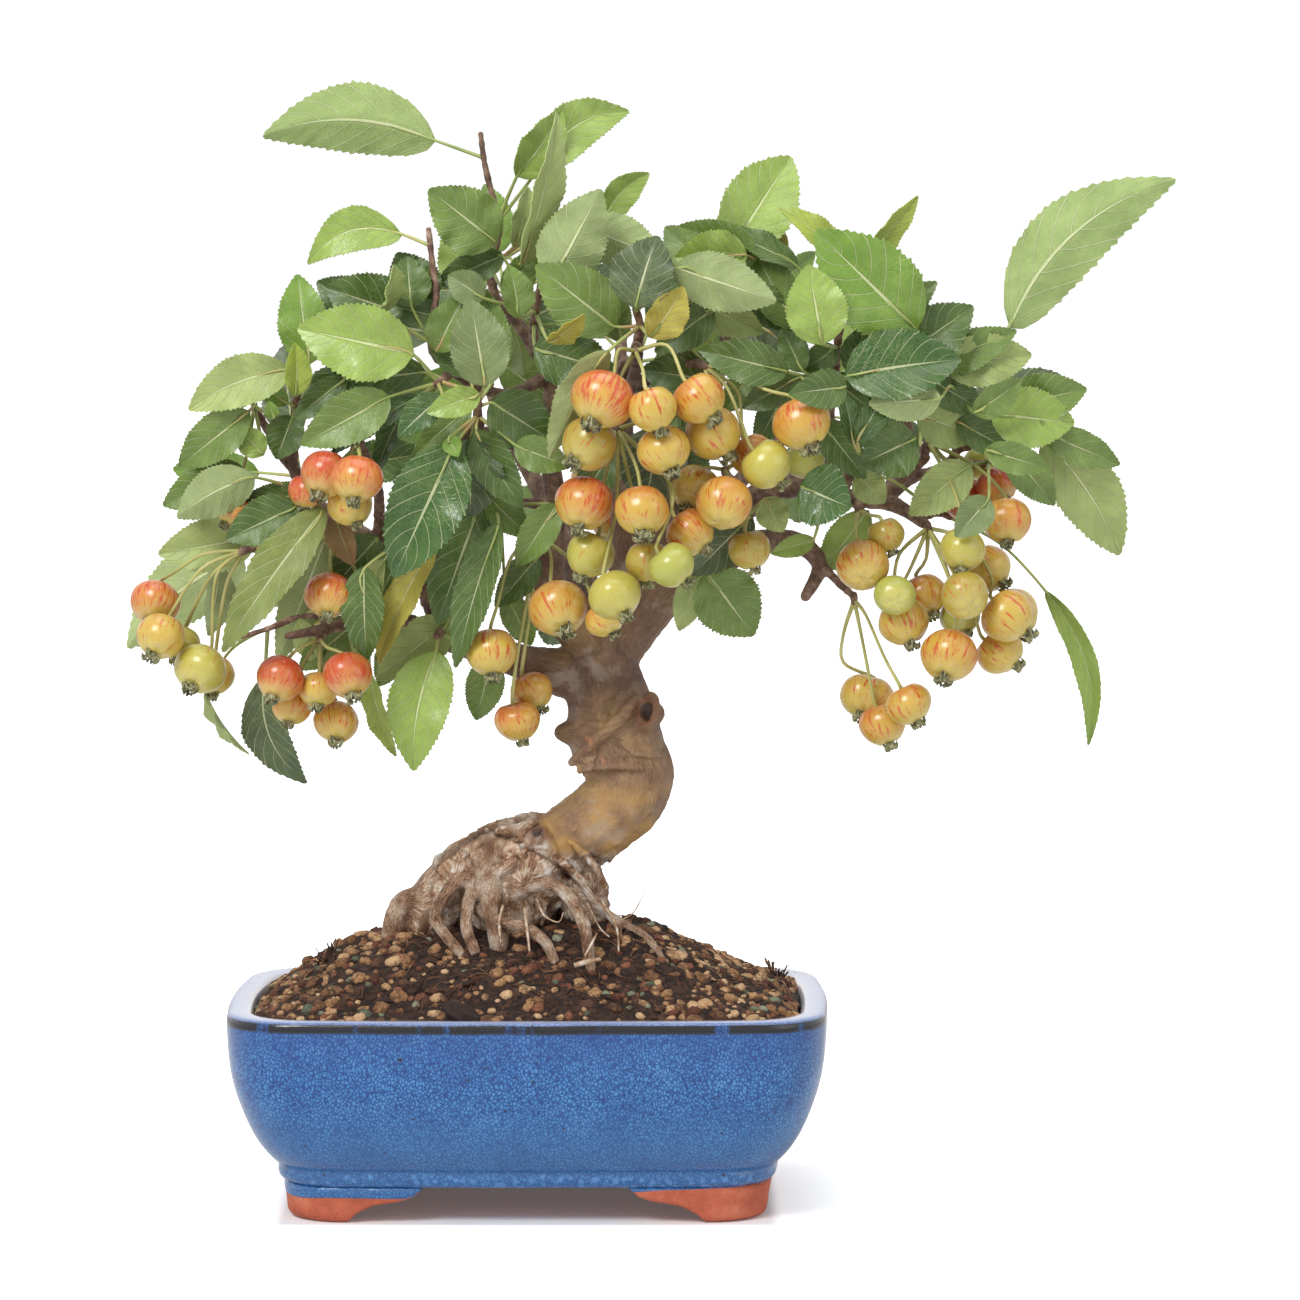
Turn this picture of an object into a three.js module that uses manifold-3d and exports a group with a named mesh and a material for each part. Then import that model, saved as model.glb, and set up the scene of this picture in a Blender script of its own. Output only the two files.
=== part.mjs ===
// Crabapple bonsai in its glazed pot: pot, drain screens, soil, woody tree, fruit bunches, leafy sprays.
// Millimetres, +Z up, the front faces -Y, origin at the bottom centre of the part's box.
import * as THREE from 'three';
import Module from 'manifold-3d';

const wasm = await Module();
wasm.setup();

// ---- Driving dimensions ----------------------------------------------------------------------

const GAP = 0.35; // air left between a piece and what it is seated in

// The pot, a rounded rectangle in plan with gently bowed walls.
const POT_HALF_X = 123.5;
const POT_HALF_Y = 88.5;
const POT_HEIGHT = 85;
const POT_CORNER = 30;
const POT_BOW = 2.2; // how far the middle of a long wall bulges
const POT_LIP = 11; // width of the flat rim
const FLOOR_Z = 24;
const FOOT_HEIGHT = 14;
const FOOT_SKIRT = 13; // thickness of the bracket feet
const DRAIN_RADIUS = 8;
const DRAIN_X = 46;
const SCREEN = 26; // side of a drain screen
const SCREEN_THICK = 1.6;

// The tree is laid out on its front elevation, as seen from 2 m away at the height of the crown, and
// seen() sets each point at its own depth y. Heights in the elevation start SOLE below the pot's feet.
const VIEW_DISTANCE = 2000;
const VIEW_X = 50;
const VIEW_Z = 372;
const SOLE = 9.5;

// The crown's leaves lie on the front of an ellipsoid, each a stated distance behind it.
const CROWN = { x: 45, z: 325, halfX: 215, halfY: 88, halfZ: 132 };

const LEAF_THICK = 1.3; // at the midrib; a blade thins to its edge
const PETIOLE_RADIUS = 0.65;
const STALK_RADIUS = 0.7; // of a fruit
const ROOT_SINK = 1.5; // from a stem's end to the last stalk's root
const STALK_COLLAR = 3; // from the middle of a stem to where a stalk on it has its full thickness
const CLEAR = 0.3; // least air between two leaves or fruits
// How far back a leaf may be set to grow clear of the others, in the order tried.
const SETBACKS = [0, 4, 8, 12, 16, 20, 25, 30, 36, -4, -8, -12, 42, 48, -16, -20, -25];
const LEANS = [0, 9, -9, 18, -18]; // extra depth of its tip, tried at each of them

// ---- Colours -----------------------------------------------------------------------------------

const LOOKS = {
  glaze: { color: 0x2f6fb4, roughness: 0.18, metalness: 0 },
  plastic: { color: 0x1c1c1c, roughness: 0.6, metalness: 0 },
  soil: { color: 0x4a3629, roughness: 1, metalness: 0 },
  bark: { color: 0x7a6252, roughness: 0.85, metalness: 0 },
  fruit: { color: 0xdc9a46, roughness: 0.3, metalness: 0 },
  leaf: { color: 0x5f8a4a, roughness: 0.5, metalness: 0 },
};

// ---- Solids --------------------------------------------------------------------------------------

function solidOf(points, triangles) {
  return new wasm.Manifold(new wasm.Mesh({
    numProp: 3,
    vertProperties: Float32Array.from(points.flatMap((p) => [p.x, p.y, p.z])),
    triVerts: Uint32Array.from(triangles.flat()),
  }));
}

function join(solids) {
  return solids.reduce((sum, solid) => sum.add(solid));
}

function largest(solid) {
  const bodies = solid.decompose();
  return bodies.reduce((best, body) => (body.volume() > best.volume() ? body : best));
}

// Joins closed rings of points, counter-clockwise about the way they run, with a flat cap at each end.
// Two rings may differ in their number of points.
function loft(rings) {
  const points = rings.flat();
  const starts = rings.map((_, j) => rings.slice(0, j).reduce((sum, ring) => sum + ring.length, 0));
  const triangles = [];
  for (let j = 0; j + 1 < rings.length; j++) {
    const lower = rings[j].length;
    const upper = rings[j + 1].length;
    const a = (i) => starts[j] + (i % lower);
    const b = (i) => starts[j + 1] + (i % upper);
    let i = 0;
    let k = 0;
    while (i < lower || k < upper) {
      if ((i + 1) * upper <= (k + 1) * lower) {
        if (lower > 1) triangles.push([a(i), a(i + 1), b(k)]);
        i += 1;
      } else {
        triangles.push([a(i), b(k + 1), b(k)]);
        k += 1;
      }
    }
  }
  const last = starts[rings.length - 1];
  for (let i = 1; i + 1 < rings[0].length; i++) triangles.push([0, i + 1, i]);
  for (let i = 1; i + 1 < rings[rings.length - 1].length; i++) triangles.push([last, last + i, last + i + 1]);
  return solidOf(points, triangles);
}

// Frames carried along a path without twisting: at each point a centre, the way it runs and two sides.
function framesAlong(path) {
  const along = path.map((_, i) => {
    const ahead = path[Math.min(i + 1, path.length - 1)];
    const behind = path[Math.max(i - 1, 0)];
    return ahead.clone().sub(behind).normalize();
  });
  let side = new THREE.Vector3(0, -1, 0);
  if (Math.abs(along[0].y) > 0.9) side = new THREE.Vector3(1, 0, 0);
  return path.map((centre, i) => {
    side = side.clone().addScaledVector(along[i], -side.dot(along[i])).normalize();
    return { centre, along: along[i], side, up: along[i].clone().cross(side) };
  });
}

function ringAt(frame, radiusAt, sides) {
  return Array.from({ length: sides }, (_, i) => {
    const angle = (2 * Math.PI * i) / sides;
    const radius = typeof radiusAt === 'function' ? radiusAt(angle) : radiusAt;
    return frame.centre.clone()
      .addScaledVector(frame.side, radius * Math.cos(angle))
      .addScaledVector(frame.up, radius * Math.sin(angle));
  });
}

// A round-ended limb through [x, z, y, radius] points of the elevation; swell fattens it all over.
function limb(points, sides, swell = 0, gnarl = 0) {
  const path = points.map(([x, z, y]) => seen(x, z, y));
  const frames = framesAlong(path);
  if (swell > 0) {
    frames[0].centre = frames[0].centre.clone().addScaledVector(frames[0].along, -swell);
    const end = frames[frames.length - 1];
    end.centre = end.centre.clone().addScaledVector(end.along, swell);
  }
  return loft(frames.map((frame, i) => {
    const radius = points[i][3];
    const lumps = (angle) => radius * gnarl * (Math.sin(3 * angle + 1.7 * i) + 0.6 * Math.sin(5 * angle - i));
    return ringAt(frame, (angle) => radius + swell + lumps(angle), sides);
  }));
}

function seen(x, z, y) {
  const spread = 1 + y / VIEW_DISTANCE;
  return new THREE.Vector3(VIEW_X + (x - VIEW_X) * spread, y, VIEW_Z + (z - VIEW_Z) * spread - SOLE);
}

// Depth of the crown's front at a place in the elevation.
function crownFront(x, z) {
  const across = (x - CROWN.x) / CROWN.halfX;
  const high = (z - CROWN.z) / CROWN.halfZ;
  return -CROWN.halfY * Math.sqrt(Math.max(0.02, 1 - across * across - high * high));
}

// ---- Pot -----------------------------------------------------------------------------------------

// A level ring of the pot's plan, inset from the rim's outer edge.
const CORNER_STEPS = 3;
const WALL_STEPS = 2;
function potRing(z, inset, corner = Math.max(POT_CORNER - inset * 0.6, 8)) {
  const halfX = POT_HALF_X - inset;
  const halfY = POT_HALF_Y - inset;
  const ring = [];
  for (let quarter = 0; quarter < 4; quarter++) {
    const signX = quarter === 0 || quarter === 3 ? 1 : -1;
    const signY = quarter < 2 ? 1 : -1;
    for (let step = 0; step <= CORNER_STEPS; step++) {
      const angle = (quarter + step / CORNER_STEPS) * (Math.PI / 2);
      const x = signX * (halfX - POT_BOW - corner) + corner * Math.cos(angle);
      const y = signY * (halfY - POT_BOW - corner) + corner * Math.sin(angle);
      ring.push([x, y]);
    }
  }
  const bowed = [];
  ring.forEach(([x, y], i) => {
    bowed.push([x, y]);
    if (i % (CORNER_STEPS + 1) !== CORNER_STEPS) return;
    const [nextX, nextY] = ring[(i + 1) % ring.length];
    for (let step = 1; step < WALL_STEPS; step++) {
      const t = step / WALL_STEPS;
      const bow = POT_BOW * Math.sin(Math.PI * t);
      const outX = Math.abs(nextX - x) < Math.abs(nextY - y) ? Math.sign(x) * bow : 0;
      const outY = outX === 0 ? Math.sign(y) * bow : 0;
      bowed.push([x + (nextX - x) * t + outX, y + (nextY - y) * t + outY]);
    }
  });
  return bowed.map(([x, y]) => new THREE.Vector3(x, y, z));
}

// The wall's outer face, as [height, inset from the rim], from the sole of the body up to the lip.
const POT_OUTSIDE = [
  [14, 24.5], [16, 21], [20, 19.9], [21.3, 20.6], [26.5, 15.6], [37, 9.2], [49.5, 4.2], [64, 1], [83.5, 0],
];
// Over the lip and down the inner face to the floor.
const POT_INSIDE = [[POT_HEIGHT, 1.8], [POT_HEIGHT, POT_LIP - 1], [63, 12.5], [40, 18], [FLOOR_Z, 30]];
// The outside of the feet, as [height, inset]; their top lies in the body.
const FOOT_INSET = 24;
const SKIRT = [[0, 27], [3, 23.4], [12, 22.6], [FOOT_HEIGHT + 1, FOOT_INSET]];
// Half of the arch between two feet: [distance from the foot's sole edge, height].
const ARCH = [[0, -1], [4, 3.5], [11, 7], [23, 9], [28, 11], [32, 16]];
const SOLE_INNER_X = 73;
const SOLE_INNER_Y = 43;

function archCutter(soleInner, length) {
  const shape = new THREE.Shape();
  ARCH.forEach(([inward, z], i) => {
    if (i === 0) shape.moveTo(-(soleInner - inward), z);
    else shape.lineTo(-(soleInner - inward), z);
  });
  [...ARCH].reverse().forEach(([inward, z]) => shape.lineTo(soleInner - inward, z));
  const geometry = new THREE.ExtrudeGeometry(shape, { depth: length, bevelEnabled: false });
  geometry.translate(0, 0, -length / 2);
  return geometry.rotateX(Math.PI / 2);
}

// A three.js geometry as a solid, its shared corners welded.
function solidFrom(geometry) {
  const { position } = (geometry.index ? geometry.toNonIndexed() : geometry).attributes;
  const places = new Map();
  const points = [];
  const triangles = [];
  for (let i = 0; i < position.count; i += 3) {
    triangles.push([0, 1, 2].map((corner) => {
      const point = new THREE.Vector3().fromBufferAttribute(position, i + corner);
      const key = point.toArray().map((value) => Math.round(value * 1e4)).join();
      if (!places.has(key)) {
        places.set(key, points.length);
        points.push(point);
      }
      return places.get(key);
    }));
  }
  return solidOf(points, triangles.filter(([a, b, c]) => a !== b && b !== c && c !== a));
}

function makePot() {
  const body = loft([...POT_OUTSIDE, ...POT_INSIDE].map(([z, inset]) => potRing(z, inset)));
  const skirt = loft(SKIRT.map(([z, inset]) => potRing(z, inset)));
  const hollow = loft([-1, FOOT_HEIGHT].map((z) => potRing(z, FOOT_INSET + FOOT_SKIRT)));
  const frontArch = solidFrom(archCutter(SOLE_INNER_X, 3 * POT_HALF_Y));
  const sideArch = solidFrom(archCutter(SOLE_INNER_Y, 3 * POT_HALF_X).rotateZ(Math.PI / 2));
  const feet = skirt.subtract(hollow).subtract(frontArch).subtract(sideArch);
  const drains = [-DRAIN_X, DRAIN_X].map((x) => {
    const drill = new THREE.CylinderGeometry(DRAIN_RADIUS, DRAIN_RADIUS, 2 * FLOOR_Z, 12);
    return solidFrom(drill.rotateX(Math.PI / 2).translate(x, 0, FLOOR_Z));
  });
  return drains.reduce((pot, drain) => pot.subtract(drain), body.add(feet));
}

const SCREEN_HOLES = 2; // a side
function makeScreen(x) {
  const pitch = SCREEN / (SCREEN_HOLES + 0.5);
  const z = FLOOR_Z + GAP + SCREEN_THICK / 2;
  const plate = solidFrom(new THREE.BoxGeometry(SCREEN, SCREEN, SCREEN_THICK).translate(x, 0, z));
  const middle = (SCREEN_HOLES - 1) / 2;
  return Array.from({ length: SCREEN_HOLES ** 2 }, (_, i) => {
    const hole = new THREE.BoxGeometry(pitch * 0.6, pitch * 0.6, 3 * SCREEN_THICK);
    const row = Math.floor(i / SCREEN_HOLES);
    return solidFrom(hole.translate(x + ((i % SCREEN_HOLES) - middle) * pitch, (row - middle) * pitch, z));
  }).reduce((screen, hole) => screen.subtract(hole), plate);
}

// ---- Soil ----------------------------------------------------------------------------------------

// Height of the mound's ridge along X, falling to SOIL_EDGE at the pot's wall.
const SOIL_EDGE = 83;
const SOIL_RIDGE = [
  [-112, 86], [-85, 103], [-60, 114], [-20, 117], [45, 117], [62, 110], [80, 101], [112, 87],
];
const SOIL_HALF_Y = 78;
const SOIL_LUMP = 1.1;

function ridgeHeight(x) {
  const next = Math.max(1, SOIL_RIDGE.findIndex(([ridgeX]) => ridgeX >= x));
  const [fromX, fromZ] = SOIL_RIDGE[next - 1];
  const [toX, toZ] = SOIL_RIDGE[next];
  return fromZ + ((toZ - fromZ) * (x - fromX)) / (toX - fromX);
}

function soilHeight(x, y) {
  const across = Math.min(1, Math.abs(y) / SOIL_HALF_Y);
  const lumps = SOIL_LUMP * (Math.sin(x * 0.9 + y * 0.4) * Math.sin(y * 0.8) + Math.sin(x * 0.37 - y * 1.3));
  return SOIL_EDGE + (ridgeHeight(x) - SOIL_EDGE) * (1 - across ** 1.9) + lumps * (1 - across ** 6);
}

function makeSoil(roots, screens) {
  const fit = POT_INSIDE.slice(2).reverse().map(([z, inset], i) => {
    const lift = i === 0 ? GAP : 0;
    return potRing(z + lift, inset + GAP);
  });
  const brim = potRing(SOIL_EDGE, POT_LIP + GAP + 0.2);
  const mound = [0.94, 0.84, 0.72, 0.6, 0.48, 0.36, 0.24, 0.12].map((scale) => brim.map((point) => {
    const x = point.x * scale;
    const y = point.y * scale;
    return new THREE.Vector3(x, y, soilHeight(x, y));
  }));
  const pocket = (x) => {
    const room = new THREE.BoxGeometry(SCREEN + 2 * GAP, SCREEN + 2 * GAP, SCREEN_THICK + 3 * GAP);
    return solidFrom(room.translate(x, 0, FLOOR_Z + SCREEN_THICK / 2 + GAP / 2));
  };
  const pockets = screens.map(pocket);
  return largest(loft([...fit, brim, ...mound]).subtract(roots).subtract(pockets[0]).subtract(pockets[1]));
}

// ---- Wood ----------------------------------------------------------------------------------------

// Each limb is { sides, gnarl, points: [x, z, y, radius] }, from where it leaves its parent to its end.
const TRUNK = { sides: 11, gnarl: 0.035, points: [
  [-14, 126, 4, 24], [-8, 138, 2, 22.5], [4.5, 148, 0, 18.5], [16, 157, 0, 16], [28, 166, 0, 16],
  [38.5, 175.3, 0, 17.3], [42, 184.5, 0, 18.4], [39.5, 192, 0, 18.8], [36, 200, 0, 20],
  [34.5, 208, 0, 19.6], [33, 216, 0, 17.8], [30, 228, 0, 16], [28.5, 238, 0, 15.6], [29, 248, 0, 13.5],
] };
const ROOT_MASS = [
  { sides: 6, gnarl: 0.1, points: [[8, 152, 0, 18], [-10, 149, -2, 17], [-26, 141, -4, 15],
    [-38, 131, -4, 13], [-44, 112, -4, 11]] },
  { sides: 6, gnarl: 0.1, points: [[2, 150, -4, 18], [-6, 136, -8, 17], [-10, 118, -8, 15],
    [-10, 100, -8, 11]] },
  { sides: 5, gnarl: 0.1, points: [[14, 150, 0, 14], [20, 140, -2, 11], [25, 126, -2, 9],
    [29, 104, -2, 8]] },
  { sides: 5, gnarl: 0.08, points: [[4, 148, 8, 17], [0, 132, 22, 14], [-4, 116, 32, 11], [-6, 98, 38, 8]] },
];
const ROOTS = [
  { sides: 5, points: [[-38, 140, 0, 6], [-46, 134.5, -6, 5.2], [-53, 131, -10, 5], [-56.5, 122, -12, 4.6],
    [-58, 104, -12, 3.6]] },
  { sides: 5, points: [[-22, 146, -14, 3.4], [-33, 138, -23, 2.8], [-39, 127, -28, 2.6],
    [-36, 120, -32, 2.6], [-29, 111, -36, 2.3], [-26, 100, -37, 1.8]] },
  { sides: 5, points: [[-22, 142, -18, 3], [-25.5, 131, -27, 2.7], [-26, 121, -32, 2.6],
    [-22, 110, -36, 2.2], [-20, 99, -37, 1.8]] },
  { sides: 5, points: [[-16, 152, -14, 6], [-17, 141, -22, 5.4], [-15, 131, -27, 5],
    [-13, 118, -29, 4.4], [-12, 102, -30, 3]] },
  { sides: 5, points: [[-22, 130, -20, 3.2], [-12, 125, -32, 2.9], [-2, 122, -37, 2.8],
    [7, 115, -41, 2.5], [12, 103, -43, 2]] },
  { sides: 5, points: [[-7, 134, -18, 3.4], [0, 138.5, -27, 3.1], [8, 140, -33, 3], [15, 136, -38, 2.9],
    [21, 127, -42, 2.8], [24, 116, -45, 2.6], [26, 101, -46, 2.1]] },
  { sides: 4, points: [[22, 139, -6, 2.2], [34, 126, -20, 1.6], [37.5, 118, -26, 1.4], [36, 104, -30, 1.1]] },
  { sides: 4, points: [[23, 133, -6, 2.4], [37, 124.5, -19, 1.9], [47, 119, -28, 1.6],
    [54, 111, -36, 1.4], [60, 100, -40, 1.1]] },
];
const LIMBS = [
  // Left limb with its collar, its rise, its cut stub and its twig.
  { sides: 5, gnarl: 0.04, points: [[22, 226, 0, 11], [8, 229, -2, 9.6], [0, 231.5, -3, 7.6],
    [-20, 238, -7, 6.2], [-37, 244, -9, 6]] },
  { sides: 5, points: [[-34, 242, -9, 6], [-41, 261, -12, 5.3], [-50, 275, -15, 4.8],
    [-64, 282, -17, 4.1], [-80, 290, -20, 3.6], [-89, 300, -22, 3], [-97, 313, -25, 2.6],
    [-96, 330, -30, 1.9]] },
  { sides: 5, points: [[-34, 242, -10, 4.6], [-50, 248.5, -17, 3.9], [-62, 252, -22, 3.3],
    [-82, 246.5, -29, 2.5], [-100, 243, -32, 1.7]] },
  { sides: 4, points: [[-80, 248, -27, 1.5], [-90, 251.5, -29, 1.4], [-101, 249.5, -31, 1.2]] },
  { sides: 4, points: [[-95, 310, -23, 2.2], [-103, 319, -26, 1.9], [-109, 331, -29, 1.6]] },
  { sides: 4, points: [[-84, 294, -20, 2.6], [-98, 283, -28, 2.2], [-112, 279, -37, 1.9]] },
  { sides: 4, points: [[-62, 281, -16, 3], [-62, 302, -34, 2.3], [-68, 320, -49, 1.8]] },
  { sides: 4, points: [[-40, 258, -12, 3.2], [-36, 276, -28, 2.4], [-41, 288, -42, 1.9]] },
  // Central limb through the burl, with the knuckled side branch, up to the crown's leader.
  { sides: 5, gnarl: 0.05, points: [[26, 240, -2, 10], [12, 254, -7, 8], [7, 266, -9, 7.4],
    [9, 282, -9, 5.6], [11, 300, -9, 4.6], [8, 320, -10, 4], [9, 347, -12, 3.1], [3, 360, -13, 2.9],
    [-5, 373, -14, 2.6], [-16, 385, -16, 2.1]] },
  { sides: 5, points: [[8, 264, -9, 6], [0, 268, -12, 5], [-6, 271.5, -14, 3.6]] },
  { sides: 4, points: [[10, 297, -9, 2.8], [0, 298, -18, 2.2], [-9, 298, -27, 1.9]] },
  { sides: 5, points: [[8, 324, -10, 3.8], [-4, 321.5, -22, 3.2], [-12, 325, -33, 3],
    [-21, 327, -43, 2.9], [-30, 325, -50, 2.3]] },
  { sides: 4, points: [[7, 350, -12, 2.8], [-8, 343, -25, 2.4], [-24, 347, -37, 2.1], [-38, 358, -47, 1.8]] },
  // Middle leader, its fruiting spurs and the limb behind them.
  { sides: 5, points: [[32, 240, 2, 11.5], [41, 262, 5, 9.5], [41, 290, 7, 7.4], [39, 318, 6, 5.6],
    [38, 340, 0, 4.4], [40, 356, -8, 3]] },
  { sides: 4, points: [[39, 338, 0, 3.8], [43, 348, -24, 2.9], [45, 360, -46, 2.3], [45, 367, -60, 2]] },
  { sides: 4, points: [[40, 336, 0, 3.4], [50, 350, -26, 2.4], [60, 355, -40, 2.1], [68, 355.5, -50, 1.9]] },
  { sides: 4, points: [[40, 314, 6, 4], [37, 324, -16, 2.9], [35, 330, -36, 2.4], [35, 331, -50, 2.1]] },
  { sides: 5, points: [[44, 256, 5, 8.5], [58, 290, 14, 6.4], [70, 325, 10, 4.6], [79, 356, 0, 3.4],
    [86, 385, -18, 2]] },
  // Right limb: stub, pedicel twig, dark fork and the spurs beyond it.
  { sides: 5, gnarl: 0.04, points: [[36, 238, 2, 11.5], [48.5, 252, 1, 9.4], [61.5, 265, -1, 8.2],
    [79, 275, -5, 7], [98, 282, -8, 5.2], [112, 281, -11, 4.4], [120, 272, -13, 3.4],
    [114, 259, -16, 2.3]] },
  { sides: 4, points: [[116, 277, -12, 2.6], [126, 267, -17, 1.9], [134.5, 259, -22, 1.6]] },
  { sides: 5, points: [[76, 272, -4, 6.4], [84, 290, -8, 5.8], [96, 302, -11, 5.2],
    [112, 305, -13, 4.6], [130, 300.5, -15, 3.9], [150, 297.5, -18, 3.2], [163, 289.5, -22, 2.3]] },
  { sides: 4, points: [[138, 299, -16, 2.8], [148, 304, -16, 2.4], [156, 309, -16, 2.1],
    [164, 317, -17, 1.9]] },
  { sides: 4, points: [[146, 298, -17, 2.8], [158, 308, -10, 2.4], [171, 312, -12, 2.2],
    [184, 314, -15, 1.7]] },
  { sides: 4, points: [[171, 311, -12, 2.2], [177, 321, -17, 2], [176, 331, -22, 1.8]] },
  { sides: 5, points: [[116, 303, -13, 3.6], [124, 318, -18, 2.9], [124, 336, -26, 2.4],
    [126, 352, -36, 2]] },
  { sides: 4, points: [[92, 299, -10, 3.2], [86, 305, -28, 2.3], [82, 309, -45, 1.9]] },
  { sides: 4, points: [[148, 300, -14, 3], [156, 328, -2, 2.4], [158, 352, -20, 1.8]] },
  // Limbs that carry the back of the crown.
  { sides: 5, points: [[27, 236, 6, 9], [20, 268, 28, 6], [6, 300, 44, 4], [-10, 330, 54, 2.8],
    [-18, 350, 58, 2]] },
  { sides: 5, points: [[46, 256, 8, 8], [70, 284, 30, 5], [88, 308, 48, 3.4], [104, 326, 60, 2.1]] },
  { sides: 5, points: [[41, 290, 8, 5.6], [37, 330, 30, 3.8], [38, 360, 40, 2.6], [40, 374, 42, 1.9]] },
  { sides: 4, points: [[-44, 268, -12, 4.4], [-66, 284, 16, 3.2], [-88, 298, 34, 2]] },
  { sides: 4, points: [[112, 304, -12, 4], [134, 310, 20, 3], [158, 318, 38, 1.9]] },
];
// Cut knots, swollen over: [x, z, y] in the bark and the same outside it.
const KNOTS = [
  { sides: 5, points: [[44, 209, -8, 7], [51, 211, -13.5, 5.5], [52.5, 211.5, -15.5, 4]] },
  { sides: 5, points: [[24, 203, -2, 6], [16, 203, -5, 5], [13.5, 203, -6, 3.6]] },
];

function makeWood(swell) {
  const parts = [TRUNK, ...ROOT_MASS, ...ROOTS, ...LIMBS, ...KNOTS];
  return join(parts.map(({ sides, gnarl = 0, points }) => limb(points, sides, swell, gnarl)));
}

// ---- Fruits --------------------------------------------------------------------------------------

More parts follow.
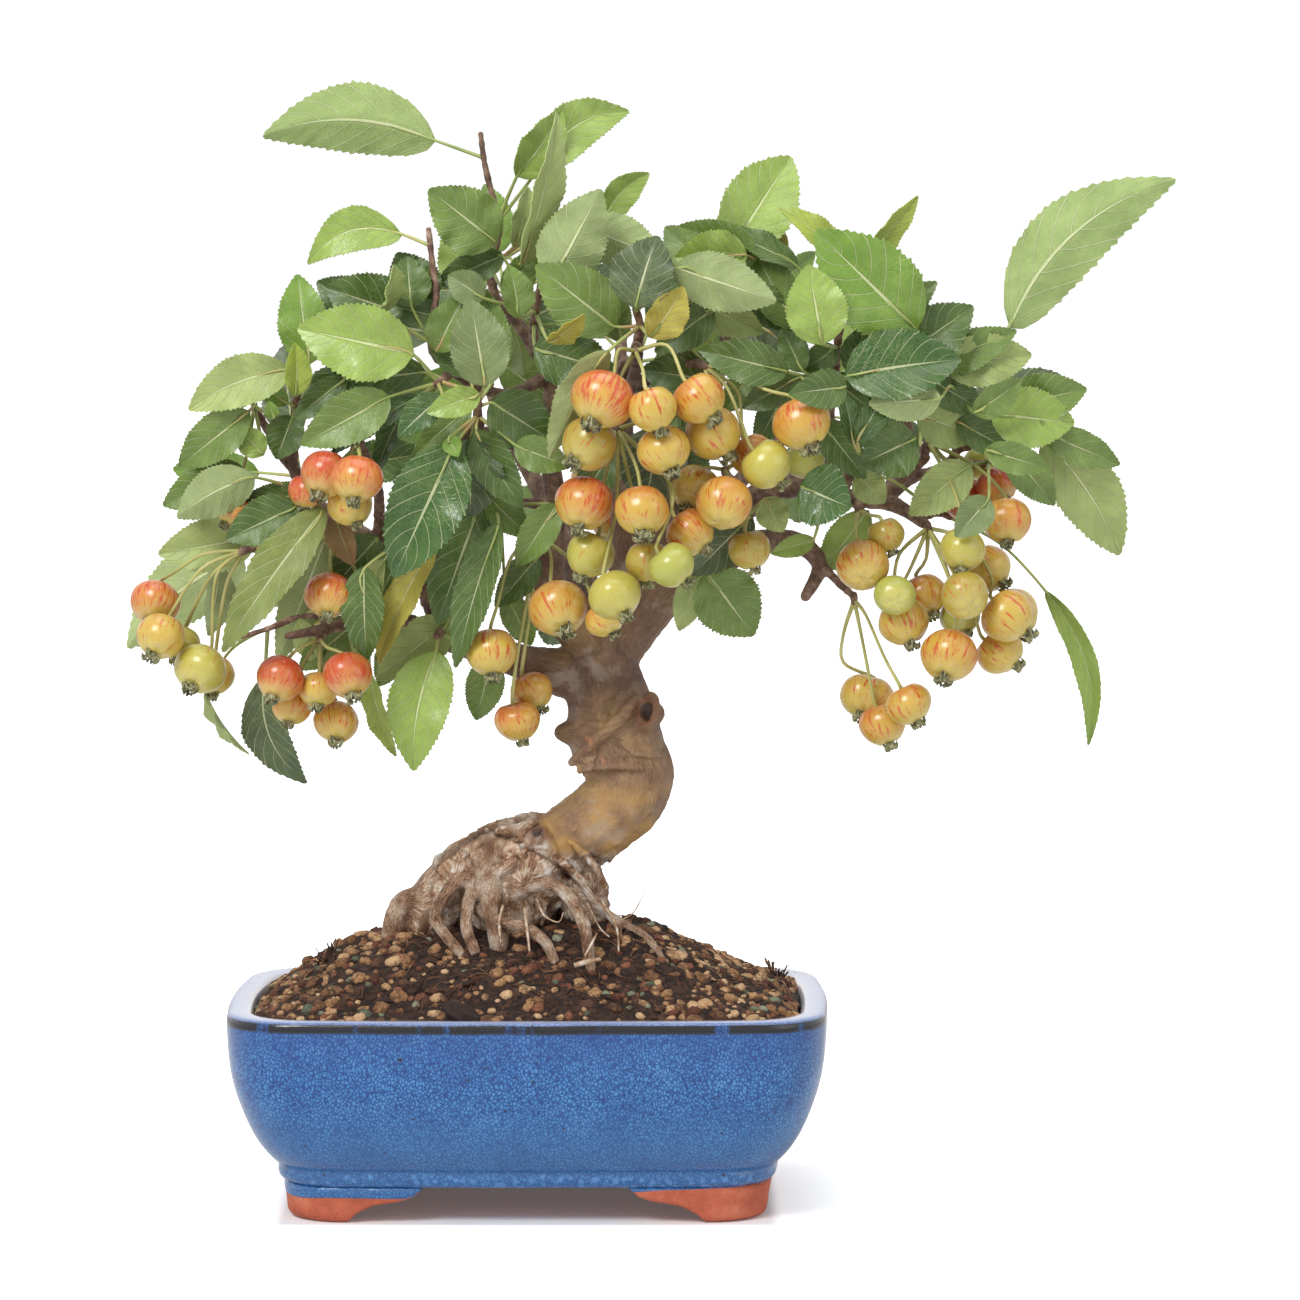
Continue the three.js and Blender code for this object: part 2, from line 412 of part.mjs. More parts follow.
// A bunch is { name, stem, fruits }. The stem is [x, z, y, radius] points from inside its branch to the
// spur's end. A fruit is [x, z, y, radius, eye x, eye z, ...stalk bends as x, z, y]; its eye is the dried
// calyx. An eye set nearer than the radius is turned to the front, or to the back where y is negative.
const BUNCHES = [
  { name: 'bunch_front', stem: [[45, 363, -55, 2], [44, 362, -66, 1.9], [44, 360, -72, 1.6]], fruits: [
    [30.5, 341, -92, 12, 26, 331, 37, 361, -84], [51, 337, -99, 9.5, 54, 328, 47, 353, -90],
    [70, 341, -88, 10.2, 76, 333, 57, 363, -80], [25, 322.5, -80, 11, 19, 315, 38, 350, -75]] },
  { name: 'bunch_front_right', stem: [[67, 355.5, -48, 1.9], [71, 355, -58, 1.7], [73, 354, -63, 1.5]],
    fruits: [
    [112.5, 331, -80, 11, 116, 321, 84, 353, -70, 97, 345, -76],
    [76, 327, -78, 11, 82, 317, 75, 342, -72], [98, 314, -78, 10, 105, 306, 82, 345, -70],
    [92, 318, -64, 9, 96, 310, 86, 344, -62]] },
  { name: 'bunch_middle', stem: [[35, 331, -46, 2.1], [36, 330, -56, 2], [37, 328, -61, 1.6]], fruits: [
    [55.5, 320, -88, 10.3, 59, 311, 49, 332, -74], [23, 298, -90, 11.2, 21, 288, 30, 318, -78],
    [46.5, 295, -92, 10, 47, 286, 44, 314, -82], [25.5, 277, -84, 9.6, 22, 268, 31, 306, -66],
    [49, 274, -80, 8.5, 49, 265, 42, 306, -64], [35.5, 260, -88, 10.3, 40, 252, 36, 296, -66],
    [66.5, 286, -74, 9.8, 73, 279, 56, 310, -68], [59, 272.5, -98, 9, 66, 265, 59, 304, -80]] },
  { name: 'bunch_over_trunk', stem: [[9, 284, -11, 2.2], [5, 285, -24, 1.9], [4, 284, -29, 1.6]],
    fruits: [
    [12, 254.5, -54, 11.3, 15, 246, 9, 277, -42], [31, 250, -62, 7.5, 35, 244, 20, 272, -48],
    [-15.5, 236.5, -50, 10, -15, 227, -7, 276, -40, -13, 256, -48],
    [-5, 208, -34, 8.9, -3, 199, -4, 240, -34], [1, 220, -20, 8.5, 5, 213, 0, 250, -29]] },
  { name: 'bunch_right_of_middle', stem: [[82, 309, -42, 1.9], [81, 311, -52, 1.7],
    [81, 312, -56, 1.5]], fruits: [
    [80.5, 298, -78, 11, 79, 289], [69, 304, -64, 10, 65, 296],
    [91, 279, -60, 8.4, 93, 270, 90, 296, -56], [114, 316, -58, 8, 117, 309, 98, 322, -58]] },
  { name: 'bunch_right', stem: [[161, 291, -21, 2.2], [164, 289, -30, 1.9], [165, 287, -34, 1.6]],
    fruits: [
    [198.5, 251.5, -44, 11, 206, 244, 180, 283, -40, 191, 268, -43],
    [173.5, 235, -54, 11, 171, 226, 175, 262, -48], [194.5, 237, -32, 9.7, 202, 231, 180, 264, -34],
    [151, 260, -60, 7.9, 151, 258, 153, 277, -46], [155, 249, -46, 10, 158, 240, 158, 272, -40],
    [163, 260, -30, 9, 166, 252, 164, 275, -32], [180, 260, -50, 9.5, 182, 255, 172, 275, -44],
    [178, 251, -30, 8, 180, 244, 172, 272, -30]] },
  { name: 'bunch_far_right', stem: [[163, 316, -16, 2], [164, 322, -23, 1.8], [165, 324, -27, 1.6]], fruits: [
    [179, 279, -48, 8.8, 178, 271, 175, 304, -42], [189.5, 271, -34, 9.5, 196, 265, 181, 302, -34],
    [197, 291, -44, 9.7, 197, 282, 186, 312, -38], [193, 305, -28, 8, 197, 299], [181, 299, -30, 9, 183, 291],
    [187, 315, -18, 7.5, 191, 309]] },
  { name: 'bunch_low_right', stem: [[134, 260, -21, 1.7], [134.5, 257, -27, 1.5]], fruits: [
    [157, 215, -48, 9, 161, 207, 139, 252, -36, 147, 234, -42],
    [146, 206.5, -38, 9.2, 149, 198, 138, 240, -34],
    [140, 217.5, -32, 9.7, 137, 210, 130, 244, -28, 130, 232, -30]] },
  { name: 'bunch_under_fork', stem: [[136, 299, -17, 2.2], [136, 296, -26, 1.8], [136, 294, -30, 1.5]],
    fruits: [
    [147.5, 285, -50, 7.2, 150, 278, 141, 293, -40],
    [138, 272.5, -54, 10.2, 139, 266, 135, 287, -44]] },
  { name: 'bunch_far_left', stem: [[-108, 280, -35, 2], [-116, 279, -41, 1.7], [-119, 277.5, -42, 1.5]],
    fruits: [
    [-154.5, 257, -30, 9.8, -156, 249, -134, 277, -38, -147, 269, -34],
    [-152, 243, -42, 9.8, -155, 235, -135, 271, -42], [-144, 240, -24, 8, -146, 233, -131, 268, -34],
    [-136, 229.5, -38, 10.5, -140, 222, -129, 268, -42],
    [-130.5, 227, -20, 8.5, -131, 219, -125, 264, -34]] },
  { name: 'bunch_low_left', stem: [[-82, 247, -28, 1.9], [-86, 243, -36, 1.7], [-87, 241, -39, 1.5]],
    fruits: [
    [-103, 225.5, -50, 9.5, -106, 218, -95, 238, -46], [-98, 214, -34, 8, -99, 207, -93, 232, -38],
    [-87.5, 221, -44, 7.7, -88, 214], [-75, 227, -50, 9.5, -73, 219, -83, 238, -46],
    [-80, 207.5, -52, 9, -80, 200, -85, 226, -48]] },
  { name: 'bunch_left', stem: [[-68, 319, -48, 1.9], [-70, 324, -56, 1.7], [-72, 325.5, -60, 1.5]], fruits: [
    [-84, 310, -70, 9.5, -86, 302], [-71, 308, -84, 10, -72, 299], [-74, 297, -68, 9, -71, 289],
    [-92, 303, -56, 7, -93, 296]] },
  { name: 'bunch_left_inner', stem: [[-98, 283, -27, 2], [-99, 287, -35, 1.7], [-100, 289, -39, 1.5]],
    fruits: [
    [-104, 279, -52, 8, -105, 272], [-121, 294, -40, 7, -125, 289, -110, 295, -42]] },
  { name: 'bunch_single_left', stem: [[-78, 289, -19, 2], [-80, 285, -29, 1.7], [-81, 283, -33, 1.4]],
    fruits: [
    [-82.5, 260, -48, 9.5, -83, 252, -82, 275, -42]] },
  { name: 'bunch_back_left', stem: [[-78, 291, 25, 2.4], [-86, 286, 38, 1.7]], fruits: [
    [-98, 268, 52, 9, -99, 260], [-82, 266, 60, 9.5, -82, 258], [-90, 254, 44, 8.5, -91, 246]] },
  { name: 'bunch_back', stem: [[37, 344, 34, 2.9], [36, 338, 52, 1.8]], fruits: [
    [27, 308, 70, 10, 26, 299], [46, 304, 68, 9.5, 47, 295], [35, 290, 62, 9, 35, 282]] },
];

// Rings of a fruit of radius 1, as [distance along its axis, radius], from the stalk's pit to the calyx.
const FRUIT_RINGS = [[-0.72, 0.6], [0, 1.06], [0.74, 0.58], [1.06, 0.2]];
const FRUIT_SIDES = 6;
const PIT_DEPTH = 0.58;
const FRUIT_STEPS = [0, 3, -3, 6, -6, 9, 12, -9, 15, -12, 18, -15, 22, -18, 26, -21, 30];

function fruitAxis([x, z, y, radius, eyeX, eyeZ]) {
  const dx = eyeX - x;
  const dz = eyeZ - z;
  const depth = Math.sqrt(Math.max(0, radius * radius - dx * dx - dz * dz));
  return new THREE.Vector3(dx, -depth, dz).normalize();
}

// The fruit and its stalk, with the fruit set back by step.
function makeFruit(row, root, step) {
  const [x, z, y, radius, , , ...bends] = row;
  const centre = seen(x, z, y + step);
  const axis = fruitAxis(row);
  const path = [root];
  for (let i = 0; i < bends.length; i += 3) {
    const reached = (i / 3 + 1) / (bends.length / 3 + 1);
    path.push(seen(bends[i], bends[i + 1], bends[i + 2] + step * reached));
  }
  path.push(centre.clone().addScaledVector(axis, -radius * PIT_DEPTH));
  const collar = root.clone().lerp(path[1], Math.min(0.6, STALK_COLLAR / root.distanceTo(path[1])));
  path.splice(1, 0, collar);
  const frames = framesAlong(path);
  const stalk = frames.slice(1).map((frame) => ringAt(frame, STALK_RADIUS, 3));
  const carried = frames[frames.length - 1];
  const side = carried.side.clone().addScaledVector(axis, -carried.side.dot(axis)).normalize();
  const body = FRUIT_RINGS.map(([along, wide]) => {
    const middle = centre.clone().addScaledVector(axis, along * radius);
    const frame = { centre: middle, side, up: axis.clone().cross(side) };
    return ringAt(frame, wide * radius, FRUIT_SIDES);
  });
  return {
    whole: loft([[root], ...stalk, ...body]),
    outer: loft([[collar], ...stalk, ...body]),
    core: loft([...stalk.slice(-1), ...body]),
  };
}

// ---- Leaves --------------------------------------------------------------------------------------

// A spray is { name, stem, leaves }. A leaf is [base x, z, tip x, z, width, set, lean, roll, face, sweep]:
// set is how far its base stands behind the crown's front, lean how much further its tip does, roll its
// turn about the midrib in degrees, face 1 with the upper side to the front or -1 with the underside, and
// sweep, where there is one, how far its middle curves to the right of the way from base to tip.
const SPRAYS = [
  { name: 'spray_crown_tip', stem: [[-14, 383, -15, 2.2], [-15.5, 395, -18, 1.7], [-13, 405, -20, 1.6],
    [-12, 414, -22, 1.5], [-15, 425, -20, 1.3], [-18, 438, -18, 1.2], [-19.5, 449.5, -16, 1.1]],
    leaves: [
    [-38, 446.5, -109, 448.5, 30, 0, -6, -14, -1, 4], [-3, 395, 13, 458, 20, 0, 4, 55, 1, -3],
    [-5, 432, 14, 459, 20, 4, 6, 30, 1], [3, 433, 41, 458.5, 21, 10, 10, 0, 1],
    [-13, 405, -41, 427, 27, 6, -8, 0, 1], [22, 412, 56, 398, 22, 22, 0, 0, -1],
    [30, 412, 50, 433.5, 14, 30, 6, 20, 1]] },
  { name: 'spray_crown_front', stem: [[3, 361, -13, 2.6], [2, 370, -34, 1.9], [3, 376, -46, 1.6],
    [5, 388, -56, 1.3]], leaves: [
    [9.5, 389, 30, 427, 27, 0, 6, 0, -1], [-18, 382, -33, 392, 14, 12, 4, 0, 1],
    [-4, 374, -8, 396, 15, 8, 0, 30, 1], [-10, 400, -38, 388, 14, 26, 0, 0, 1]] },
  { name: 'spray_left_cut_twig', stem: [[-37, 357, -46, 2], [-40, 364, -52, 1.6], [-38, 384, -56, 1.4],
    [-39, 392, -57, 1.3], [-41, 410.5, -56, 1.1]], leaves: [
    [-52, 408.5, -91, 396.5, 19, 0, 0, 10, 1, 4], [-48, 378, -50, 399.5, 18, 10, 4, 0, 1],
    [-60, 376, -56, 396, 16, 6, 4, 65, 1], [-62, 375, -87, 389, 19, 16, 4, 0, 1]] },
  { name: 'spray_left_middle', stem: [[-32, 352, -41, 2.1], [-35, 349, -54, 1.8], [-38, 347, -60, 1.5]],
    leaves: [
    [-47, 359.5, -95, 370, 31, 0, 4, 0, 1], [-57, 342, -94, 322, 21, 4, -2, 0, 1],
    [-45, 342, -82, 318, 13, 14, 0, 30, 1], [-35, 342, -54, 325, 14, 6, -4, 20, 1],
    [-50, 338, -63, 309, 12, 16, 0, 40, 1], [-20, 343, -42, 335, 12, 2, -3, 0, 1]] },
  { name: 'spray_left_upper', stem: [[-96.5, 327, -28, 2.1], [-96, 338, -38, 1.6],
    [-94, 348, -46, 1.3]], leaves: [
    [-96, 342, -96, 364, 12, 0, 0, 30, 1], [-90, 355, -95, 392, 21, 6, 6, 0, 1],
    [-98, 353, -140, 336.5, 21, 2, 4, 0, 1, 3], [-75, 350, -97, 332, 12, 14, 0, 0, 1],
    [-99, 339, -113, 348, 9, 18, 0, 0, 1]] },
  { name: 'spray_left_end', stem: [[-107.5, 328, -27, 1.9], [-113, 338, -32, 1.5],
    [-112, 345, -35, 1.3]], leaves: [
    [-115, 336, -144, 313, 19, 2, 2, 0, 1], [-113, 344, -127, 330, 10, 0, -4, 40, 1],
    [-109, 318, -120, 329, 12, 14, 0, 0, 1]] },
  { name: 'spray_left_limb', stem: [[-90, 301, -21, 2.3], [-94, 304, -33, 1.8], [-96, 304, -39, 1.5]],
    leaves: [
    [-113, 309, -145, 292, 20, 0, 0, 0, -1, 2], [-95, 297, -125, 283, 20, 2, -2, 0, 1],
    [-84, 296, -127, 236.5, 21, 10, 6, 14, 1]] },
  { name: 'spray_left_spur', stem: [[-106, 281, -33, 2], [-108, 284, -26, 1.7], [-112, 286, -18, 1.4]],
    leaves: [
    [-118, 276, -166, 238, 30, 34, 10, 0, -1, 5], [-128, 272, -133, 243, 17, 10, 4, 35, -1]] },
  { name: 'spray_low_left_inner', stem: [[-62, 251.5, -20, 2.7], [-66, 257, -34, 1.9],
    [-69, 262, -42, 1.6]], leaves: [
    [-84, 283, -104, 232, 20, 30, 8, 0, -1], [-85, 270, -100, 251, 14, 46, 4, 0, 1],
    [-95, 250, -86, 231, 12, 24, 2, 20, 1], [-80, 293, -72, 272, 13, 26, -4, 20, 1],
    [-66, 228, -55, 193, 13, 16, 4, 40, 1], [-52, 245, -62, 222, 14, 34, 6, 0, 1]] },
  { name: 'spray_low_left_end', stem: [[-98, 250, -30, 1.5], [-108, 246, -36, 1.1],
    [-121, 242, -38, 0.9]], leaves: [
    [-109, 227, -92, 182, 20, 0, 2, 12, 1, 7], [-134, 220, -116, 194, 15, 8, 4, 72, 1]] },
  { name: 'spray_low_left_mid', stem: [[-35, 243, -11, 2.8], [-37, 244, -20, 2], [-38, 243, -28, 1.6]],
    leaves: [
    [-38, 237, -48, 187, 26, 0, -6, 0, 1, 3], [-15, 235, -22, 208, 16, 30, 6, 0, 1]] },
  { name: 'spray_left_centre', stem: [[-40, 285, -39, 2.1], [-44, 288, -50, 1.7], [-47, 288, -56, 1.4]],
    leaves: [
    [-68, 272, -67, 233, 18, 4, 6, 10, 1], [-60, 275, -72, 233, 14, 12, 10, 35, 1],
    [-38, 283, -63, 231, 15, 18, 8, 30, 1]] },
  { name: 'spray_centre_inner', stem: [[-7, 298, -25, 2.1], [-12, 297, -37, 1.7], [-14, 295, -44, 1.4]],
    leaves: [
    [-12, 290, -30, 230, 17, 8, 10, 20, 1], [12, 298, -5, 272, 15, 26, 6, 0, 1],
    [-10, 262, 1, 239, 13, 40, 6, 0, 1]] },
  { name: 'spray_centre_spur', stem: [[-21, 327, -43, 3], [-21, 334, -53, 2], [-21, 341, -58, 1.6]],
    leaves: [
    [-18, 346, -24, 382, 24, 0, 0, 8, 1], [-30, 323, -56, 267, 31, 2, 4, 0, 1],
    [-24, 325, -24, 292, 28, 22, 8, 0, 1], [-6, 322, 17, 313, 15, 22, 0, 0, 1]] },
  { name: 'spray_over_front_bunch', stem: [[45, 364, -53, 2.2], [46, 371, -62, 1.8],
    [44, 378, -67, 1.4]], leaves: [
    [60, 395, 102, 381, 23, 0, 0, 0, -1], [44, 378, 53, 408, 27, 0, 4, -18, 1],
    [50, 366, 64, 387, 17, 4, 0, 20, 1], [36, 370, 3, 396, 27, 14, 4, 0, 1],
    [33, 361, 9, 316, 18, 0, 6, -38, -1], [76, 378, 52, 360, 17, 24, 0, 0, 1]] },
  { name: 'spray_right_rosette', stem: [[124, 338, -27, 2.5], [122, 345, -42, 1.9],
    [120, 349, -50, 1.6]], leaves: [
    [130, 350, 178, 357, 30, 0, 8, -18, 1], [131, 346, 107, 343, 16, 0, -4, 0, 1],
    [107, 352, 70, 361, 18, 10, 0, 0, 1], [134, 350, 138, 371, 15, 18, 4, 0, 1],
    [113, 352, 104, 370, 12, 22, 4, 0, 1], [112, 350, 88, 337, 14, 22, 0, 0, 1]] },
  { name: 'spray_right_twig', stem: [[126, 350, -34, 2.2], [127, 362, -42, 1.7], [129, 373, -48, 1.5],
    [132, 380, -50, 1.4], [135, 391, -50, 1.2]], leaves: [
    [121, 363, 115, 396, 25, 0, 2, 0, 1], [138.5, 396, 160.5, 424, 12, 0, 4, 38, 1, -2.5],
    [133, 396, 103, 420, 13, 4, 2, 30, 1], [111, 395, 75, 411, 13, 18, 0, 35, 1]] },
  { name: 'spray_crown_right', stem: [[85, 383, -16, 2.2], [89, 393, -25, 1.6], [91, 401, -30, 1.3]],
    leaves: [
    [82, 400, 107.5, 440, 30, 8, 8, 0, 1], [106, 400, 83.5, 422.5, 13, 0, 0, 30, 1],
    [90, 400, 60, 399, 21, 14, 0, 0, 1], [62, 384, 97, 368, 19, 30, 0, 0, 1]] },
  { name: 'spray_right_high', stem: [[158, 350, -18, 2.1], [161, 358, -30, 1.7], [163, 362, -38, 1.4]],
    leaves: [
    [160, 369, 118, 410, 36, 4, 8, 0, 1], [170, 355, 207, 359, 22, 16, 6, 0, 1]] },
  { name: 'spray_right_end', stem: [[176, 328, -20, 2.1], [178, 342, -30, 1.6], [183, 351, -33, 1.3]],
    leaves: [
    [198, 370, 266, 431, 32, 0, 0, 0, -1, -11], [170, 341, 140, 339, 17, 0, 0, 0, -1],
    [190, 335, 225, 331, 25, 10, 4, 0, 1], [183, 335, 203, 349, 14, 4, 2, 20, 1]] },
  { name: 'spray_right_side', stem: [[176, 320, -16, 2.1], [185, 323, -25, 1.7], [190, 326, -31, 1.4]],
    leaves: [
    [212, 327, 243.5, 314, 15, 0, 2, 0, 1], [212, 325, 243.5, 277, 27, 8, 6, 0, 1, -3],
    [190, 337, 214, 322, 15, 0, 2, 0, 1]] },
  { name: 'spray_right_stub', stem: [[181, 314, -14.5, 1.9], [187, 314, -24, 1.5],
    [190, 315, -29, 1.3]], leaves: [
    [188, 320, 215, 312, 13, 0, 2, 0, 1], [190, 300, 176, 284, 15, 0, -2, 0, 1]] },
  { name: 'spray_right_hanging', stem: [[160, 291.5, -20, 2.3], [168, 294, -16, 1.7],
    [174, 292, -14, 1.3]], leaves: [
    [213, 262, 231, 197, 11, 8, 6, 20, 1, -10]] },
  { name: 'spray_right_inner', stem: [[128, 301, -15, 2.9], [134, 312, -32, 2], [138, 317, -42, 1.6]],
    leaves: [
    [160, 325, 137, 314, 24, 22, 0, 0, 1], [135, 323, 149, 350, 12, 6, 0, 20, 1],
    [134, 322, 129, 345, 9, 10, 2, 20, 1]] },
  { name: 'spray_under_right', stem: [[126, 301, -14.5, 2.9], [122, 300, -28, 2], [120, 300, -35, 1.6]],
    leaves: [
    [112, 305, 133, 296, 26, 4, -4, 0, 1], [140, 295, 121, 270, 17, 40, 6, 0, 1]] },
  { name: 'spray_under_middle', stem: [[82, 277, -6, 4], [84, 284, -22, 2.2], [84, 286, -30, 1.8]],
    leaves: [
    [92, 293, 67, 268, 19, 36, 6, 0, 1], [73, 270, 93, 243, 28, 40, 4, 0, 1],
    [70, 270, 62, 245, 13, 46, 4, 0, 1]] },
  { name: 'spray_behind_fruits', stem: [[40, 316, 4, 3.2], [46, 318, -18, 2.1], [50, 320, -30, 1.7]],
    leaves: [
    [54, 330, 48, 296, 28, 44, 6, 0, 1], [60, 322, 72, 302, 18, 46, 2, 0, 1]] },
];

// Sprays of the back of the crown: [name, stem, leaves, length, spread in degrees]. Their leaves fan out
// around the stem's end.
const BACK_SPRAYS = [
  ['spray_back_crown', [[38, 346, 35, 2.6], [45, 357, 45, 1.5]], 5, 36],
  ['spray_back_crown_left', [[-16, 346, 56.5, 2.3], [-23, 364, 62, 1.5]], 5, 50],
  ['spray_back_right', [[101, 323, 58, 2.4], [115, 336, 66, 1.5]], 5, 52],
  ['spray_back_left', [[-84, 295, 30, 2.5], [-95, 310, 38, 1.5]], 4, 48],
  ['spray_back_far_right', [[154, 317, 35, 2.3], [165, 321, 42, 1.5]], 5, 42],
  ['spray_back_middle', [[22, 264, 24, 4.8], [32, 282, 50, 1.7]], 4, 46],
  ['spray_top_left', [[-7, 374, -13, 2.6], [-9, 382, 2, 1.8], [-10, 386, 9, 1.5]], 4, 32],
  ['spray_top_right', [[81.5, 366, -6, 2.7], [86, 373, 2, 1.9], [88, 377, 8, 1.5]], 4, 30],
];
const FAN_TILT = 0.55; // how far the fan's axis leans to the back
const FAN_START = 16; // from the stem's end to a blade's base
const FAN_SLIMNESS = 0.52; // a blade's width over its length
const FAN_ROLL = 25; // most that a blade is turned about its midrib, in degrees

// Leaves of a back spray as rows like those above, with the base's own depth in place of set.
function fanLeaves([, stem, count, length], order) {
  const [x, z, y] = stem[stem.length - 1];
  return Array.from({ length: count }, (_, i) => {
    const angle = (2 * Math.PI * (i + 0.35 * order)) / count;
    const reach = length * (0.9 + 0.2 * Math.sin(2.4 * i + order));
    const out = { x: Math.cos(angle), z: Math.sin(angle) * 0.8 + 0.1 };
    const depth = FAN_TILT + 0.35 * Math.sin(3 * angle);
    const end = FAN_START + reach;
    return [
      x + out.x * FAN_START, z + out.z * FAN_START, x + out.x * end, z + out.z * end,
      reach * FAN_SLIMNESS, y + FAN_START * depth, reach * depth, FAN_ROLL * Math.sin(angle + order), 1,
    ];
  });
}

const TEETH = [0.14, 0.36, 0.58, 0.82]; // stations of the toothed edge, in and out by turns
const TOOTH = 0.07; // how far they stand in and out of the edge, over its half width
const RIB = 0.42; // where the midrib is thickest
const SHORT_STALK = 34; // a shorter leaf stalk is straight
const STALK_ARCH = 0.1; // rise of a longer one over its length
const FOLD = 0.3; // slope of the half blades up from the midrib
const BOW = 0.06; // rise of the midrib over its length

function bladeWidth(v) {
  return Math.sin(Math.PI * v ** 0.85) ** 0.9;
}

// The blade and its leaf stalk as one four-railed skin: front, right edge, back, left edge.
function makeLeaf(base, tip, width, roll, face, sweep, root) {
  const along = tip.clone().sub(base);
  const length = along.length();
  along.normalize();
  const toFront = new THREE.Vector3(0, -1, 0);
  const flat = toFront.addScaledVector(along, -toFront.dot(along)).normalize();
  const normal = flat.applyAxisAngle(along, THREE.MathUtils.degToRad(roll));
  const side = along.clone().cross(normal);
  const upper = normal.clone().multiplyScalar(face);
  const midrib = (v) => base.clone().addScaledVector(along, v * length)
    .addScaledVector(upper, BOW * length * 4 * v * (1 - v))
    .addScaledVector(side, sweep * 4 * v * (1 - v));
  const rails = [[], [], [], []];
  const points = [];
  const put = (rail, v, point) => {
    rails[rail].push([points.length, v]);
    points.push(point);
  };
  // The leaf stalk: from a point inside the stem, in a curve if it is long, to the blade's base.
  const up = new THREE.Vector3(0, 0, 1);
  const bend = root.clone().lerp(base, 0.55).addScaledVector(up, STALK_ARCH * root.distanceTo(base));
  const isShort = root.distanceTo(base) < SHORT_STALK;
  const towards = isShort ? base : bend;
  const reach = root.distanceTo(towards);
  const collar = root.clone().lerp(towards, Math.min(0.6, STALK_COLLAR / reach));
  const stalk = isShort ? [[collar, -2], [midrib(0.04), 0]] : [[collar, -2], [bend, -1], [midrib(0.04), 0]];
  stalk.forEach(([centre, v], i) => {
    const before = i === 0 ? root : stalk[i - 1][0];
    const after = stalk[Math.min(stalk.length - 1, i + 1)][0];
    const way = after.clone().sub(before).normalize();
    const front = normal.clone().addScaledVector(way, -normal.dot(way)).normalize();
    const across = way.clone().cross(front);
    const radius = PETIOLE_RADIUS * (v === 0 ? 0.9 : 1.1);
    [front, across, front.clone().negate(), across.clone().negate()].forEach((way4, rail) => {
      put(rail, v, centre.clone().addScaledVector(way4, radius));
    });
  });
  TEETH.forEach((v, i) => {
    const half = (width / 2) * bladeWidth(v) * (1 + (i % 2 === 0 ? -TOOTH : TOOTH));
    [1, 3].forEach((rail) => {
      const edge = midrib(v).addScaledVector(side, rail === 1 ? half : -half);
      put(rail, v, edge.addScaledVector(upper, FOLD * half));
    });
  });
  put(0, RIB, midrib(RIB).addScaledVector(normal, LEAF_THICK / 2));
  put(2, RIB, midrib(RIB).addScaledVector(normal, -LEAF_THICK / 2));
  const tipIndex = points.length;
  points.push(tip);
  rails.forEach((rail) => rail.push([tipIndex, 1]));
  const rootIndex = points.length;
  // The leaf from a given ring of its stalk on, closed to a point behind it.
  const from = (first, closing) => {
    const kept = rails.map((rail) => rail.slice(first));
    const triangles = [];
    kept.forEach((rail, r) => {
      const next = kept[(r + 1) % 4];
      triangles.push([rootIndex, next[0][0], rail[0][0]]);
      let i = 0;
      let k = 0;
      while (i + 1 < rail.length || k + 1 < next.length) {
        const stepNext = i + 1 >= rail.length || (k + 1 < next.length && next[k + 1][1] <= rail[i + 1][1]);
        const third = stepNext ? next[k + 1][0] : rail[i + 1][0];
        const corners = [rail[i][0], next[k][0], third];
        if (stepNext) k += 1;
        else i += 1;
        if (new Set(corners).size === 3) triangles.push(corners);
      }
    });
    return solidOf([...points, closing], triangles);
  };
  const foot = stalk.length - 1;
  return { whole: from(0, root), outer: from(0, collar), core: from(foot, stalk[foot][0]) };
}

// A stem's points, with its end drawn back to where stalks may root well inside it.
function rootingPath(stem) {
  const path = stem.map(([x, z, y]) => seen(x, z, y));
  const end = path[path.length - 1];
  const before = path[path.length - 2];
  path[path.length - 1] = end.clone().lerp(before, ROOT_SINK / end.distanceTo(before));
  return path;
}

// Where a leaf stalk leaves the stem: the stem's nearest point to a place below the blade's base.
const ROOT_DROP = 0.55;
function stalkRoot(stemPath, base) {
  const end = stemPath[stemPath.length - 1];
  const grows = end.clone().sub(stemPath[0]).normalize();
  const wanted = base.clone().addScaledVector(grows, -ROOT_DROP * base.distanceTo(end));
  let best = end;
  for (let i = stemPath.length > 2 ? 1 : 0; i + 1 < stemPath.length; i++) {
    const piece = new THREE.Line3(stemPath[i], stemPath[i + 1]);
    const near = piece.closestPointToPoint(wanted, true, new THREE.Vector3());
    if (near.distanceTo(wanted) < best.distanceTo(wanted)) best = near;
  }
  return best;
}

// ---- Growing the bunches and sprays clear of each other ---------------------------------------------

// Each grown piece is { owner, outer, core }: core is its fruit or blade, outer that with its stalk. The
// stalks of one bunch or spray may run into each other where they part.
const grown = [];

function boxesMeet(a, b) {
  return [0, 1, 2].every((k) => a.min[k] - CLEAR < b.max[k] && b.min[k] - CLEAR < a.max[k]);
}

function apart(solid, other) {
  return !boxesMeet(solid.boundingBox(), other.boundingBox()) || solid.minGap(other, 2 * CLEAR) >= CLEAR;
}

function isClear(piece) {
  return grown.every((other) => {
    if (other.owner !== piece.owner) return apart(piece.outer, other.outer);
    return other.core === null || (apart(piece.core, other.outer) && apart(piece.outer, other.core));
  });
}

const wood = makeWood(0);
const woodRoom = makeWood(GAP);
grown.push({ owner: 'wood', outer: wood, core: null });

function stemSolid(points) {
  return limb(points, 3);
}

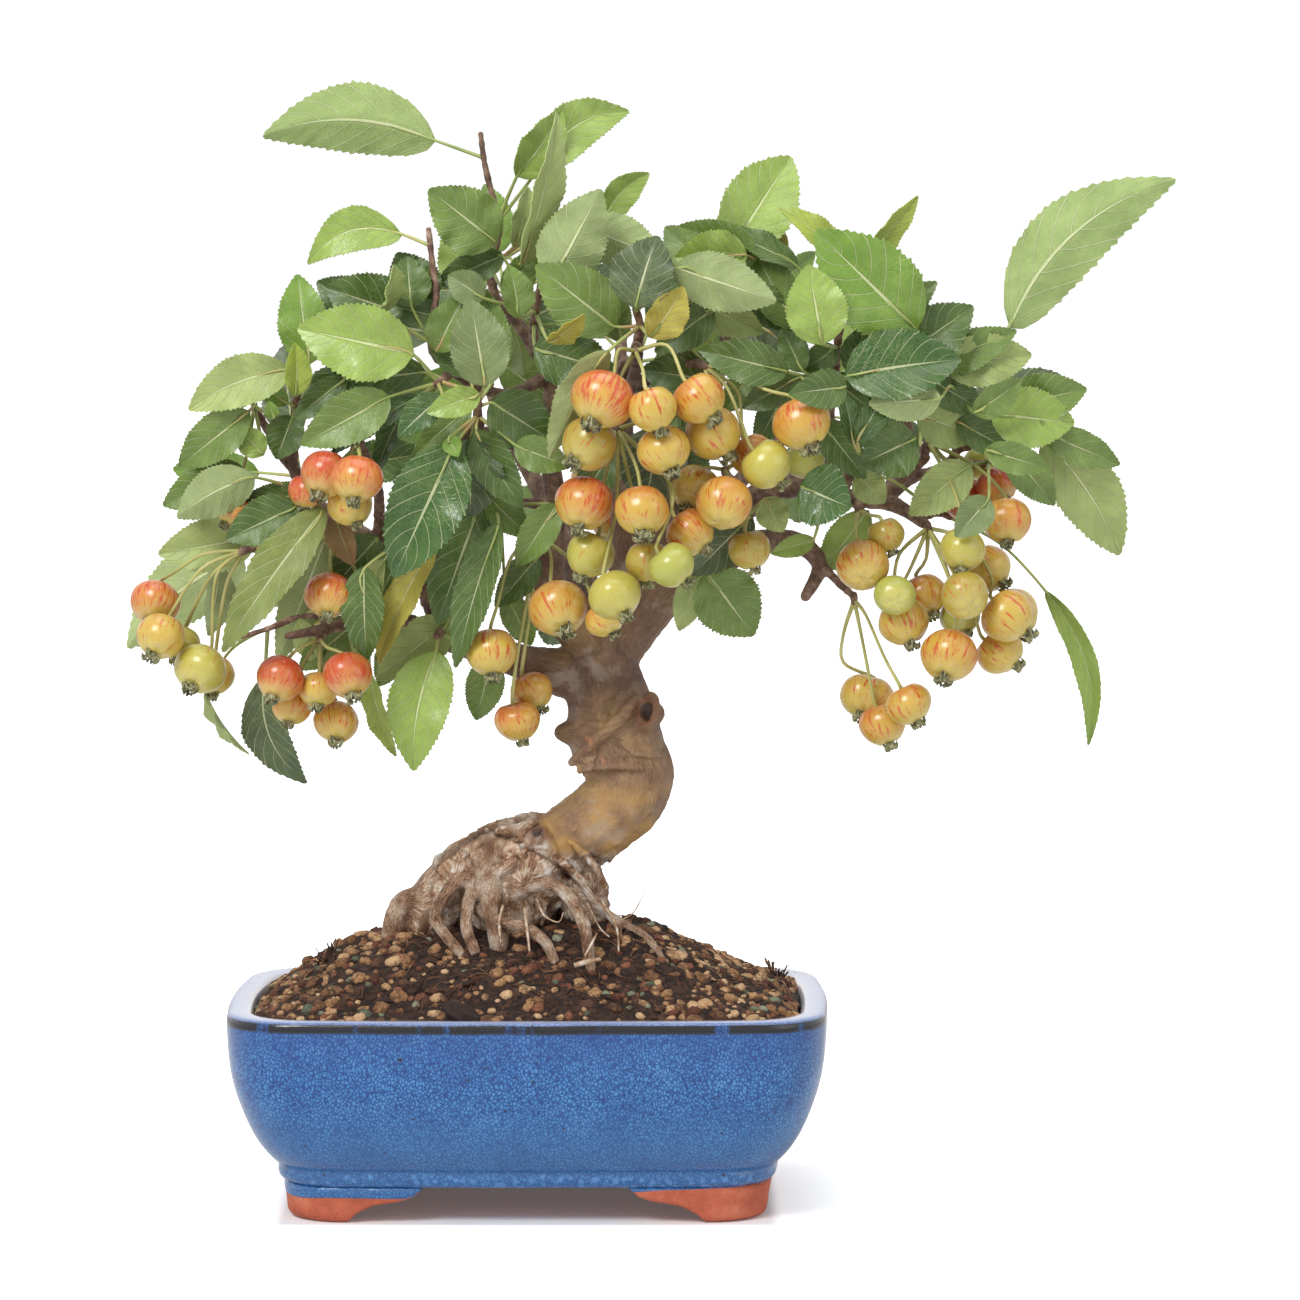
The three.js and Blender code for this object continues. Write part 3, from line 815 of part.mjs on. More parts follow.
const nodes = new Map(); // name of a bunch or spray -> its solids
function plant(name, stem) {
  nodes.set(name, [stemSolid(stem)]);
  grown.push({ owner: name, outer: stemSolid(stem), core: null });
}
[...BUNCHES, ...SPRAYS].forEach(({ name, stem }) => plant(name, stem));
BACK_SPRAYS.forEach(([name, stem]) => plant(name, stem));

// Grows the first of the candidate pieces that is clear of all the others.
const crowded = [];
function grow(name, candidates, label) {
  const found = candidates.find((make) => isClear({ owner: name, ...make() }));
  if (!found) crowded.push(label);
  const { whole, outer, core } = (found ?? candidates[0])();
  nodes.get(name).push(whole);
  grown.push({ owner: name, outer, core });
}

BUNCHES.forEach(({ name, stem, fruits }) => {
  const root = rootingPath(stem)[stem.length - 1];
  fruits.forEach((row, i) => {
    const candidates = FRUIT_STEPS.map((step) => () => makeFruit(row, root, step));
    grow(name, candidates, `${name} fruit ${i}`);
  });
});

function growLeaf(name, stemPath, row, depth, label) {
  const [baseX, baseZ, tipX, tipZ, width, , lean, roll, face, sweep = 0] = row;
  const candidates = SETBACKS.flatMap((back) => LEANS.map((extra) => () => {
    const y = depth + back;
    const base = seen(baseX, baseZ, y);
    const tip = seen(tipX, tipZ, y + lean + extra);
    return makeLeaf(base, tip, width, roll, face, sweep, stalkRoot(stemPath, base));
  }));
  grow(name, candidates, label);
}

SPRAYS.forEach(({ name, stem, leaves }) => {
  const stemPath = rootingPath(stem);
  leaves.forEach((row, i) => {
    const [baseX, baseZ, tipX, tipZ, , set] = row;
    const depth = crownFront((baseX + tipX) / 2, (baseZ + tipZ) / 2) + set;
    growLeaf(name, stemPath, row, depth, `${name} leaf ${i}`);
  });
});
BACK_SPRAYS.forEach((spray, order) => {
  const [name, stem] = spray;
  const stemPath = rootingPath(stem);
  fanLeaves(spray, order).forEach((row, i) => {
    const depth = row[5];
    growLeaf(name, stemPath, row, depth, `${name} leaf ${i}`);
  });
});
if (crowded.length > 0) console.warn('no clear place:', crowded.join(', '));

// ---- The part ------------------------------------------------------------------------------------

const tree = new THREE.Group();
function addPart(name, solid, look) {
  const { vertProperties, triVerts } = solid.getMesh();
  const geometry = new THREE.BufferGeometry();
  geometry.setAttribute('position', new THREE.BufferAttribute(new Float32Array(vertProperties), 3));
  geometry.setIndex(Array.from(triVerts));
  geometry.computeVertexNormals();
  const mesh = new THREE.Mesh(geometry, new THREE.MeshStandardMaterial(LOOKS[look]));
  mesh.name = name;
  tree.add(mesh);
}

addPart('pot', makePot(), 'glaze');
addPart('drain_screen_left', makeScreen(-DRAIN_X), 'plastic');
addPart('drain_screen_right', makeScreen(DRAIN_X), 'plastic');
addPart('soil', makeSoil(woodRoom, [-DRAIN_X, DRAIN_X]), 'soil');
addPart('wood', wood, 'bark');
const bunchNames = new Set(BUNCHES.map(({ name }) => name));
nodes.forEach((solids, name) => {
  const solid = largest(join(solids).subtract(woodRoom));
  addPart(name, solid, bunchNames.has(name) ? 'fruit' : 'leaf');
});

// The part's box stands on z = 0 with its middle on the Z axis.
const box = new THREE.Box3().setFromObject(tree);
const middle = box.getCenter(new THREE.Vector3());
tree.position.set(-middle.x, -middle.y, -box.min.z);
tree.updateMatrixWorld(true);

export default tree;
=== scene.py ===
"""Crabapple bonsai in its glazed pot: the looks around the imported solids.

Metres, +Z up, the front faces -Y. The sections follow the object as it is put together: pot, drain
screens, soil, woody tree, fruit bunches and leafy sprays, then the floor, the light and the camera.
"""

import math
import random

import bmesh
import bpy
from mathutils import Matrix, Vector, kdtree, noise


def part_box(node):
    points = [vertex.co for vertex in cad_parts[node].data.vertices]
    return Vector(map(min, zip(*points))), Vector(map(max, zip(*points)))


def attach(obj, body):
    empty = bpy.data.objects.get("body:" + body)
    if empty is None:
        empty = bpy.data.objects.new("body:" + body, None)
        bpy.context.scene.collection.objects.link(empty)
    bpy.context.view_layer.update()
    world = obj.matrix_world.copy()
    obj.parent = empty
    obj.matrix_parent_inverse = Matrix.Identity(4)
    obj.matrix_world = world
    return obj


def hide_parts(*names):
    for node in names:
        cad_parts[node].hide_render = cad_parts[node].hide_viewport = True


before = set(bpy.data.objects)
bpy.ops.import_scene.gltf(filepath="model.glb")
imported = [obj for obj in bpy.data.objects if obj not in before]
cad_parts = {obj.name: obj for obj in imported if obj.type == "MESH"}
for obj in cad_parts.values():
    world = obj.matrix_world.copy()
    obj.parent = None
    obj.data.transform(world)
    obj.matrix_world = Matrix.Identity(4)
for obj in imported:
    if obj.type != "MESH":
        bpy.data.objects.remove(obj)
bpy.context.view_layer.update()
MM = 0.001

# ---- Pot -----------------------------------------------------------------------------------------
# One piece of fired red clay: a rectangular bowl with bowed walls and a broad lip, on a low skirt that
# is cut back by arches to four bracket feet. A mottled blue glaze is poured over it and stops at the feet.
POT_LOW, POT_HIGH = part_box("pot")
POT_MIDDLE = (POT_LOW + POT_HIGH) / 2
POT_HALF = (POT_HIGH - POT_LOW) / 2
POT_CORNER = 30 * MM
POT_BOW = 1.7 * MM
CORNER_CUTS = 8
WALL_CUTS = 7
# [height, inset from the rim's outer edge], up the outside, over the lip and down to the floor inside.
POT_PROFILE = [
    (14, 24.5), (15, 22.4), (16.5, 20.8), (18.6, 20), (20.3, 20.1), (21.3, 20.9), (22.3, 19.6), (24, 17.9),
    (26.5, 15.6), (30, 13), (34.3, 10.4), (39.3, 8.1), (44.3, 6.1), (49.4, 4.3), (54.3, 2.8), (59.3, 1.7),
    (64.2, 1), (71, 0.4), (78, 0.1), (82.5, -0.1), (84.2, 0.5), (85, 2), (85.1, 5), (84.9, 8.6), (83.8, 10.4),
    (81, 11), (63, 12.5), (48, 17), (36, 22), (27, 28), (24, 34),
]
FOOT_PROFILE = [(0, 26.6), (1, 24.7), (3, 23.7), (8, 23.4), (11, 22.8), (14, 22.3), (16, 24.5)]
FOOT_SKIRT = 13
FLOOR_HEIGHT = 24
# Half of the arch between two feet, as [height, distance from the middle], for the long and short sides.
ARCH = [(-1, 0), (3.5, 4), (7, 11), (9, 23), (11, 28), (15, 32)]
ARCH_HALF_LONG = 73
ARCH_HALF_SHORT = 43
FOOT_INSET = 24
DRAIN_X = 46 * MM
DRAIN_RADIUS = 8 * MM
SKIRT_TOP = 25.5 * MM  # the bare faces under the pot lie below this
FOOT_TOP = 13.5 * MM
BARE_INSET = 33 * MM
FEET_CELL = 1.1 * MM
LIP_ZONE = 60 * MM  # the rim is above this


def clamp(value, low=0.0, high=1.0):
    return min(high, max(low, value))


def deselect_all():
    if bpy.context.mode != "OBJECT":
        bpy.ops.object.mode_set(mode="OBJECT")
    bpy.ops.object.select_all(action="DESELECT")


def work_on(piece, *others):
    """Makes piece the active object, with the others selected beside it."""
    deselect_all()
    for chosen in (piece, *others):
        chosen.select_set(True)
    bpy.context.view_layer.objects.active = piece


def placed(name, data):
    """A new object of the scene with this data."""
    made = bpy.data.objects.new(name, data)
    bpy.context.scene.collection.objects.link(made)
    return made


def dress(piece, *materials):
    """Gives the piece these materials and no others."""
    piece.data.materials.clear()
    for material in materials:
        piece.data.materials.append(material)


def pick_edges(block, wanted):
    """Selects the edges of the mesh in edit mode whose two ends answer the question wanted(a, b)."""
    shape = bmesh.from_edit_mesh(block.data)
    for edge in shape.edges:
        edge.select_set(False)
    for edge in shape.edges:
        if wanted(edge.verts[0].co, edge.verts[1].co):
            edge.select_set(True)
    bmesh.update_edit_mesh(block.data)


def pick_top(block):
    """Selects the faces of the mesh in edit mode that look up."""
    bpy.ops.mesh.select_mode(type="FACE")
    shape = bmesh.from_edit_mesh(block.data)
    for face in shape.faces:
        face.select_set(face.normal.z > 0.9)
    bmesh.update_edit_mesh(block.data)


def stack(name, stations, corner=0.0, bow=0.0):
    """A closed block drawn up through (height, half width, half depth) stations, round the pot's middle."""
    (low, half_x, half_y), (next_z, next_x, next_y) = stations[:2]
    deselect_all()
    middle = (POT_MIDDLE.x, POT_MIDDLE.y, (low + next_z) / 2)
    scale = (half_x - bow, half_y - bow, (next_z - low) / 2)
    bpy.ops.mesh.primitive_cube_add(size=2, location=middle, scale=scale)
    block = bpy.context.object
    block.name = name
    bpy.ops.object.transform_apply()
    bpy.ops.object.mode_set(mode="EDIT")
    bpy.ops.mesh.select_mode(type="EDGE")
    if corner > 0:
        pick_edges(block, lambda a, b: (a.xy - b.xy).length < 0.1 * MM)
        bpy.ops.mesh.bevel(offset=corner, segments=CORNER_CUTS, affect="EDGES")
        pick_edges(block, lambda a, b: (a - b).length > 2 * corner)
        bpy.ops.mesh.subdivide(number_cuts=WALL_CUTS)
        flat_x, flat_y = half_x - bow - corner, half_y - bow - corner
        shape = bmesh.from_edit_mesh(block.data)
        for vert in shape.verts:
            across = vert.co - POT_MIDDLE
            if abs(across.x) < flat_x:
                vert.co.y += math.copysign(bow, across.y) * math.cos(math.pi / 2 * across.x / flat_x)
            elif abs(across.y) < flat_y:
                vert.co.x += math.copysign(bow, across.x) * math.cos(math.pi / 2 * across.y / flat_y)
        bmesh.update_edit_mesh(block.data)
    pick_top(block)
    step = (next_x / half_x, next_y / half_y, 1)
    bpy.ops.transform.resize(value=step, center_override=(POT_MIDDLE.x, POT_MIDDLE.y, next_z))
    for (z, x, y), (upper_z, upper_x, upper_y) in zip(stations[1:], stations[2:]):
        bpy.ops.mesh.extrude_region_move(TRANSFORM_OT_translate={"value": (0, 0, upper_z - z)})
        step = (upper_x / x, upper_y / y, 1)
        bpy.ops.transform.resize(value=step, center_override=(POT_MIDDLE.x, POT_MIDDLE.y, upper_z))
    bpy.ops.mesh.select_all(action="SELECT")
    bpy.ops.mesh.normals_make_consistent(inside=False)
    bpy.ops.object.mode_set(mode="OBJECT")
    return block


def profile_stations(profile):
    return [(z * MM, POT_HALF.x - inset * MM, POT_HALF.y - inset * MM) for z, inset in profile]


def apply_modifier(piece, kind, **settings):
    work_on(piece)
    modifier = piece.modifiers.new(kind.lower(), kind)
    for key, value in settings.items():
        setattr(modifier, key, value)
    bpy.ops.object.modifier_apply(modifier=modifier.name)


def cut_or_join(piece, other, operation):
    """Joins other to piece or cuts it away, and removes it."""
    apply_modifier(piece, "BOOLEAN", object=other, operation=operation, solver="EXACT")
    bpy.data.objects.remove(other)


def arch(name, half, along_x):
    """The space under one pair of sides, as long as the pot and wider than it."""
    beyond = 2 * POT_HALF.x
    outline = [(z * MM, (half - rim_reflection_share) * MM) for z, rim_reflection_share in ARCH]
    return stack(name, [(z, x, beyond) if along_x else (z, beyond, x) for z, x in outline])


bowl = stack("glazed_pot", profile_stations(POT_PROFILE), POT_CORNER * 0.8, POT_BOW)
apply_modifier(bowl, "SUBSURF", levels=1, render_levels=1)
feet = stack("feet", profile_stations(FOOT_PROFILE), POT_CORNER * 0.75, POT_BOW)
hollow_inset = (FOOT_INSET + FOOT_SKIRT) * MM
hollow_half = (POT_HALF.x - hollow_inset, POT_HALF.y - hollow_inset)
hollow = stack("hollow", [(-MM, *hollow_half), (14 * MM, *hollow_half)], POT_CORNER * 0.5)
cut_or_join(feet, hollow, "DIFFERENCE")
cut_or_join(feet, arch("front_arch", ARCH_HALF_LONG, True), "DIFFERENCE")
cut_or_join(feet, arch("side_arch", ARCH_HALF_SHORT, False), "DIFFERENCE")
apply_modifier(feet, "REMESH", mode="VOXEL", voxel_size=FEET_CELL)
apply_modifier(feet, "SMOOTH", factor=0.5, iterations=6)
cut_or_join(bowl, feet, "UNION")
for drain_x in (-DRAIN_X, DRAIN_X):
    deselect_all()
    bpy.ops.mesh.primitive_cylinder_add(
        vertices=32, radius=DRAIN_RADIUS, depth=2 * FLOOR_HEIGHT * MM,
        location=(POT_MIDDLE.x + drain_x, POT_MIDDLE.y, FLOOR_HEIGHT * MM))
    bpy.ops.object.transform_apply()
    cut_or_join(bowl, bpy.context.object, "DIFFERENCE")
work_on(bowl)
bpy.ops.object.shade_smooth_by_angle(angle=math.radians(50))


def rgb(red, green, blue):
    """A colour given as 0 to 255 on the screen, as Blender's linear values."""
    values = [channel / 255 for channel in (red, green, blue)]
    return (*[v / 12.92 if v <= 0.04045 else ((v + 0.055) / 1.055) ** 2.4 for v in values], 1.0)


def node(tree, kind, inputs=(), **settings):
    """Adds a shader node. Inputs holds what goes in by socket: a number, a colour or another's output."""
    made = tree.nodes.new("ShaderNode" + kind)
    for key, value in settings.items():
        setattr(made, key, value)
    for key, value in dict(inputs).items():
        if isinstance(value, bpy.types.NodeSocket):
            tree.links.new(value, made.inputs[key])
        else:
            made.inputs[key].default_value = value
    return made


def calc(tree, operation, *values):
    return node(tree, "Math", dict(enumerate(values)), operation=operation).outputs[0]


def times(tree, first, second, more=None):
    """The product of two values, with more added to it."""
    if more is None:
        return calc(tree, "MULTIPLY", first, second)
    return calc(tree, "MULTIPLY_ADD", first, second, more)


def mix(tree, share, first, second):
    return node(tree, "Mix", {0: share, 6: first, 7: second}, data_type="RGBA").outputs[2]


def layered(tree, colour, *coats):
    """The colour under coats of (share, red, green, blue), laid one over the other."""
    for share, *coat in coats:
        colour = mix(tree, share, colour, rgb(*coat))
    return colour


def ramp(tree, factor, stops):
    """A colour ramp through (place, red, green, blue) stops."""
    made = node(tree, "ValToRGB", {0: factor})
    elements = made.color_ramp.elements
    while len(elements) < len(stops):
        elements.new(1.0)
    for element, (place, *colour) in zip(elements, stops):
        element.position = place
        element.color = rgb(*colour)
    return made.outputs[0]


def step_up(tree, value, low, high):
    """0 below low, 1 above high, and smooth between."""
    inputs = {"Value": value, "From Min": low, "From Max": high}
    return node(tree, "MapRange", inputs, interpolation_type="SMOOTHSTEP").outputs[0]


def noise_at(tree, coords, scale, detail=3.0, roughness=0.55, distortion=0.0):
    inputs = {"Vector": coords, "Scale": scale, "Detail": detail, "Roughness": roughness,
              "Distortion": distortion}
    return node(tree, "TexNoise", inputs).outputs["Fac"]


def cells_at(tree, coords, scale, feature="F1"):
    """The distance to the middle or to the edge of cells of about 1 / scale."""
    inputs = {"Vector": coords, "Scale": scale}
    return node(tree, "TexVoronoi", inputs, feature=feature).outputs["Distance"]


def component(tree, vector, axis):
    return node(tree, "SeparateXYZ", {0: vector}).outputs[axis]


def stretched(tree, coords, x, y, z):
    return node(tree, "Mapping", {"Vector": coords, "Scale": (x, y, z)}).outputs[0]


def finish(name, roughness=0.5, **sockets):
    """A new material: its node tree, its Principled shader and its object coordinates."""
    material = bpy.data.materials.new(name)
    material.use_nodes = True
    tree = material.node_tree
    shader = tree.nodes["Principled BSDF"]
    shader.inputs["Roughness"].default_value = roughness
    for key, value in sockets.items():
        shader.inputs[key.replace("_", " ")].default_value = value
    return material, tree, shader, node(tree, "TexCoord").outputs["Object"]


def own_field(tree, name, output="Fac"):
    """A value that each point of the piece carries by this name."""
    return node(tree, "Attribute", attribute_name=name).outputs[output]


def coloured(tree, shader, colour):
    tree.links.new(colour, shader.inputs["Base Color"])


def bumped(tree, shader, height, distance, strength=1.0):
    inputs = {"Height": height, "Distance": distance, "Strength": strength}
    tree.links.new(node(tree, "Bump", inputs).outputs[0], shader.inputs["Normal"])


def one_tone(name, roughness, scale, stops, relief, detail=3, harsh=0.55):
    """A material with its colours and its relief, in mm, both from a single noise."""
    material, tree, shader, where = finish(name, roughness)
    tone = noise_at(tree, where, scale, detail, harsh)
    coloured(tree, shader, ramp(tree, tone, stops))
    bumped(tree, shader, tone, relief * MM)
    return material


def group(name, outputs):
    """A shader node group that takes coordinates: its tree, those coordinates and its output node."""
    tree = bpy.data.node_groups.new(name, "ShaderNodeTree")
    tree.interface.new_socket("Coordinates", in_out="INPUT", socket_type="NodeSocketVector")
    for socket, kind in outputs.items():
        tree.interface.new_socket(socket, in_out="OUTPUT", socket_type="NodeSocket" + kind)
    return tree, tree.nodes.new("NodeGroupInput").outputs[0], tree.nodes.new("NodeGroupOutput")


def put_out(tree, output, **values):
    for name, value in values.items():
        tree.links.new(value, output.inputs[name])


def use_group(tree, shared, coords):
    return node(tree, "Group", {"Coordinates": coords}, node_tree=shared).outputs


def point_values(piece, name, values):
    """Gives each point of the piece its own value of a named attribute."""
    piece.data.attributes.new(name, "FLOAT", "POINT").data.foreach_set("value", values)


# Bare fired clay, used under the glaze's edge and on the soles: orange red, sandy, with dark grit.
tree, where, clay_out = group("fired_clay", {"Colour": "Color", "Height": "Float"})
clay_stops = [(0.3, 170, 82, 54), (0.55, 194, 98, 68), (0.75, 208, 122, 90)]
clay_base = ramp(tree, noise_at(tree, where, 90, 4), clay_stops)
clay_grit = noise_at(tree, where, 1100, 2)
clay_colour = mix(tree, step_up(tree, clay_grit, 0.66, 0.72), clay_base, rgb(96, 44, 28))
put_out(tree, clay_out, Colour=clay_colour, Height=clay_grit)
fired_clay = tree

# The glaze broke into fine cells as it cooled: paler in each cell, dark in the net between them.
GLAZE_CELL = 1.25 * MM
LINE_LOW, LINE_HIGH = 80.5 * MM, 84.0 * MM  # the dark line where it ran thin under the lip
glaze, tree, shader, where = finish("blue_glaze", 0.14, Coat_Weight=0.2, Coat_Roughness=0.05)
height = component(tree, where, 2)
wander = node(tree, "TexNoise", {"Vector": where, "Scale": 420.0, "Detail": 2.0}).outputs["Color"]
pull = node(tree, "VectorMath", {0: wander, 3: 1.6 * MM}, operation="SCALE").outputs[0]
flattened = stretched(tree, where, 1.0, 1.0, 0.72)
strayed = node(tree, "VectorMath", {0: flattened, 1: pull}, operation="ADD").outputs[0]
cell = step_up(tree, cells_at(tree, strayed, 1 / GLAZE_CELL, "DISTANCE_TO_EDGE"), 0.02, 0.22)
depth = noise_at(tree, where, 55, 4, 0.6)
fine = noise_at(tree, where, 1500, 2, 0.6)
pale = times(tree, cell, 0.55, times(tree, depth, 0.4, times(tree, fine, 0.2)))
blues = [(0.27, 8, 56, 122), (0.5, 20, 84, 150), (0.78, 46, 114, 176), (0.96, 86, 148, 198)]
lower = times(tree, step_up(tree, height, 58 * MM, 30 * MM), 0.45)
under_lip = times(tree, step_up(tree, height, 60 * MM, 81 * MM), 0.4)
# Beads of it hang in a band along the skirt.
wave = times(tree, noise_at(tree, where, 40, 1), 5 * MM, height)
bead_top = step_up(tree, wave, 23.5 * MM, 21.5 * MM)
bead_band = times(tree, step_up(tree, wave, 16 * MM, 18 * MM), bead_top)
beads = step_up(tree, cells_at(tree, where, 330.0, "SMOOTH_F1"), 0.42, 0.2)
bead_mask = times(tree, times(tree, bead_band, beads), 0.55)
# Under the lip it ran thin and dark.
edge_low = calc(tree, "SUBTRACT", height, 0.6 * MM)
edge_height = times(tree, noise_at(tree, where, 30, 2), 1.2 * MM, edge_low)
above_line = step_up(tree, edge_height, LINE_HIGH - 0.5 * MM, LINE_HIGH + 0.5 * MM)
on_line = step_up(tree, edge_height, LINE_LOW - 0.7 * MM, LINE_LOW + 0.4 * MM)
streaked = stretched(tree, where, 1.0, 1.0, 0.2)
run_over = step_up(tree, noise_at(tree, streaked, 75, 3, 0.6), 0.58, 0.7)
# Painted highlight: above the dark line the lip is blue broken by pale lavender highlights.
lip_blue_and_highlight = mix(tree, step_up(tree, fine, 0.35, 0.7), rgb(78, 110, 176), rgb(150, 172, 216))
# Painted reflection: where the rim faces up or in, it is painted nearly white.
rim_painted_reflection = own_field(tree, "rim_painted_reflection")
lip_blue_and_highlight = mix(tree, rim_painted_reflection, lip_blue_and_highlight, rgb(240, 240, 252))
dark_line = times(tree, on_line, times(tree, run_over, -0.7, 1.0))
mottle = layered(tree, ramp(tree, pale, blues), (lower, 58, 108, 158), (under_lip, 14, 60, 132),
                 (bead_mask, 98, 150, 210), (dark_line, 8, 9, 20))
mottle = mix(tree, calc(tree, "MAXIMUM", above_line, rim_painted_reflection), mottle, lip_blue_and_highlight)
specks = step_up(tree, noise_at(tree, where, 320, 1), 0.77, 0.79)
mottle = mix(tree, specks, mottle, rgb(24, 22, 30))
# Its lower edge runs across the feet, higher to the right.
across = calc(tree, "SUBTRACT", component(tree, where, 0), POT_MIDDLE.x)
bare_edge = times(tree, noise_at(tree, where, 16, 2), -6 * MM, times(tree, across, -0.026, height))
bare = step_up(tree, bare_edge, 9.3 * MM, 8.9 * MM)
clay = use_group(tree, fired_clay, where)
coloured(tree, shader, mix(tree, bare, mottle, clay["Colour"]))
tree.links.new(times(tree, bare, 0.6, 0.12), shader.inputs["Roughness"])
tree.links.new(times(tree, bare, -0.2, 0.2), shader.inputs["Coat Weight"])
relief = times(tree, cell, 0.12, times(tree, bare, -1.0))
swell = times(tree, noise_at(tree, where, 60, 2), 0.5)
bumped(tree, shader, calc(tree, "ADD", relief, swell), 0.2 * MM)

sole_clay, tree, shader, where = finish("bare_clay", 0.8)
clay = use_group(tree, fired_clay, where)
coloured(tree, shader, clay["Colour"])
bumped(tree, shader, clay["Height"], 0.2 * MM)
dress(bowl, glaze, sole_clay)
for face in bowl.data.polygons:
    off = face.center - POT_MIDDLE
    inside_skirt = abs(off.x) < POT_HALF.x - BARE_INSET and abs(off.y) < POT_HALF.y - BARE_INSET
    under = face.normal.z < -0.7 and face.center.z < FOOT_TOP
    face.material_index = 1 if face.center.z < SKIRT_TOP and (under or inside_skirt) else 0
# Painted reflection: the top and the inside of the rim, which face up and in towards the white surround, are
# painted nearly white.
rim_reflection_share = []
for vert in bowl.data.vertices:
    off = vert.co - POT_MIDDLE
    out = Vector((off.x, off.y * POT_HALF.x / POT_HALF.y, 0)).normalized()
    turned_in = clamp(0.45 * vert.normal.z - vert.normal.dot(out))
    rim_reflection_share.append(turned_in if vert.co.z > LIP_ZONE else 0.0)
point_values(bowl, "rim_painted_reflection", rim_reflection_share)
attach(bowl, "root")
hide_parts("pot")

# ---- Drain screens ----------------------------------------------------------------------------------
# Two squares of black plastic mesh laid over the drain holes before the pot is filled. They keep the
# soil in and let the water out.
SCREEN_CELLS = 9
screen_plastic = one_tone("screen_plastic", 0.55, 260, [(0.35, 22, 22, 23), (0.7, 58, 56, 54)], 0.1)
for side in ("left", "right"):
    low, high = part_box("drain_screen_" + side)
    deselect_all()
    strand = high.z - low.z
    bpy.ops.mesh.primitive_grid_add(
        x_subdivisions=SCREEN_CELLS, y_subdivisions=SCREEN_CELLS,
        size=high.x - low.x - strand, location=(low + high) / 2)
    bpy.ops.object.transform_apply()
    screen = bpy.context.object
    screen.name = f"mesh_screen_{side}"
    apply_modifier(screen, "WIREFRAME", thickness=strand * 0.8, use_even_offset=False)
    dress(screen, screen_plastic)
    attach(screen, "root")
    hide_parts("drain_screen_" + side)

# ---- Soil ------------------------------------------------------------------------------------------
# A packed mound of bonsai mix, heaped round the roots and level with the rim at its edge. The bed is dark
# peat and bark dust. Loose grains of pumice, bark, red lava and green zeolite lie pressed into it.
BED_CELL = 2.2 * MM
RIM_WIDTH = 12.5 * MM
RIM_INNER = (POT_HALF.x - RIM_WIDTH, POT_HALF.y - RIM_WIDTH)
RIM_CORNER = 22 * MM
random.seed(11)

bed = placed("soil_bed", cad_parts["soil"].data.copy())
work_on(bed)
bpy.ops.object.mode_set(mode="EDIT")
bpy.ops.mesh.select_all(action="SELECT")
bpy.ops.mesh.remove_doubles(threshold=0.01 * MM)
bpy.ops.object.mode_set(mode="OBJECT")
apply_modifier(bed, "REMESH", mode="VOXEL", voxel_size=BED_CELL)
loose = bed.vertex_groups.new(name="loose")
for vert in bed.data.vertices:
    off = vert.co - POT_MIDDLE
    edge_room = min(RIM_INNER[0] - abs(off.x), RIM_INNER[1] - abs(off.y))
    if vert.co.z > POT_HIGH.z - 3 * MM:
        loose.add([vert.index], clamp(edge_room / (6 * MM)), "REPLACE")
for crumb_size, crumb_height in ((9, 3.0), (3.5, 2.2)):
    crumbs = bpy.data.textures.new("crumbs", "CLOUDS")
    crumbs.noise_scale = crumb_size * MM
    crumbs.noise_depth = 2
    height = crumb_height * MM
    apply_modifier(bed, "DISPLACE", texture=crumbs, strength=height, mid_level=0.72, vertex_group="loose")

peat_stops = [(0.32, 20, 12, 9), (0.5, 44, 28, 21), (0.66, 76, 50, 36), (0.78, 116, 84, 60)]
peat = one_tone("peat_bed", 0.95, 420, peat_stops, 1.2, 4, 0.65)
dress(bed, peat)
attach(bed, "root")
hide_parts("soil")

# Kinds of grain: how many, least and most radius in mm, how flat, and the colours across a grain.
GRAINS = {
    "pumice": (1300, 1.0, 3.3, 0.8, [(0.3, 84, 54, 36), (0.48, 142, 102, 68), (0.62, 180, 140, 100),
                                     (0.8, 216, 182, 142)]),
    "bark_chips": (1700, 0.8, 3.0, 0.5, [(0.3, 26, 16, 12), (0.55, 58, 37, 27), (0.8, 96, 64, 46)]),
    "lava": (300, 1.2, 2.9, 0.8, [(0.3, 58, 28, 20), (0.55, 104, 60, 42), (0.8, 142, 92, 68)]),
    "zeolite": (150, 1.2, 2.9, 0.6, [(0.3, 66, 72, 56), (0.55, 112, 120, 96), (0.8, 156, 160, 134)]),
}
PEAT_REACH = (30, 95)  # round the trunk: mostly peat and bark within the first, all kinds past the second
BIG_CHIP = (-25, -70, 9)  # the largest flake of bark, on the front slope: x, y, half length in mm
GRAIN_SHAPES = 4  # of each kind
GRID = 4 * MM
TRIES = 6
BED_EDGE = POT_HIGH.z - 8 * MM  # no grain lies lower than this


def grain_shapes(name, flat):
    """A few rough grains of radius 1, each a knocked-about cube of two dozen faces."""
    shapes = []
    for number in range(GRAIN_SHAPES):
        deselect_all()
        bpy.ops.mesh.primitive_cube_add(size=1.3)
        grain = bpy.context.object
        bpy.ops.object.mode_set(mode="EDIT")
        bpy.ops.mesh.subdivide(number_cuts=1, smoothness=1.0)
        bpy.ops.transform.vertex_random(offset=0.26, seed=number + 5 * len(name))
        bpy.ops.transform.resize(value=(1.15, 0.95, flat))
        bpy.ops.object.mode_set(mode="OBJECT")
        faces = [tuple(face.vertices) for face in grain.data.polygons]
        shapes.append(([vert.co.copy() for vert in grain.data.vertices], faces))
        bpy.data.objects.remove(grain)
    return shapes


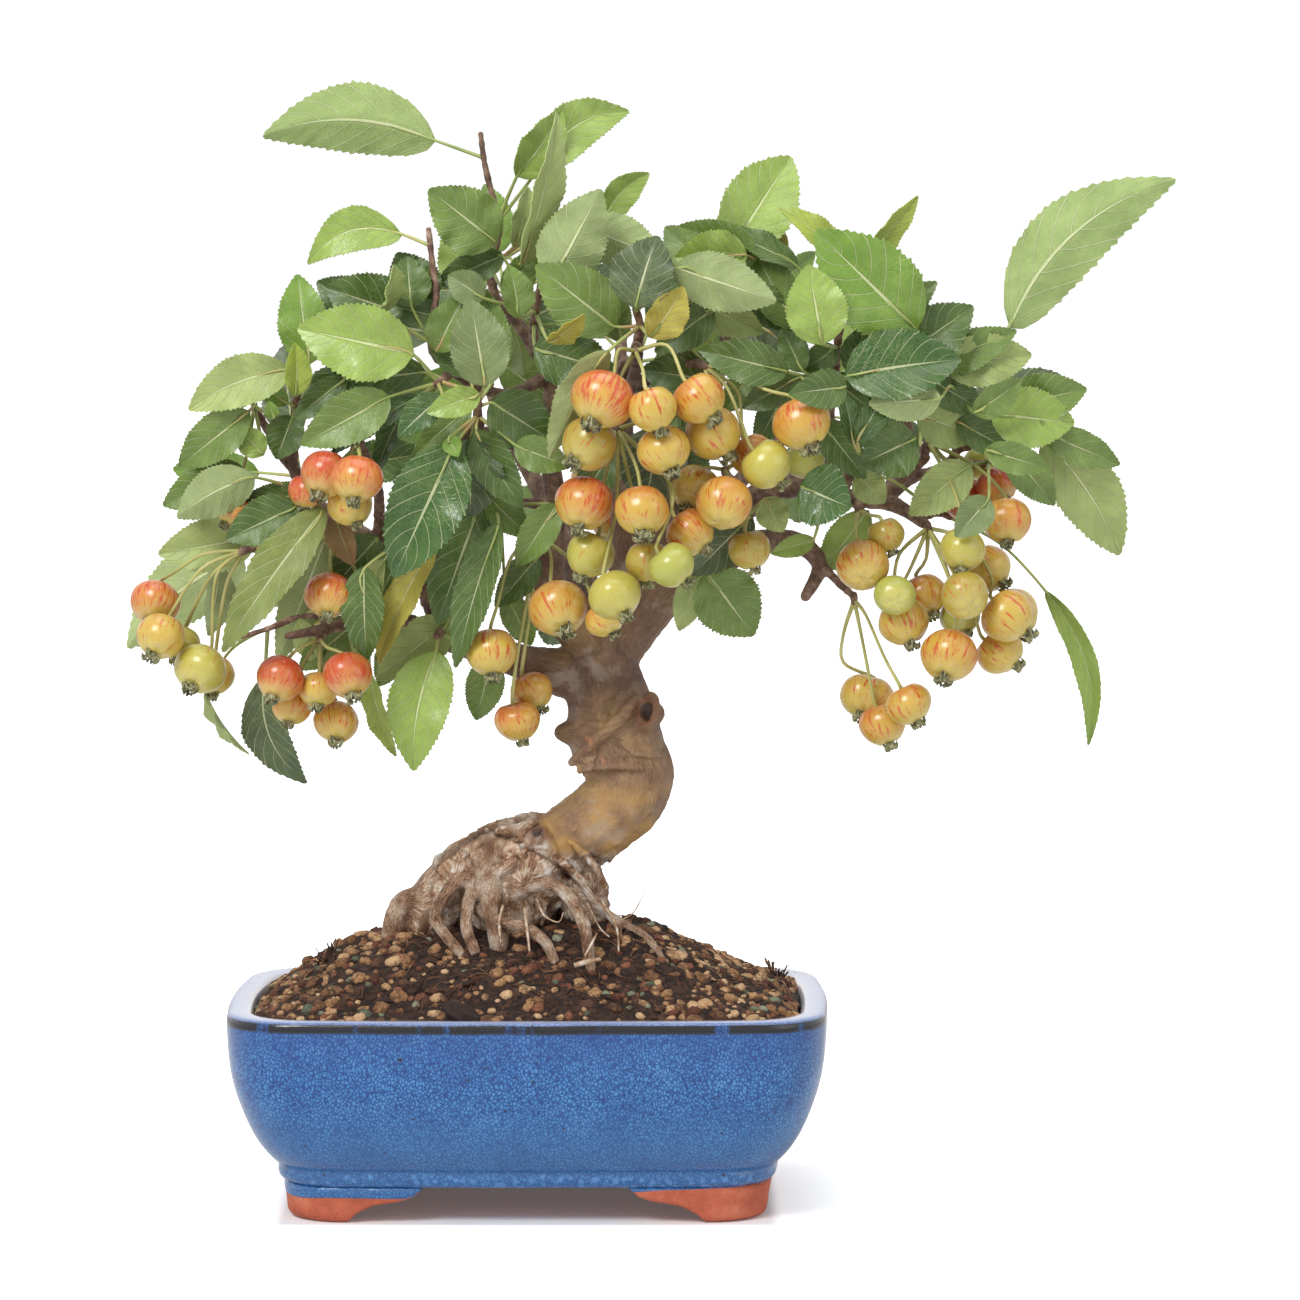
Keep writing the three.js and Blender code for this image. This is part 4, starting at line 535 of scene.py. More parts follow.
def copies(name, shapes, places, smooth):
    """One mesh of the shapes copied to (number of the shape, matrix, tone) places."""
    points, faces, tones = [], [], []
    for number, matrix, tone in places:
        first = len(points)
        shape_points, shape_faces = shapes[number]
        points.extend(matrix @ point for point in shape_points)
        faces.extend([tuple(first + index for index in face) for face in shape_faces])
        tones.extend([tone] * len(shape_points))
    mesh = bpy.data.meshes.new(name)
    mesh.from_pydata(points, [], faces)
    mesh.polygons.foreach_set("use_smooth", [smooth] * len(mesh.polygons))
    piece = placed(name, mesh)
    point_values(piece, "tone", tones)
    return piece


def plumb(x, y):
    """Whether the bed lies under a place, at which point, and its normal there."""
    return bed.ray_cast(Vector((x, y, 1)), Vector((0, 0, -1)))[:3]


def in_pot(x, y, room):
    """Whether a place on the soil is at least room inside the rim, corners included."""
    over_x = max(0.0, abs(x - POT_MIDDLE.x) - (RIM_INNER[0] - RIM_CORNER))
    over_y = max(0.0, abs(y - POT_MIDDLE.y) - (RIM_INNER[1] - RIM_CORNER))
    return math.hypot(over_x, over_y) < RIM_CORNER - room


def lie(point, normal, size, sink):
    """A grain's matrix: turned at random, flat side to the ground, sunk in by a share of its size."""
    upright = normal.lerp(Vector((0, 0, 1)), 0.3).to_track_quat("Z", "Y").to_matrix()
    tilt_x, tilt_y = (Matrix.Rotation(random.uniform(-0.5, 0.5), 3, axis) for axis in "XY")
    turned = upright @ (tilt_x @ tilt_y) @ Matrix.Rotation(random.uniform(0, 2 * math.pi), 3, "Z")
    return Matrix.Translation(point - normal * size * sink) @ (turned * size).to_4x4()


laid = {}
grain_places = {kind: [] for kind in GRAINS}
order = [kind for kind, row in GRAINS.items() for _ in range(row[0])]
random.shuffle(order)
chip_x, chip_y, chip_size = (value * MM for value in BIG_CHIP)
chip_place = plumb(POT_MIDDLE.x + chip_x, POT_MIDDLE.y + chip_y)[1]
chip = lie(chip_place, Vector((0, -0.35, 0.94)), chip_size, 0.1)
grain_places["bark_chips"].append((0, chip, 0.1))
for kind in order:
    _, least, most, *_ = GRAINS[kind]
    for _ in range(TRIES):
        x = POT_MIDDLE.x + random.uniform(-1, 1) * RIM_INNER[0]
        y = POT_MIDDLE.y + random.uniform(-1, 1) * RIM_INNER[1]
        size = (least + (most - least) * random.random() ** 1.8) * MM
        away = (Vector((x, y)) - POT_MIDDLE.xy).length / MM
        wanted = clamp((away - PEAT_REACH[0]) / (PEAT_REACH[1] - PEAT_REACH[0]), 0.12)
        if kind in ("pumice", "zeolite") and random.random() > wanted:
            continue
        if not in_pot(x, y, size * 0.6):
            continue
        column, line = int(x / GRID), int(y / GRID)
        cells = [(column + i, line + j) for i in (-1, 0, 1) for j in (-1, 0, 1)]
        near = [other for cell in cells for other in laid.get(cell, [])]
        if any(math.hypot(x - ox, y - oy) < 0.55 * (size + other_size) for ox, oy, other_size in near):
            continue
        hit, point, normal = plumb(x, y)
        if hit and point.z > BED_EDGE:
            laid.setdefault((column, line), []).append((x, y, size))
            number = random.randrange(GRAIN_SHAPES)
            matrix = lie(point, normal, size, random.uniform(0.0, 0.45))
            grain_places[kind].append((number, matrix, random.random()))
            break

for kind, (_, _, _, flat, colours) in GRAINS.items():
    grains = copies(kind, grain_shapes(kind, flat), grain_places[kind], kind != "bark_chips")
    stone, tree, shader, where = finish(kind + "_grain", 0.9)
    pits = noise_at(tree, where, 900, 3, 0.6)
    shade = times(tree, own_field(tree, "tone"), 0.42, times(tree, pits, 0.66))
    body_colour = ramp(tree, shade, colours)
    dust = step_up(tree, noise_at(tree, where, 240, 2), 0.5, 0.66)
    coloured(tree, shader, mix(tree, times(tree, dust, 0.6), body_colour, rgb(50, 32, 23)))
    bumped(tree, shader, pits, 0.5 * MM)
    dress(grains, stone)
    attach(grains, "root")

# ---- Woody tree --------------------------------------------------------------------------------------
# Roots, trunk, limbs, spurs and cut stubs, grown as one piece. Grey-brown bark with ochre patches covers
# the trunk, ringed dark bark the twigs, and the bared roots are pale and deeply furrowed.
# The tree is laid out on its front elevation, in mm, as seen from 2 m away at the height of the crown.
# A limb is a run of (x, z, depth, radius) stations.
VIEW_DISTANCE = 2000
VIEW_X = 50
VIEW_Z = 372
SOLE = 9.5
RUN_STEP = 1.6
WOOD_CELL = 0.92 * MM
WOOD_SHARE = 0.68
TRUNK = [
    (-14, 126, 4, 24), (-8, 138, 2, 22.5), (4.5, 148, 0, 18.5), (16, 157, 0, 16), (28, 166, 0, 16),
    (38.5, 175.3, 0, 17.3), (42, 184.5, 0, 18.4), (39.5, 192, 0, 18.8), (36, 200, 0, 20),
    (34.5, 208, 0, 19.6), (33, 216, 0, 17.8), (30, 228, 0, 16), (28.5, 238, 0, 15.6), (29, 248, 0, 13.5),
]
ROOT_MASS = [
    [(8, 152, 0, 18), (-10, 149, -2, 17), (-26, 141, -4, 15), (-38, 131, -4, 13), (-44, 112, -4, 11)],
    [(2, 150, -4, 18), (-6, 136, -8, 17), (-10, 118, -8, 15), (-10, 100, -8, 11)],
    [(14, 150, 0, 14), (20, 140, -2, 11), (25, 126, -2, 9), (29, 104, -2, 8)],
    [(4, 148, 8, 17), (0, 132, 22, 14), (-4, 116, 32, 11), (-6, 98, 38, 8)],
]
ROOTS = [
    [(-38, 140, 0, 6), (-46, 134.5, -6, 5.2), (-53, 131, -10, 5), (-56.5, 122, -12, 4.6),
     (-58, 104, -12, 3.6)],
    [(-22, 146, -14, 3.4), (-33, 138, -23, 2.8), (-39, 127, -28, 2.6), (-36, 120, -32, 2.6),
     (-29, 111, -36, 2.3), (-26, 100, -37, 1.8)],
    [(-22, 142, -18, 3), (-25.5, 131, -27, 2.7), (-26, 121, -32, 2.6), (-22, 110, -36, 2.2),
     (-20, 99, -37, 1.8)],
    [(-16, 152, -14, 6), (-17, 141, -22, 5.4), (-15, 131, -27, 5), (-13, 118, -29, 4.4),
     (-12, 102, -30, 3)],
    [(-22, 130, -20, 3.2), (-12, 125, -32, 2.9), (-2, 122, -37, 2.8), (7, 115, -41, 2.5),
     (12, 103, -43, 2)],
    [(-7, 134, -18, 3.4), (0, 138.5, -27, 3.1), (8, 140, -33, 3), (15, 136, -38, 2.9),
     (21, 127, -42, 2.8), (24, 116, -45, 2.6), (26, 101, -46, 2.1)],
    [(22, 139, -6, 2.2), (34, 126, -20, 1.6), (37.5, 118, -26, 1.4), (36, 104, -30, 1.1)],
    [(23, 133, -6, 2.4), (37, 124.5, -19, 1.9), (47, 119, -28, 1.6), (54, 111, -36, 1.4),
     (60, 100, -40, 1.1)],
]
LIMBS = [
    [(22, 226, 0, 11), (8, 229, -2, 9.6), (0, 231.5, -3, 7.6), (-20, 238, -7, 6.2), (-37, 244, -9, 6)],
    [(-34, 242, -9, 6), (-41, 261, -12, 5.3), (-50, 275, -15, 4.8), (-64, 282, -17, 4.1),
     (-80, 290, -20, 3.6), (-89, 300, -22, 3), (-97, 313, -25, 2.6), (-96, 330, -30, 1.9)],
    [(-34, 242, -10, 4.6), (-50, 248.5, -17, 3.9), (-62, 252, -22, 3.3), (-82, 246.5, -29, 2.5),
     (-100, 243, -32, 1.7)],
    [(-80, 248, -27, 1.5), (-90, 251.5, -29, 1.4), (-101, 249.5, -31, 1.2)],
    [(-95, 310, -23, 2.2), (-103, 319, -26, 1.9), (-109, 331, -29, 1.6)],
    [(-84, 294, -20, 2.6), (-98, 283, -28, 2.2), (-112, 279, -37, 1.9)],
    [(-62, 281, -16, 3), (-62, 302, -34, 2.3), (-68, 320, -49, 1.8)],
    [(-40, 258, -12, 3.2), (-36, 276, -28, 2.4), (-41, 288, -42, 1.9)],
    [(26, 240, -2, 10), (12, 254, -7, 8), (7, 266, -9, 7.4), (9, 282, -9, 5.6), (11, 300, -9, 4.6),
     (8, 320, -10, 4), (9, 347, -12, 3.1), (3, 360, -13, 2.9), (-5, 373, -14, 2.6), (-16, 385, -16, 2.1)],
    [(8, 264, -9, 6), (0, 268, -12, 5), (-6, 271.5, -14, 3.6)],
    [(10, 297, -9, 2.8), (0, 298, -18, 2.2), (-9, 298, -27, 1.9)],
    [(8, 324, -10, 3.8), (-4, 321.5, -22, 3.2), (-12, 325, -33, 3), (-21, 327, -43, 2.9),
     (-30, 325, -50, 2.3)],
    [(7, 350, -12, 2.8), (-8, 343, -25, 2.4), (-24, 347, -37, 2.1), (-38, 358, -47, 1.8)],
    [(32, 240, 2, 11.5), (41, 262, 5, 9.5), (41, 290, 7, 7.4), (39, 318, 6, 5.6), (38, 340, 0, 4.4),
     (40, 356, -8, 3)],
    [(39, 338, 0, 3.8), (43, 348, -24, 2.9), (45, 360, -46, 2.3), (45, 367, -60, 2)],
    [(40, 336, 0, 3.4), (50, 350, -26, 2.4), (60, 355, -40, 2.1), (68, 355.5, -50, 1.9)],
    [(40, 314, 6, 4), (37, 324, -16, 2.9), (35, 330, -36, 2.4), (35, 331, -50, 2.1)],
    [(44, 256, 5, 8.5), (58, 290, 14, 6.4), (70, 325, 10, 4.6), (79, 356, 0, 3.4), (86, 385, -18, 2)],
    [(36, 238, 2, 11.5), (48.5, 252, 1, 9.4), (61.5, 265, -1, 8.2), (79, 275, -5, 7), (98, 282, -8, 5.2),
     (112, 281, -11, 4.4), (120, 272, -13, 3.4), (114, 259, -16, 2.3)],
    [(116, 277, -12, 2.6), (126, 267, -17, 1.9), (134.5, 259, -22, 1.6)],
    [(76, 272, -4, 6.4), (84, 290, -8, 5.8), (96, 302, -11, 5.2), (112, 305, -13, 4.6),
     (130, 300.5, -15, 3.9), (150, 297.5, -18, 3.2), (163, 289.5, -22, 2.3)],
    [(138, 299, -16, 2.8), (148, 304, -16, 2.4), (156, 309, -16, 2.1), (164, 317, -17, 1.9)],
    [(146, 298, -17, 2.8), (158, 308, -10, 2.4), (171, 312, -12, 2.2), (184, 314, -15, 1.7)],
    [(171, 311, -12, 2.2), (177, 321, -17, 2), (176, 331, -22, 1.8)],
    [(116, 303, -13, 3.6), (124, 318, -18, 2.9), (124, 336, -26, 2.4), (126, 352, -36, 2)],
    [(92, 299, -10, 3.2), (86, 305, -28, 2.3), (82, 309, -45, 1.9)],
    [(148, 300, -14, 3), (156, 328, -2, 2.4), (158, 352, -20, 1.8)],
    [(27, 236, 6, 9), (20, 268, 28, 6), (6, 300, 44, 4), (-10, 330, 54, 2.8), (-18, 350, 58, 2)],
    [(46, 256, 8, 8), (70, 284, 30, 5), (88, 308, 48, 3.4), (104, 326, 60, 2.1)],
    [(41, 290, 8, 5.6), (37, 330, 30, 3.8), (38, 360, 40, 2.6), (40, 374, 42, 1.9)],
    [(-44, 268, -12, 4.4), (-66, 284, 16, 3.2), (-88, 298, 34, 2)],
    [(112, 304, -12, 4), (134, 310, 20, 3), (158, 318, 38, 1.9)],
]
KNOTS = [
    [(44, 209, -8, 7), (51, 211, -13.5, 5.5), (52.5, 211.5, -15.5, 4)],
    [(24, 203, -2, 6), (16, 203, -5, 5), (13.5, 203, -6, 3.6)],
]
# Scars swollen over, folds and callus ridges that stand on the trunk's bark.
RIDGES = [
    [(17, 190, -8, 1.8), (22, 194, -15.4, 2.6), (30, 202, -19.8, 3), (38, 209, -20.2, 2.8),
     (44, 217, -16, 2)],
    [(20, 187, -13, 1.4), (30, 188.5, -18.6, 1.8), (42, 189, -19, 1.8), (54, 187, -13, 1.4)],
    [(22, 191, -16, 1.0), (34, 193, -18.8, 1.3), (48, 194, -17, 1.2), (56, 192, -10, 1.0)],
    [(47, 206, -16.8, 1.5), (49, 198, -15.8, 1.6), (50, 190, -15, 1.2)],
    [(16, 158, -19.5, 1.6), (26, 149, -16.5, 1.8), (32, 138, -11, 1.6)],
    [(10, 152, -22, 1.6), (20, 143, -18, 1.9), (27, 131, -13, 1.6)],
    [(-10, 158, -15, 1.8), (-24, 151, -17, 2.2), (-34, 141, -18, 2), (-38, 128, -18, 1.6)],
    [(-4, 150, -23, 2), (-14, 144, -22.5, 2.4), (-20, 134, -22, 2)],
]
# Rings of callus round the scars of lost limbs, laid on the surface: x, z, radius, thickness, tallness.
SCAR_RINGS = [(49.4, 211.5, 4.4, 2.0, 1.4), (3.5, 160.7, 3.2, 0.9, 0.9), (22, 190, 1.3, 0.9, 1)]
# Hollows pressed into the wood: place, reach and depth.
DENTS = [((-7, 128, -30), 9, 4), ((10, 131, -22), 8, 5), ((-30, 128, -20), 7, 4)]


def seen(x, z, y):
    """A place of the front elevation at depth y, as a point of the part in metres."""
    spread = 1 + y / VIEW_DISTANCE
    point = Vector((VIEW_X + (x - VIEW_X) * spread, y, VIEW_Z + (z - VIEW_Z) * spread - SOLE))
    return point * MM + Vector((POT_MIDDLE.x, POT_MIDDLE.y, POT_LOW.z))


def smooth_run(points, radii, step=RUN_STEP, rings=0.0):
    """The smooth curve through the points as (point, radius) stations. Rings swell it every few mm."""
    stations = []
    travelled = 0.0
    last = len(points) - 1
    for i in range(last):
        before, start, end, after = (points[clamp(k, 0, last)] for k in range(i - 1, i + 3))
        count = max(2, round((end - start).length / (step * MM)))
        for k in range(count):
            t = k / count
            curve = 2 * start + (end - before) * t + (2 * before - 5 * start + 4 * end - after) * t * t
            point = 0.5 * (curve + (3 * start - before - 3 * end + after) * t * t * t)
            radius = radii[i] + (radii[i + 1] - radii[i]) * t
            along = (travelled + t * (end - start).length) / MM
            slow_wave = math.sin(along * 0.9 + 2 * math.sin(along * 0.31))
            swell = 1 + rings * (0.5 * math.sin(along * 2.3) + 0.5 * slow_wave)
            stations.append((point, radius * swell))
        travelled += (end - start).length
    stations.append((points[-1], radii[-1]))
    return stations


def rounded(run):
    """A run with its end drawn in to a dome."""
    (before, _), (end, radius) = run[-2:]
    way = (end - before).normalized()
    dome = [(end + way * radius * 0.45, radius * 0.82), (end + way * radius * 0.75, radius * 0.45)]
    return [*run, *dome]


def tubes(name, runs, fineness=2):
    """Round tubes along runs of (point, radius) stations, closed at their ends, as one mesh."""
    outline = bpy.data.curves.new(name, "CURVE")
    outline.dimensions = "3D"
    outline.bevel_depth = 1.0
    outline.bevel_resolution = fineness
    outline.use_fill_caps = True
    for run in runs:
        spline = outline.splines.new("POLY")
        spline.points.add(len(run) - 1)
        for place, (point, radius) in zip(spline.points, run):
            place.co = (*point, 1.0)
            place.radius = radius
    work_on(placed(name, outline))
    bpy.ops.object.convert(target="MESH")
    piece = bpy.context.object
    bpy.ops.object.mode_set(mode="EDIT")
    bpy.ops.mesh.select_all(action="SELECT")
    bpy.ops.mesh.remove_doubles(threshold=0.02 * MM)
    bpy.ops.mesh.normals_make_consistent(inside=False)
    bpy.ops.object.mode_set(mode="OBJECT")
    bpy.ops.object.shade_smooth()
    return piece


def limb_run(limb, rings=0.0):
    points = [seen(x, z, y) for x, z, y, _ in limb]
    return smooth_run(points, [radius * MM for *_, radius in limb], rings=rings)


def front_of(way):
    """The direction square to way that looks most to the front."""
    front = Vector((0, -1, 0))
    return (front - way * front.dot(way)).normalized()


wood_kinds = [("trunk", [TRUNK, *KNOTS]), ("root", [*ROOT_MASS, *ROOTS]), ("limb", LIMBS)]
wood_runs = []
for kind, limbs in wood_kinds:
    for limb in limbs:
        thin = kind == "limb" and limb[0][3] < 7
        wood_runs.append((kind, limb_run(limb, 0.13 if thin else 0.0)))
ridge_runs = [rounded(limb_run(ridge)) for ridge in RIDGES]
wood = tubes("woody_tree", [rounded(run) for _, run in wood_runs] + ridge_runs, 4)
scars = []
for x, z, ring_radius, thick, tall in SCAR_RINGS:
    eye_point = seen(x, z, -200)
    _, place, facing, _ = wood.ray_cast(eye_point, seen(x, z, 0) - eye_point)
    scars.append((place, ring_radius * MM))
    deselect_all()
    bpy.ops.mesh.primitive_torus_add(
        major_radius=ring_radius * MM, minor_radius=thick * MM, major_segments=24, minor_segments=10,
        location=place, rotation=facing.to_track_quat("Z", "Y").to_euler())
    bpy.ops.transform.resize(value=(1, 1, tall))
    bpy.ops.object.transform_apply()
    ring = bpy.context.object
    work_on(wood, ring)
    bpy.ops.object.join()
apply_modifier(wood, "REMESH", mode="VOXEL", voxel_size=WOOD_CELL)
apply_modifier(wood, "SMOOTH", factor=0.5, iterations=3)
apply_modifier(wood, "DECIMATE", ratio=WOOD_SHARE)

# Each point of the bark learns which limb it is on: how thick, how far along, round which way, and how
# rooty. The furrows of the roots, the lumps of the trunk and the rings of the twigs follow from that.
samples = []
for number, (kind, run) in enumerate(wood_runs):
    travelled = 0.0
    for i, (point, radius) in enumerate(run):
        after = run[min(i + 1, len(run) - 1)][0]
        way = (after - run[max(i - 1, 0)][0]).normalized()
        samples.append((point, radius, travelled, way, front_of(way), kind, 3.7 * number))
        travelled += (after - point).length
finder = kdtree.KDTree(len(samples))
for i, sample in enumerate(samples):
    finder.insert(sample[0], i)
finder.balance()
dent_places = [(seen(*place), reach * MM, depth * MM) for place, reach, depth in DENTS]
dent_places += [(place, reach, 0.6 * reach) for place, reach in scars]

# Painted shade: the root mass is darkened in the hollow under its arched roots.
HOLLOW_TOP = 131
HOLLOW_FADE = 14
FINE_GIRTH = 7 * MM  # a thinner root is smooth
TRUNK_FOOT = 160  # down from here the trunk's bark turns rooty
FOOT_FADE = 14 * MM
NEIGHBOURS = 7


def ridged(point):
    return 1 - abs(2 * noise.noise(point))


trunk_foot = seen(0, TRUNK_FOOT, 0).z
ways, girths, rootiness, crease_shades, scarred, moved = [], [], [], [], [], []
for vert in wood.data.vertices:
    near = [(distance - samples[i][1], i) for _, i, distance in finder.find_n(vert.co, NEIGHBOURS)]
    _, best = min(near)
    point, radius, travelled, way, side, kind, own_limb = samples[best]
    out = vert.co - point
    angle = math.atan2(out.dot(way.cross(side)), out.dot(side))
    weights = [(1 / (max(0.0, gap) + 2 * MM), i) for gap, i in near]
    total = sum(weight for weight, _ in weights)
    rooty = sum(weight for weight, i in weights if samples[i][5] == "root") / total
    if kind == "trunk":
        rooty = max(rooty, clamp((trunk_foot - vert.co.z) / FOOT_FADE))
    girth = sum(weight * samples[i][1] for weight, i in weights) / total
    around = angle * radius / MM
    along = travelled / MM
    ways.extend((around, along, own_limb))
    on_limb = sum(weight for weight, i in weights if samples[i][5] == "limb") / total
    girths.append(girth / MM if on_limb > 0.5 else 20.0)
    rootiness.append(rooty)
    big = min(1.0, girth / (9 * MM))
    drift = 3.1 + 0.3 * noise.noise(vert.co * 90)
    furrow = 1.25 * ridged(Vector((around * 0.23, along * 0.045, drift))) - 0.62
    fine = ridged(Vector((around * 0.55, along * 0.09, 8.0))) - 0.6
    lumps = noise.noise(vert.co * 75) * 1.1 * big
    pits = noise.noise(vert.co * 330)
    rough = rooty * big * (2.3 * furrow + 1.0 * fine + 0.7 * pits + lumps)
    grown = rough + (1 - rooty) * big * (0.55 * fine + 0.16 * pits)
    grown += (1 - rooty) * lumps * 0.5 + 0.12 * pits
    # The crease shade paints light and shade into the roots' colour: a painted highlight on ridges, painted
    # shade in furrows and in the hollow under the arched roots. On thin roots it is darker where they face
    # up, with noise.
    if kind == "root" and girth < FINE_GIRTH:
        grown = 0.25 * pits + 0.3 * noise.noise(vert.co * 160)
        crease_shade = 0.58 - 0.12 * vert.normal.z + 0.3 * noise.noise(vert.co * 140)
    else:
        crease_shade = 0.5 + 0.22 * grown / max(0.3, big)
        if kind == "root":
            crease_shade -= 0.3 * clamp((HOLLOW_TOP - (vert.co.z - POT_LOW.z) / MM - SOLE) / HOLLOW_FADE)
    crease_shades.append(crease_shade)
    scarred.append(max(clamp(1.9 - (vert.co - place).length / reach, 0.0, 1.3) for place, reach in scars))
    shift = vert.normal * grown * MM
    for centre, reach, depth in dent_places:
        apart = (vert.co - centre).length / reach
        if apart < 1:
            shift -= vert.normal * depth * (1 - apart * apart) ** 2
    moved.append(vert.co + shift)
for vert, place in zip(wood.data.vertices, moved):
    vert.co = place
wood.data.attributes.new("bark_way", "FLOAT_VECTOR", "POINT").data.foreach_set("vector", ways)
for name, values in (("girth", girths), ("rooty", rootiness), ("crease_shade", crease_shades), ("scarred", scarred)):
    point_values(wood, name, values)
work_on(wood)
bpy.ops.object.shade_smooth()

# Twig bark, on the thin limbs and on the spurs of every bunch and spray: dark red-brown and ringed.
tree, where, twig_out = group("twig_bark", {"Colour": "Color", "Height": "Float"})
twig_stops = [(0.3, 80, 58, 48), (0.48, 122, 92, 76), (0.62, 156, 126, 106), (0.76, 192, 170, 152)]
twig_skin = ramp(tree, noise_at(tree, where, 210, 4, 0.6), twig_stops)
twig_rings = noise_at(tree, where, 620, 3, 0.7)
twig_cracks = times(tree, step_up(tree, twig_rings, 0.42, 0.36), 0.6)
put_out(tree, twig_out, Colour=mix(tree, twig_cracks, twig_skin, rgb(46, 32, 27)), Height=twig_rings)
twig_bark = tree

bark, tree, shader, where = finish("bark", 0.5, Specular_IOR_Level=0.45)
bark_way = own_field(tree, "bark_way", "Vector")
girth = own_field(tree, "girth")
rooty = own_field(tree, "rooty")
crease_shade = own_field(tree, "crease_shade")
scarred = own_field(tree, "scarred")
broad = noise_at(tree, where, 34, 4, 0.6)
fibres = noise_at(tree, stretched(tree, bark_way, 1.5, 0.28, 1.0), 1.0, 5, 0.65, 0.3)
fine_fibres = noise_at(tree, stretched(tree, bark_way, 4.0, 0.7, 1.0), 1.0, 3, 0.6)
trunk_stops = [(0.32, 84, 60, 46), (0.43, 120, 90, 70), (0.53, 150, 118, 88), (0.62, 174, 142, 94),
               (0.76, 192, 168, 142)]
trunk_tone = times(tree, fibres, 0.42, times(tree, broad, 0.58))
height = component(tree, where, 2)
ochre_patches = step_up(tree, noise_at(tree, where, 46, 2), 0.4, 0.6)
ochre_zone = times(tree, step_up(tree, height, 178 * MM, 162 * MM), ochre_patches)
upper_zone = step_up(tree, height, 178 * MM, 196 * MM)
pale_skin = step_up(tree, noise_at(tree, where, 62, 4, 0.6), 0.57, 0.68)
dots = cells_at(tree, stretched(tree, bark_way, 0.16, 0.24, 1.0), 1.0)
lenticels = times(tree, step_up(tree, dots, 0.13, 0.08), step_up(tree, girth, 8.0, 11.0))
trunk_colour = layered(
    tree, ramp(tree, trunk_tone, trunk_stops), (times(tree, ochre_zone, 0.75), 200, 156, 88),
    (times(tree, upper_zone, 0.32), 84, 58, 46), (times(tree, pale_skin, 0.5), 176, 160, 148),
    (times(tree, lenticels, 0.7), 176, 120, 84))
# The roots' tone follows the crease shade: painted highlight on the ridges, painted shade in the furrows and
# the hollow.
root_grain = times(tree, fine_fibres, 0.46, times(tree, noise_at(tree, where, 260, 4, 0.65), 0.26))
root_tone = times(tree, crease_shade, 0.36, root_grain)
root_stops = [(0.42, 50, 32, 23), (0.49, 116, 80, 56), (0.55, 166, 128, 98), (0.61, 200, 176, 152),
              (0.69, 238, 230, 222)]
root_colour = ramp(tree, root_tone, root_stops)
twigs = use_group(tree, twig_bark, where)
bark_colour = mix(tree, step_up(tree, rooty, 0.15, 0.75), trunk_colour, root_colour)
not_root = calc(tree, "SUBTRACT", 1.0, step_up(tree, rooty, 0.1, 0.4))
thin = times(tree, step_up(tree, girth, 8.5, 5.0), not_root)
bark_colour = mix(tree, thin, bark_colour, twigs["Colour"])
scar_colour = mix(tree, step_up(tree, scarred, 0.85, 1.2), rgb(136, 92, 68), rgb(58, 38, 30))
scar_mask = times(tree, step_up(tree, scarred, 0.2, 0.7), 0.75)
bark_colour = mix(tree, scar_mask, bark_colour, scar_colour)
coloured(tree, shader, bark_colour)
bark_height = times(tree, fibres, times(tree, rooty, 2.0, 0.5), times(tree, fine_fibres, 0.5))
bark_height = times(tree, twigs["Height"], thin, bark_height)
bumped(tree, shader, bark_height, 0.9 * MM, 0.8)
dress(wood, bark)
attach(wood, "root")
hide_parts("wood")

# ---- Fine roots and litter ----------------------------------------------------------------------------
# Thin pale roots that hang from the root mass into the soil, and what lies on the mound: fibres of peat,
# two tufts of them on its shoulders, a bit of straw and a broken white root.
FINE_ROOTS = [
    [(-11, 131, -30, 0.7), (-12.5, 124, -36, 0.6), (-12, 116, -42, 0.45)],
    [(-2, 130, -34, 0.7), (-1, 121, -42, 0.6), (0, 112, -48, 0.45)],
    [(3, 134, -34, 0.5), (6, 127, -42, 0.4), (12, 124, -44, 0.3), (14, 128, -42, 0.2)],
    [(36, 124, -20, 0.4), (43, 128, -22, 0.3), (48, 137, -22, 0.18)],
    [(30, 133, -14, 0.6), (36, 122, -28, 0.5), (37, 112, -40, 0.4)],
    [(24, 132, -20, 0.4), (29, 122, -32, 0.35), (33, 118, -38, 0.25)],
]
STRAW = [(28, 119.5, -46, 0.45), (25.5, 114.5, -49, 0.5), (23, 110, -52, 0.4)]
WHITE_BIT = [(18.5, 106, -56, 1.1), (24, 107.6, -56, 1.2), (29, 108.4, -56, 0.9)]
TUFTS = [(-82, -18), (103, 6)]
TUFT_FIBRES = 16
FIBRES = 420
random.seed(5)


def on_bed(x, y):
    """The surface of the soil under a place given in mm from the pot's middle."""
    return plumb(POT_MIDDLE.x + x * MM, POT_MIDDLE.y + y * MM)[1]


def fibre(x, y, length, rise, thick):
    """A thin strand with its length, rise from the soil and thickness drawn from (least, most) in mm."""
    heading = random.uniform(0, 6.28)
    length, rise, thick = (random.uniform(*span) for span in (length, rise, thick))
    turn = random.uniform(-0.5, 0.5)
    stations = []
    for k in range(4):
        lift = rise * k / 3 + (0.5 if k in (1, 2) else 0.0)
        stations.append((on_bed(x, y) + Vector((0, 0, lift * MM)), thick * MM))
        heading += turn
        x += math.cos(heading) * length / 3
        y += math.sin(heading) * length / 3
    return stations


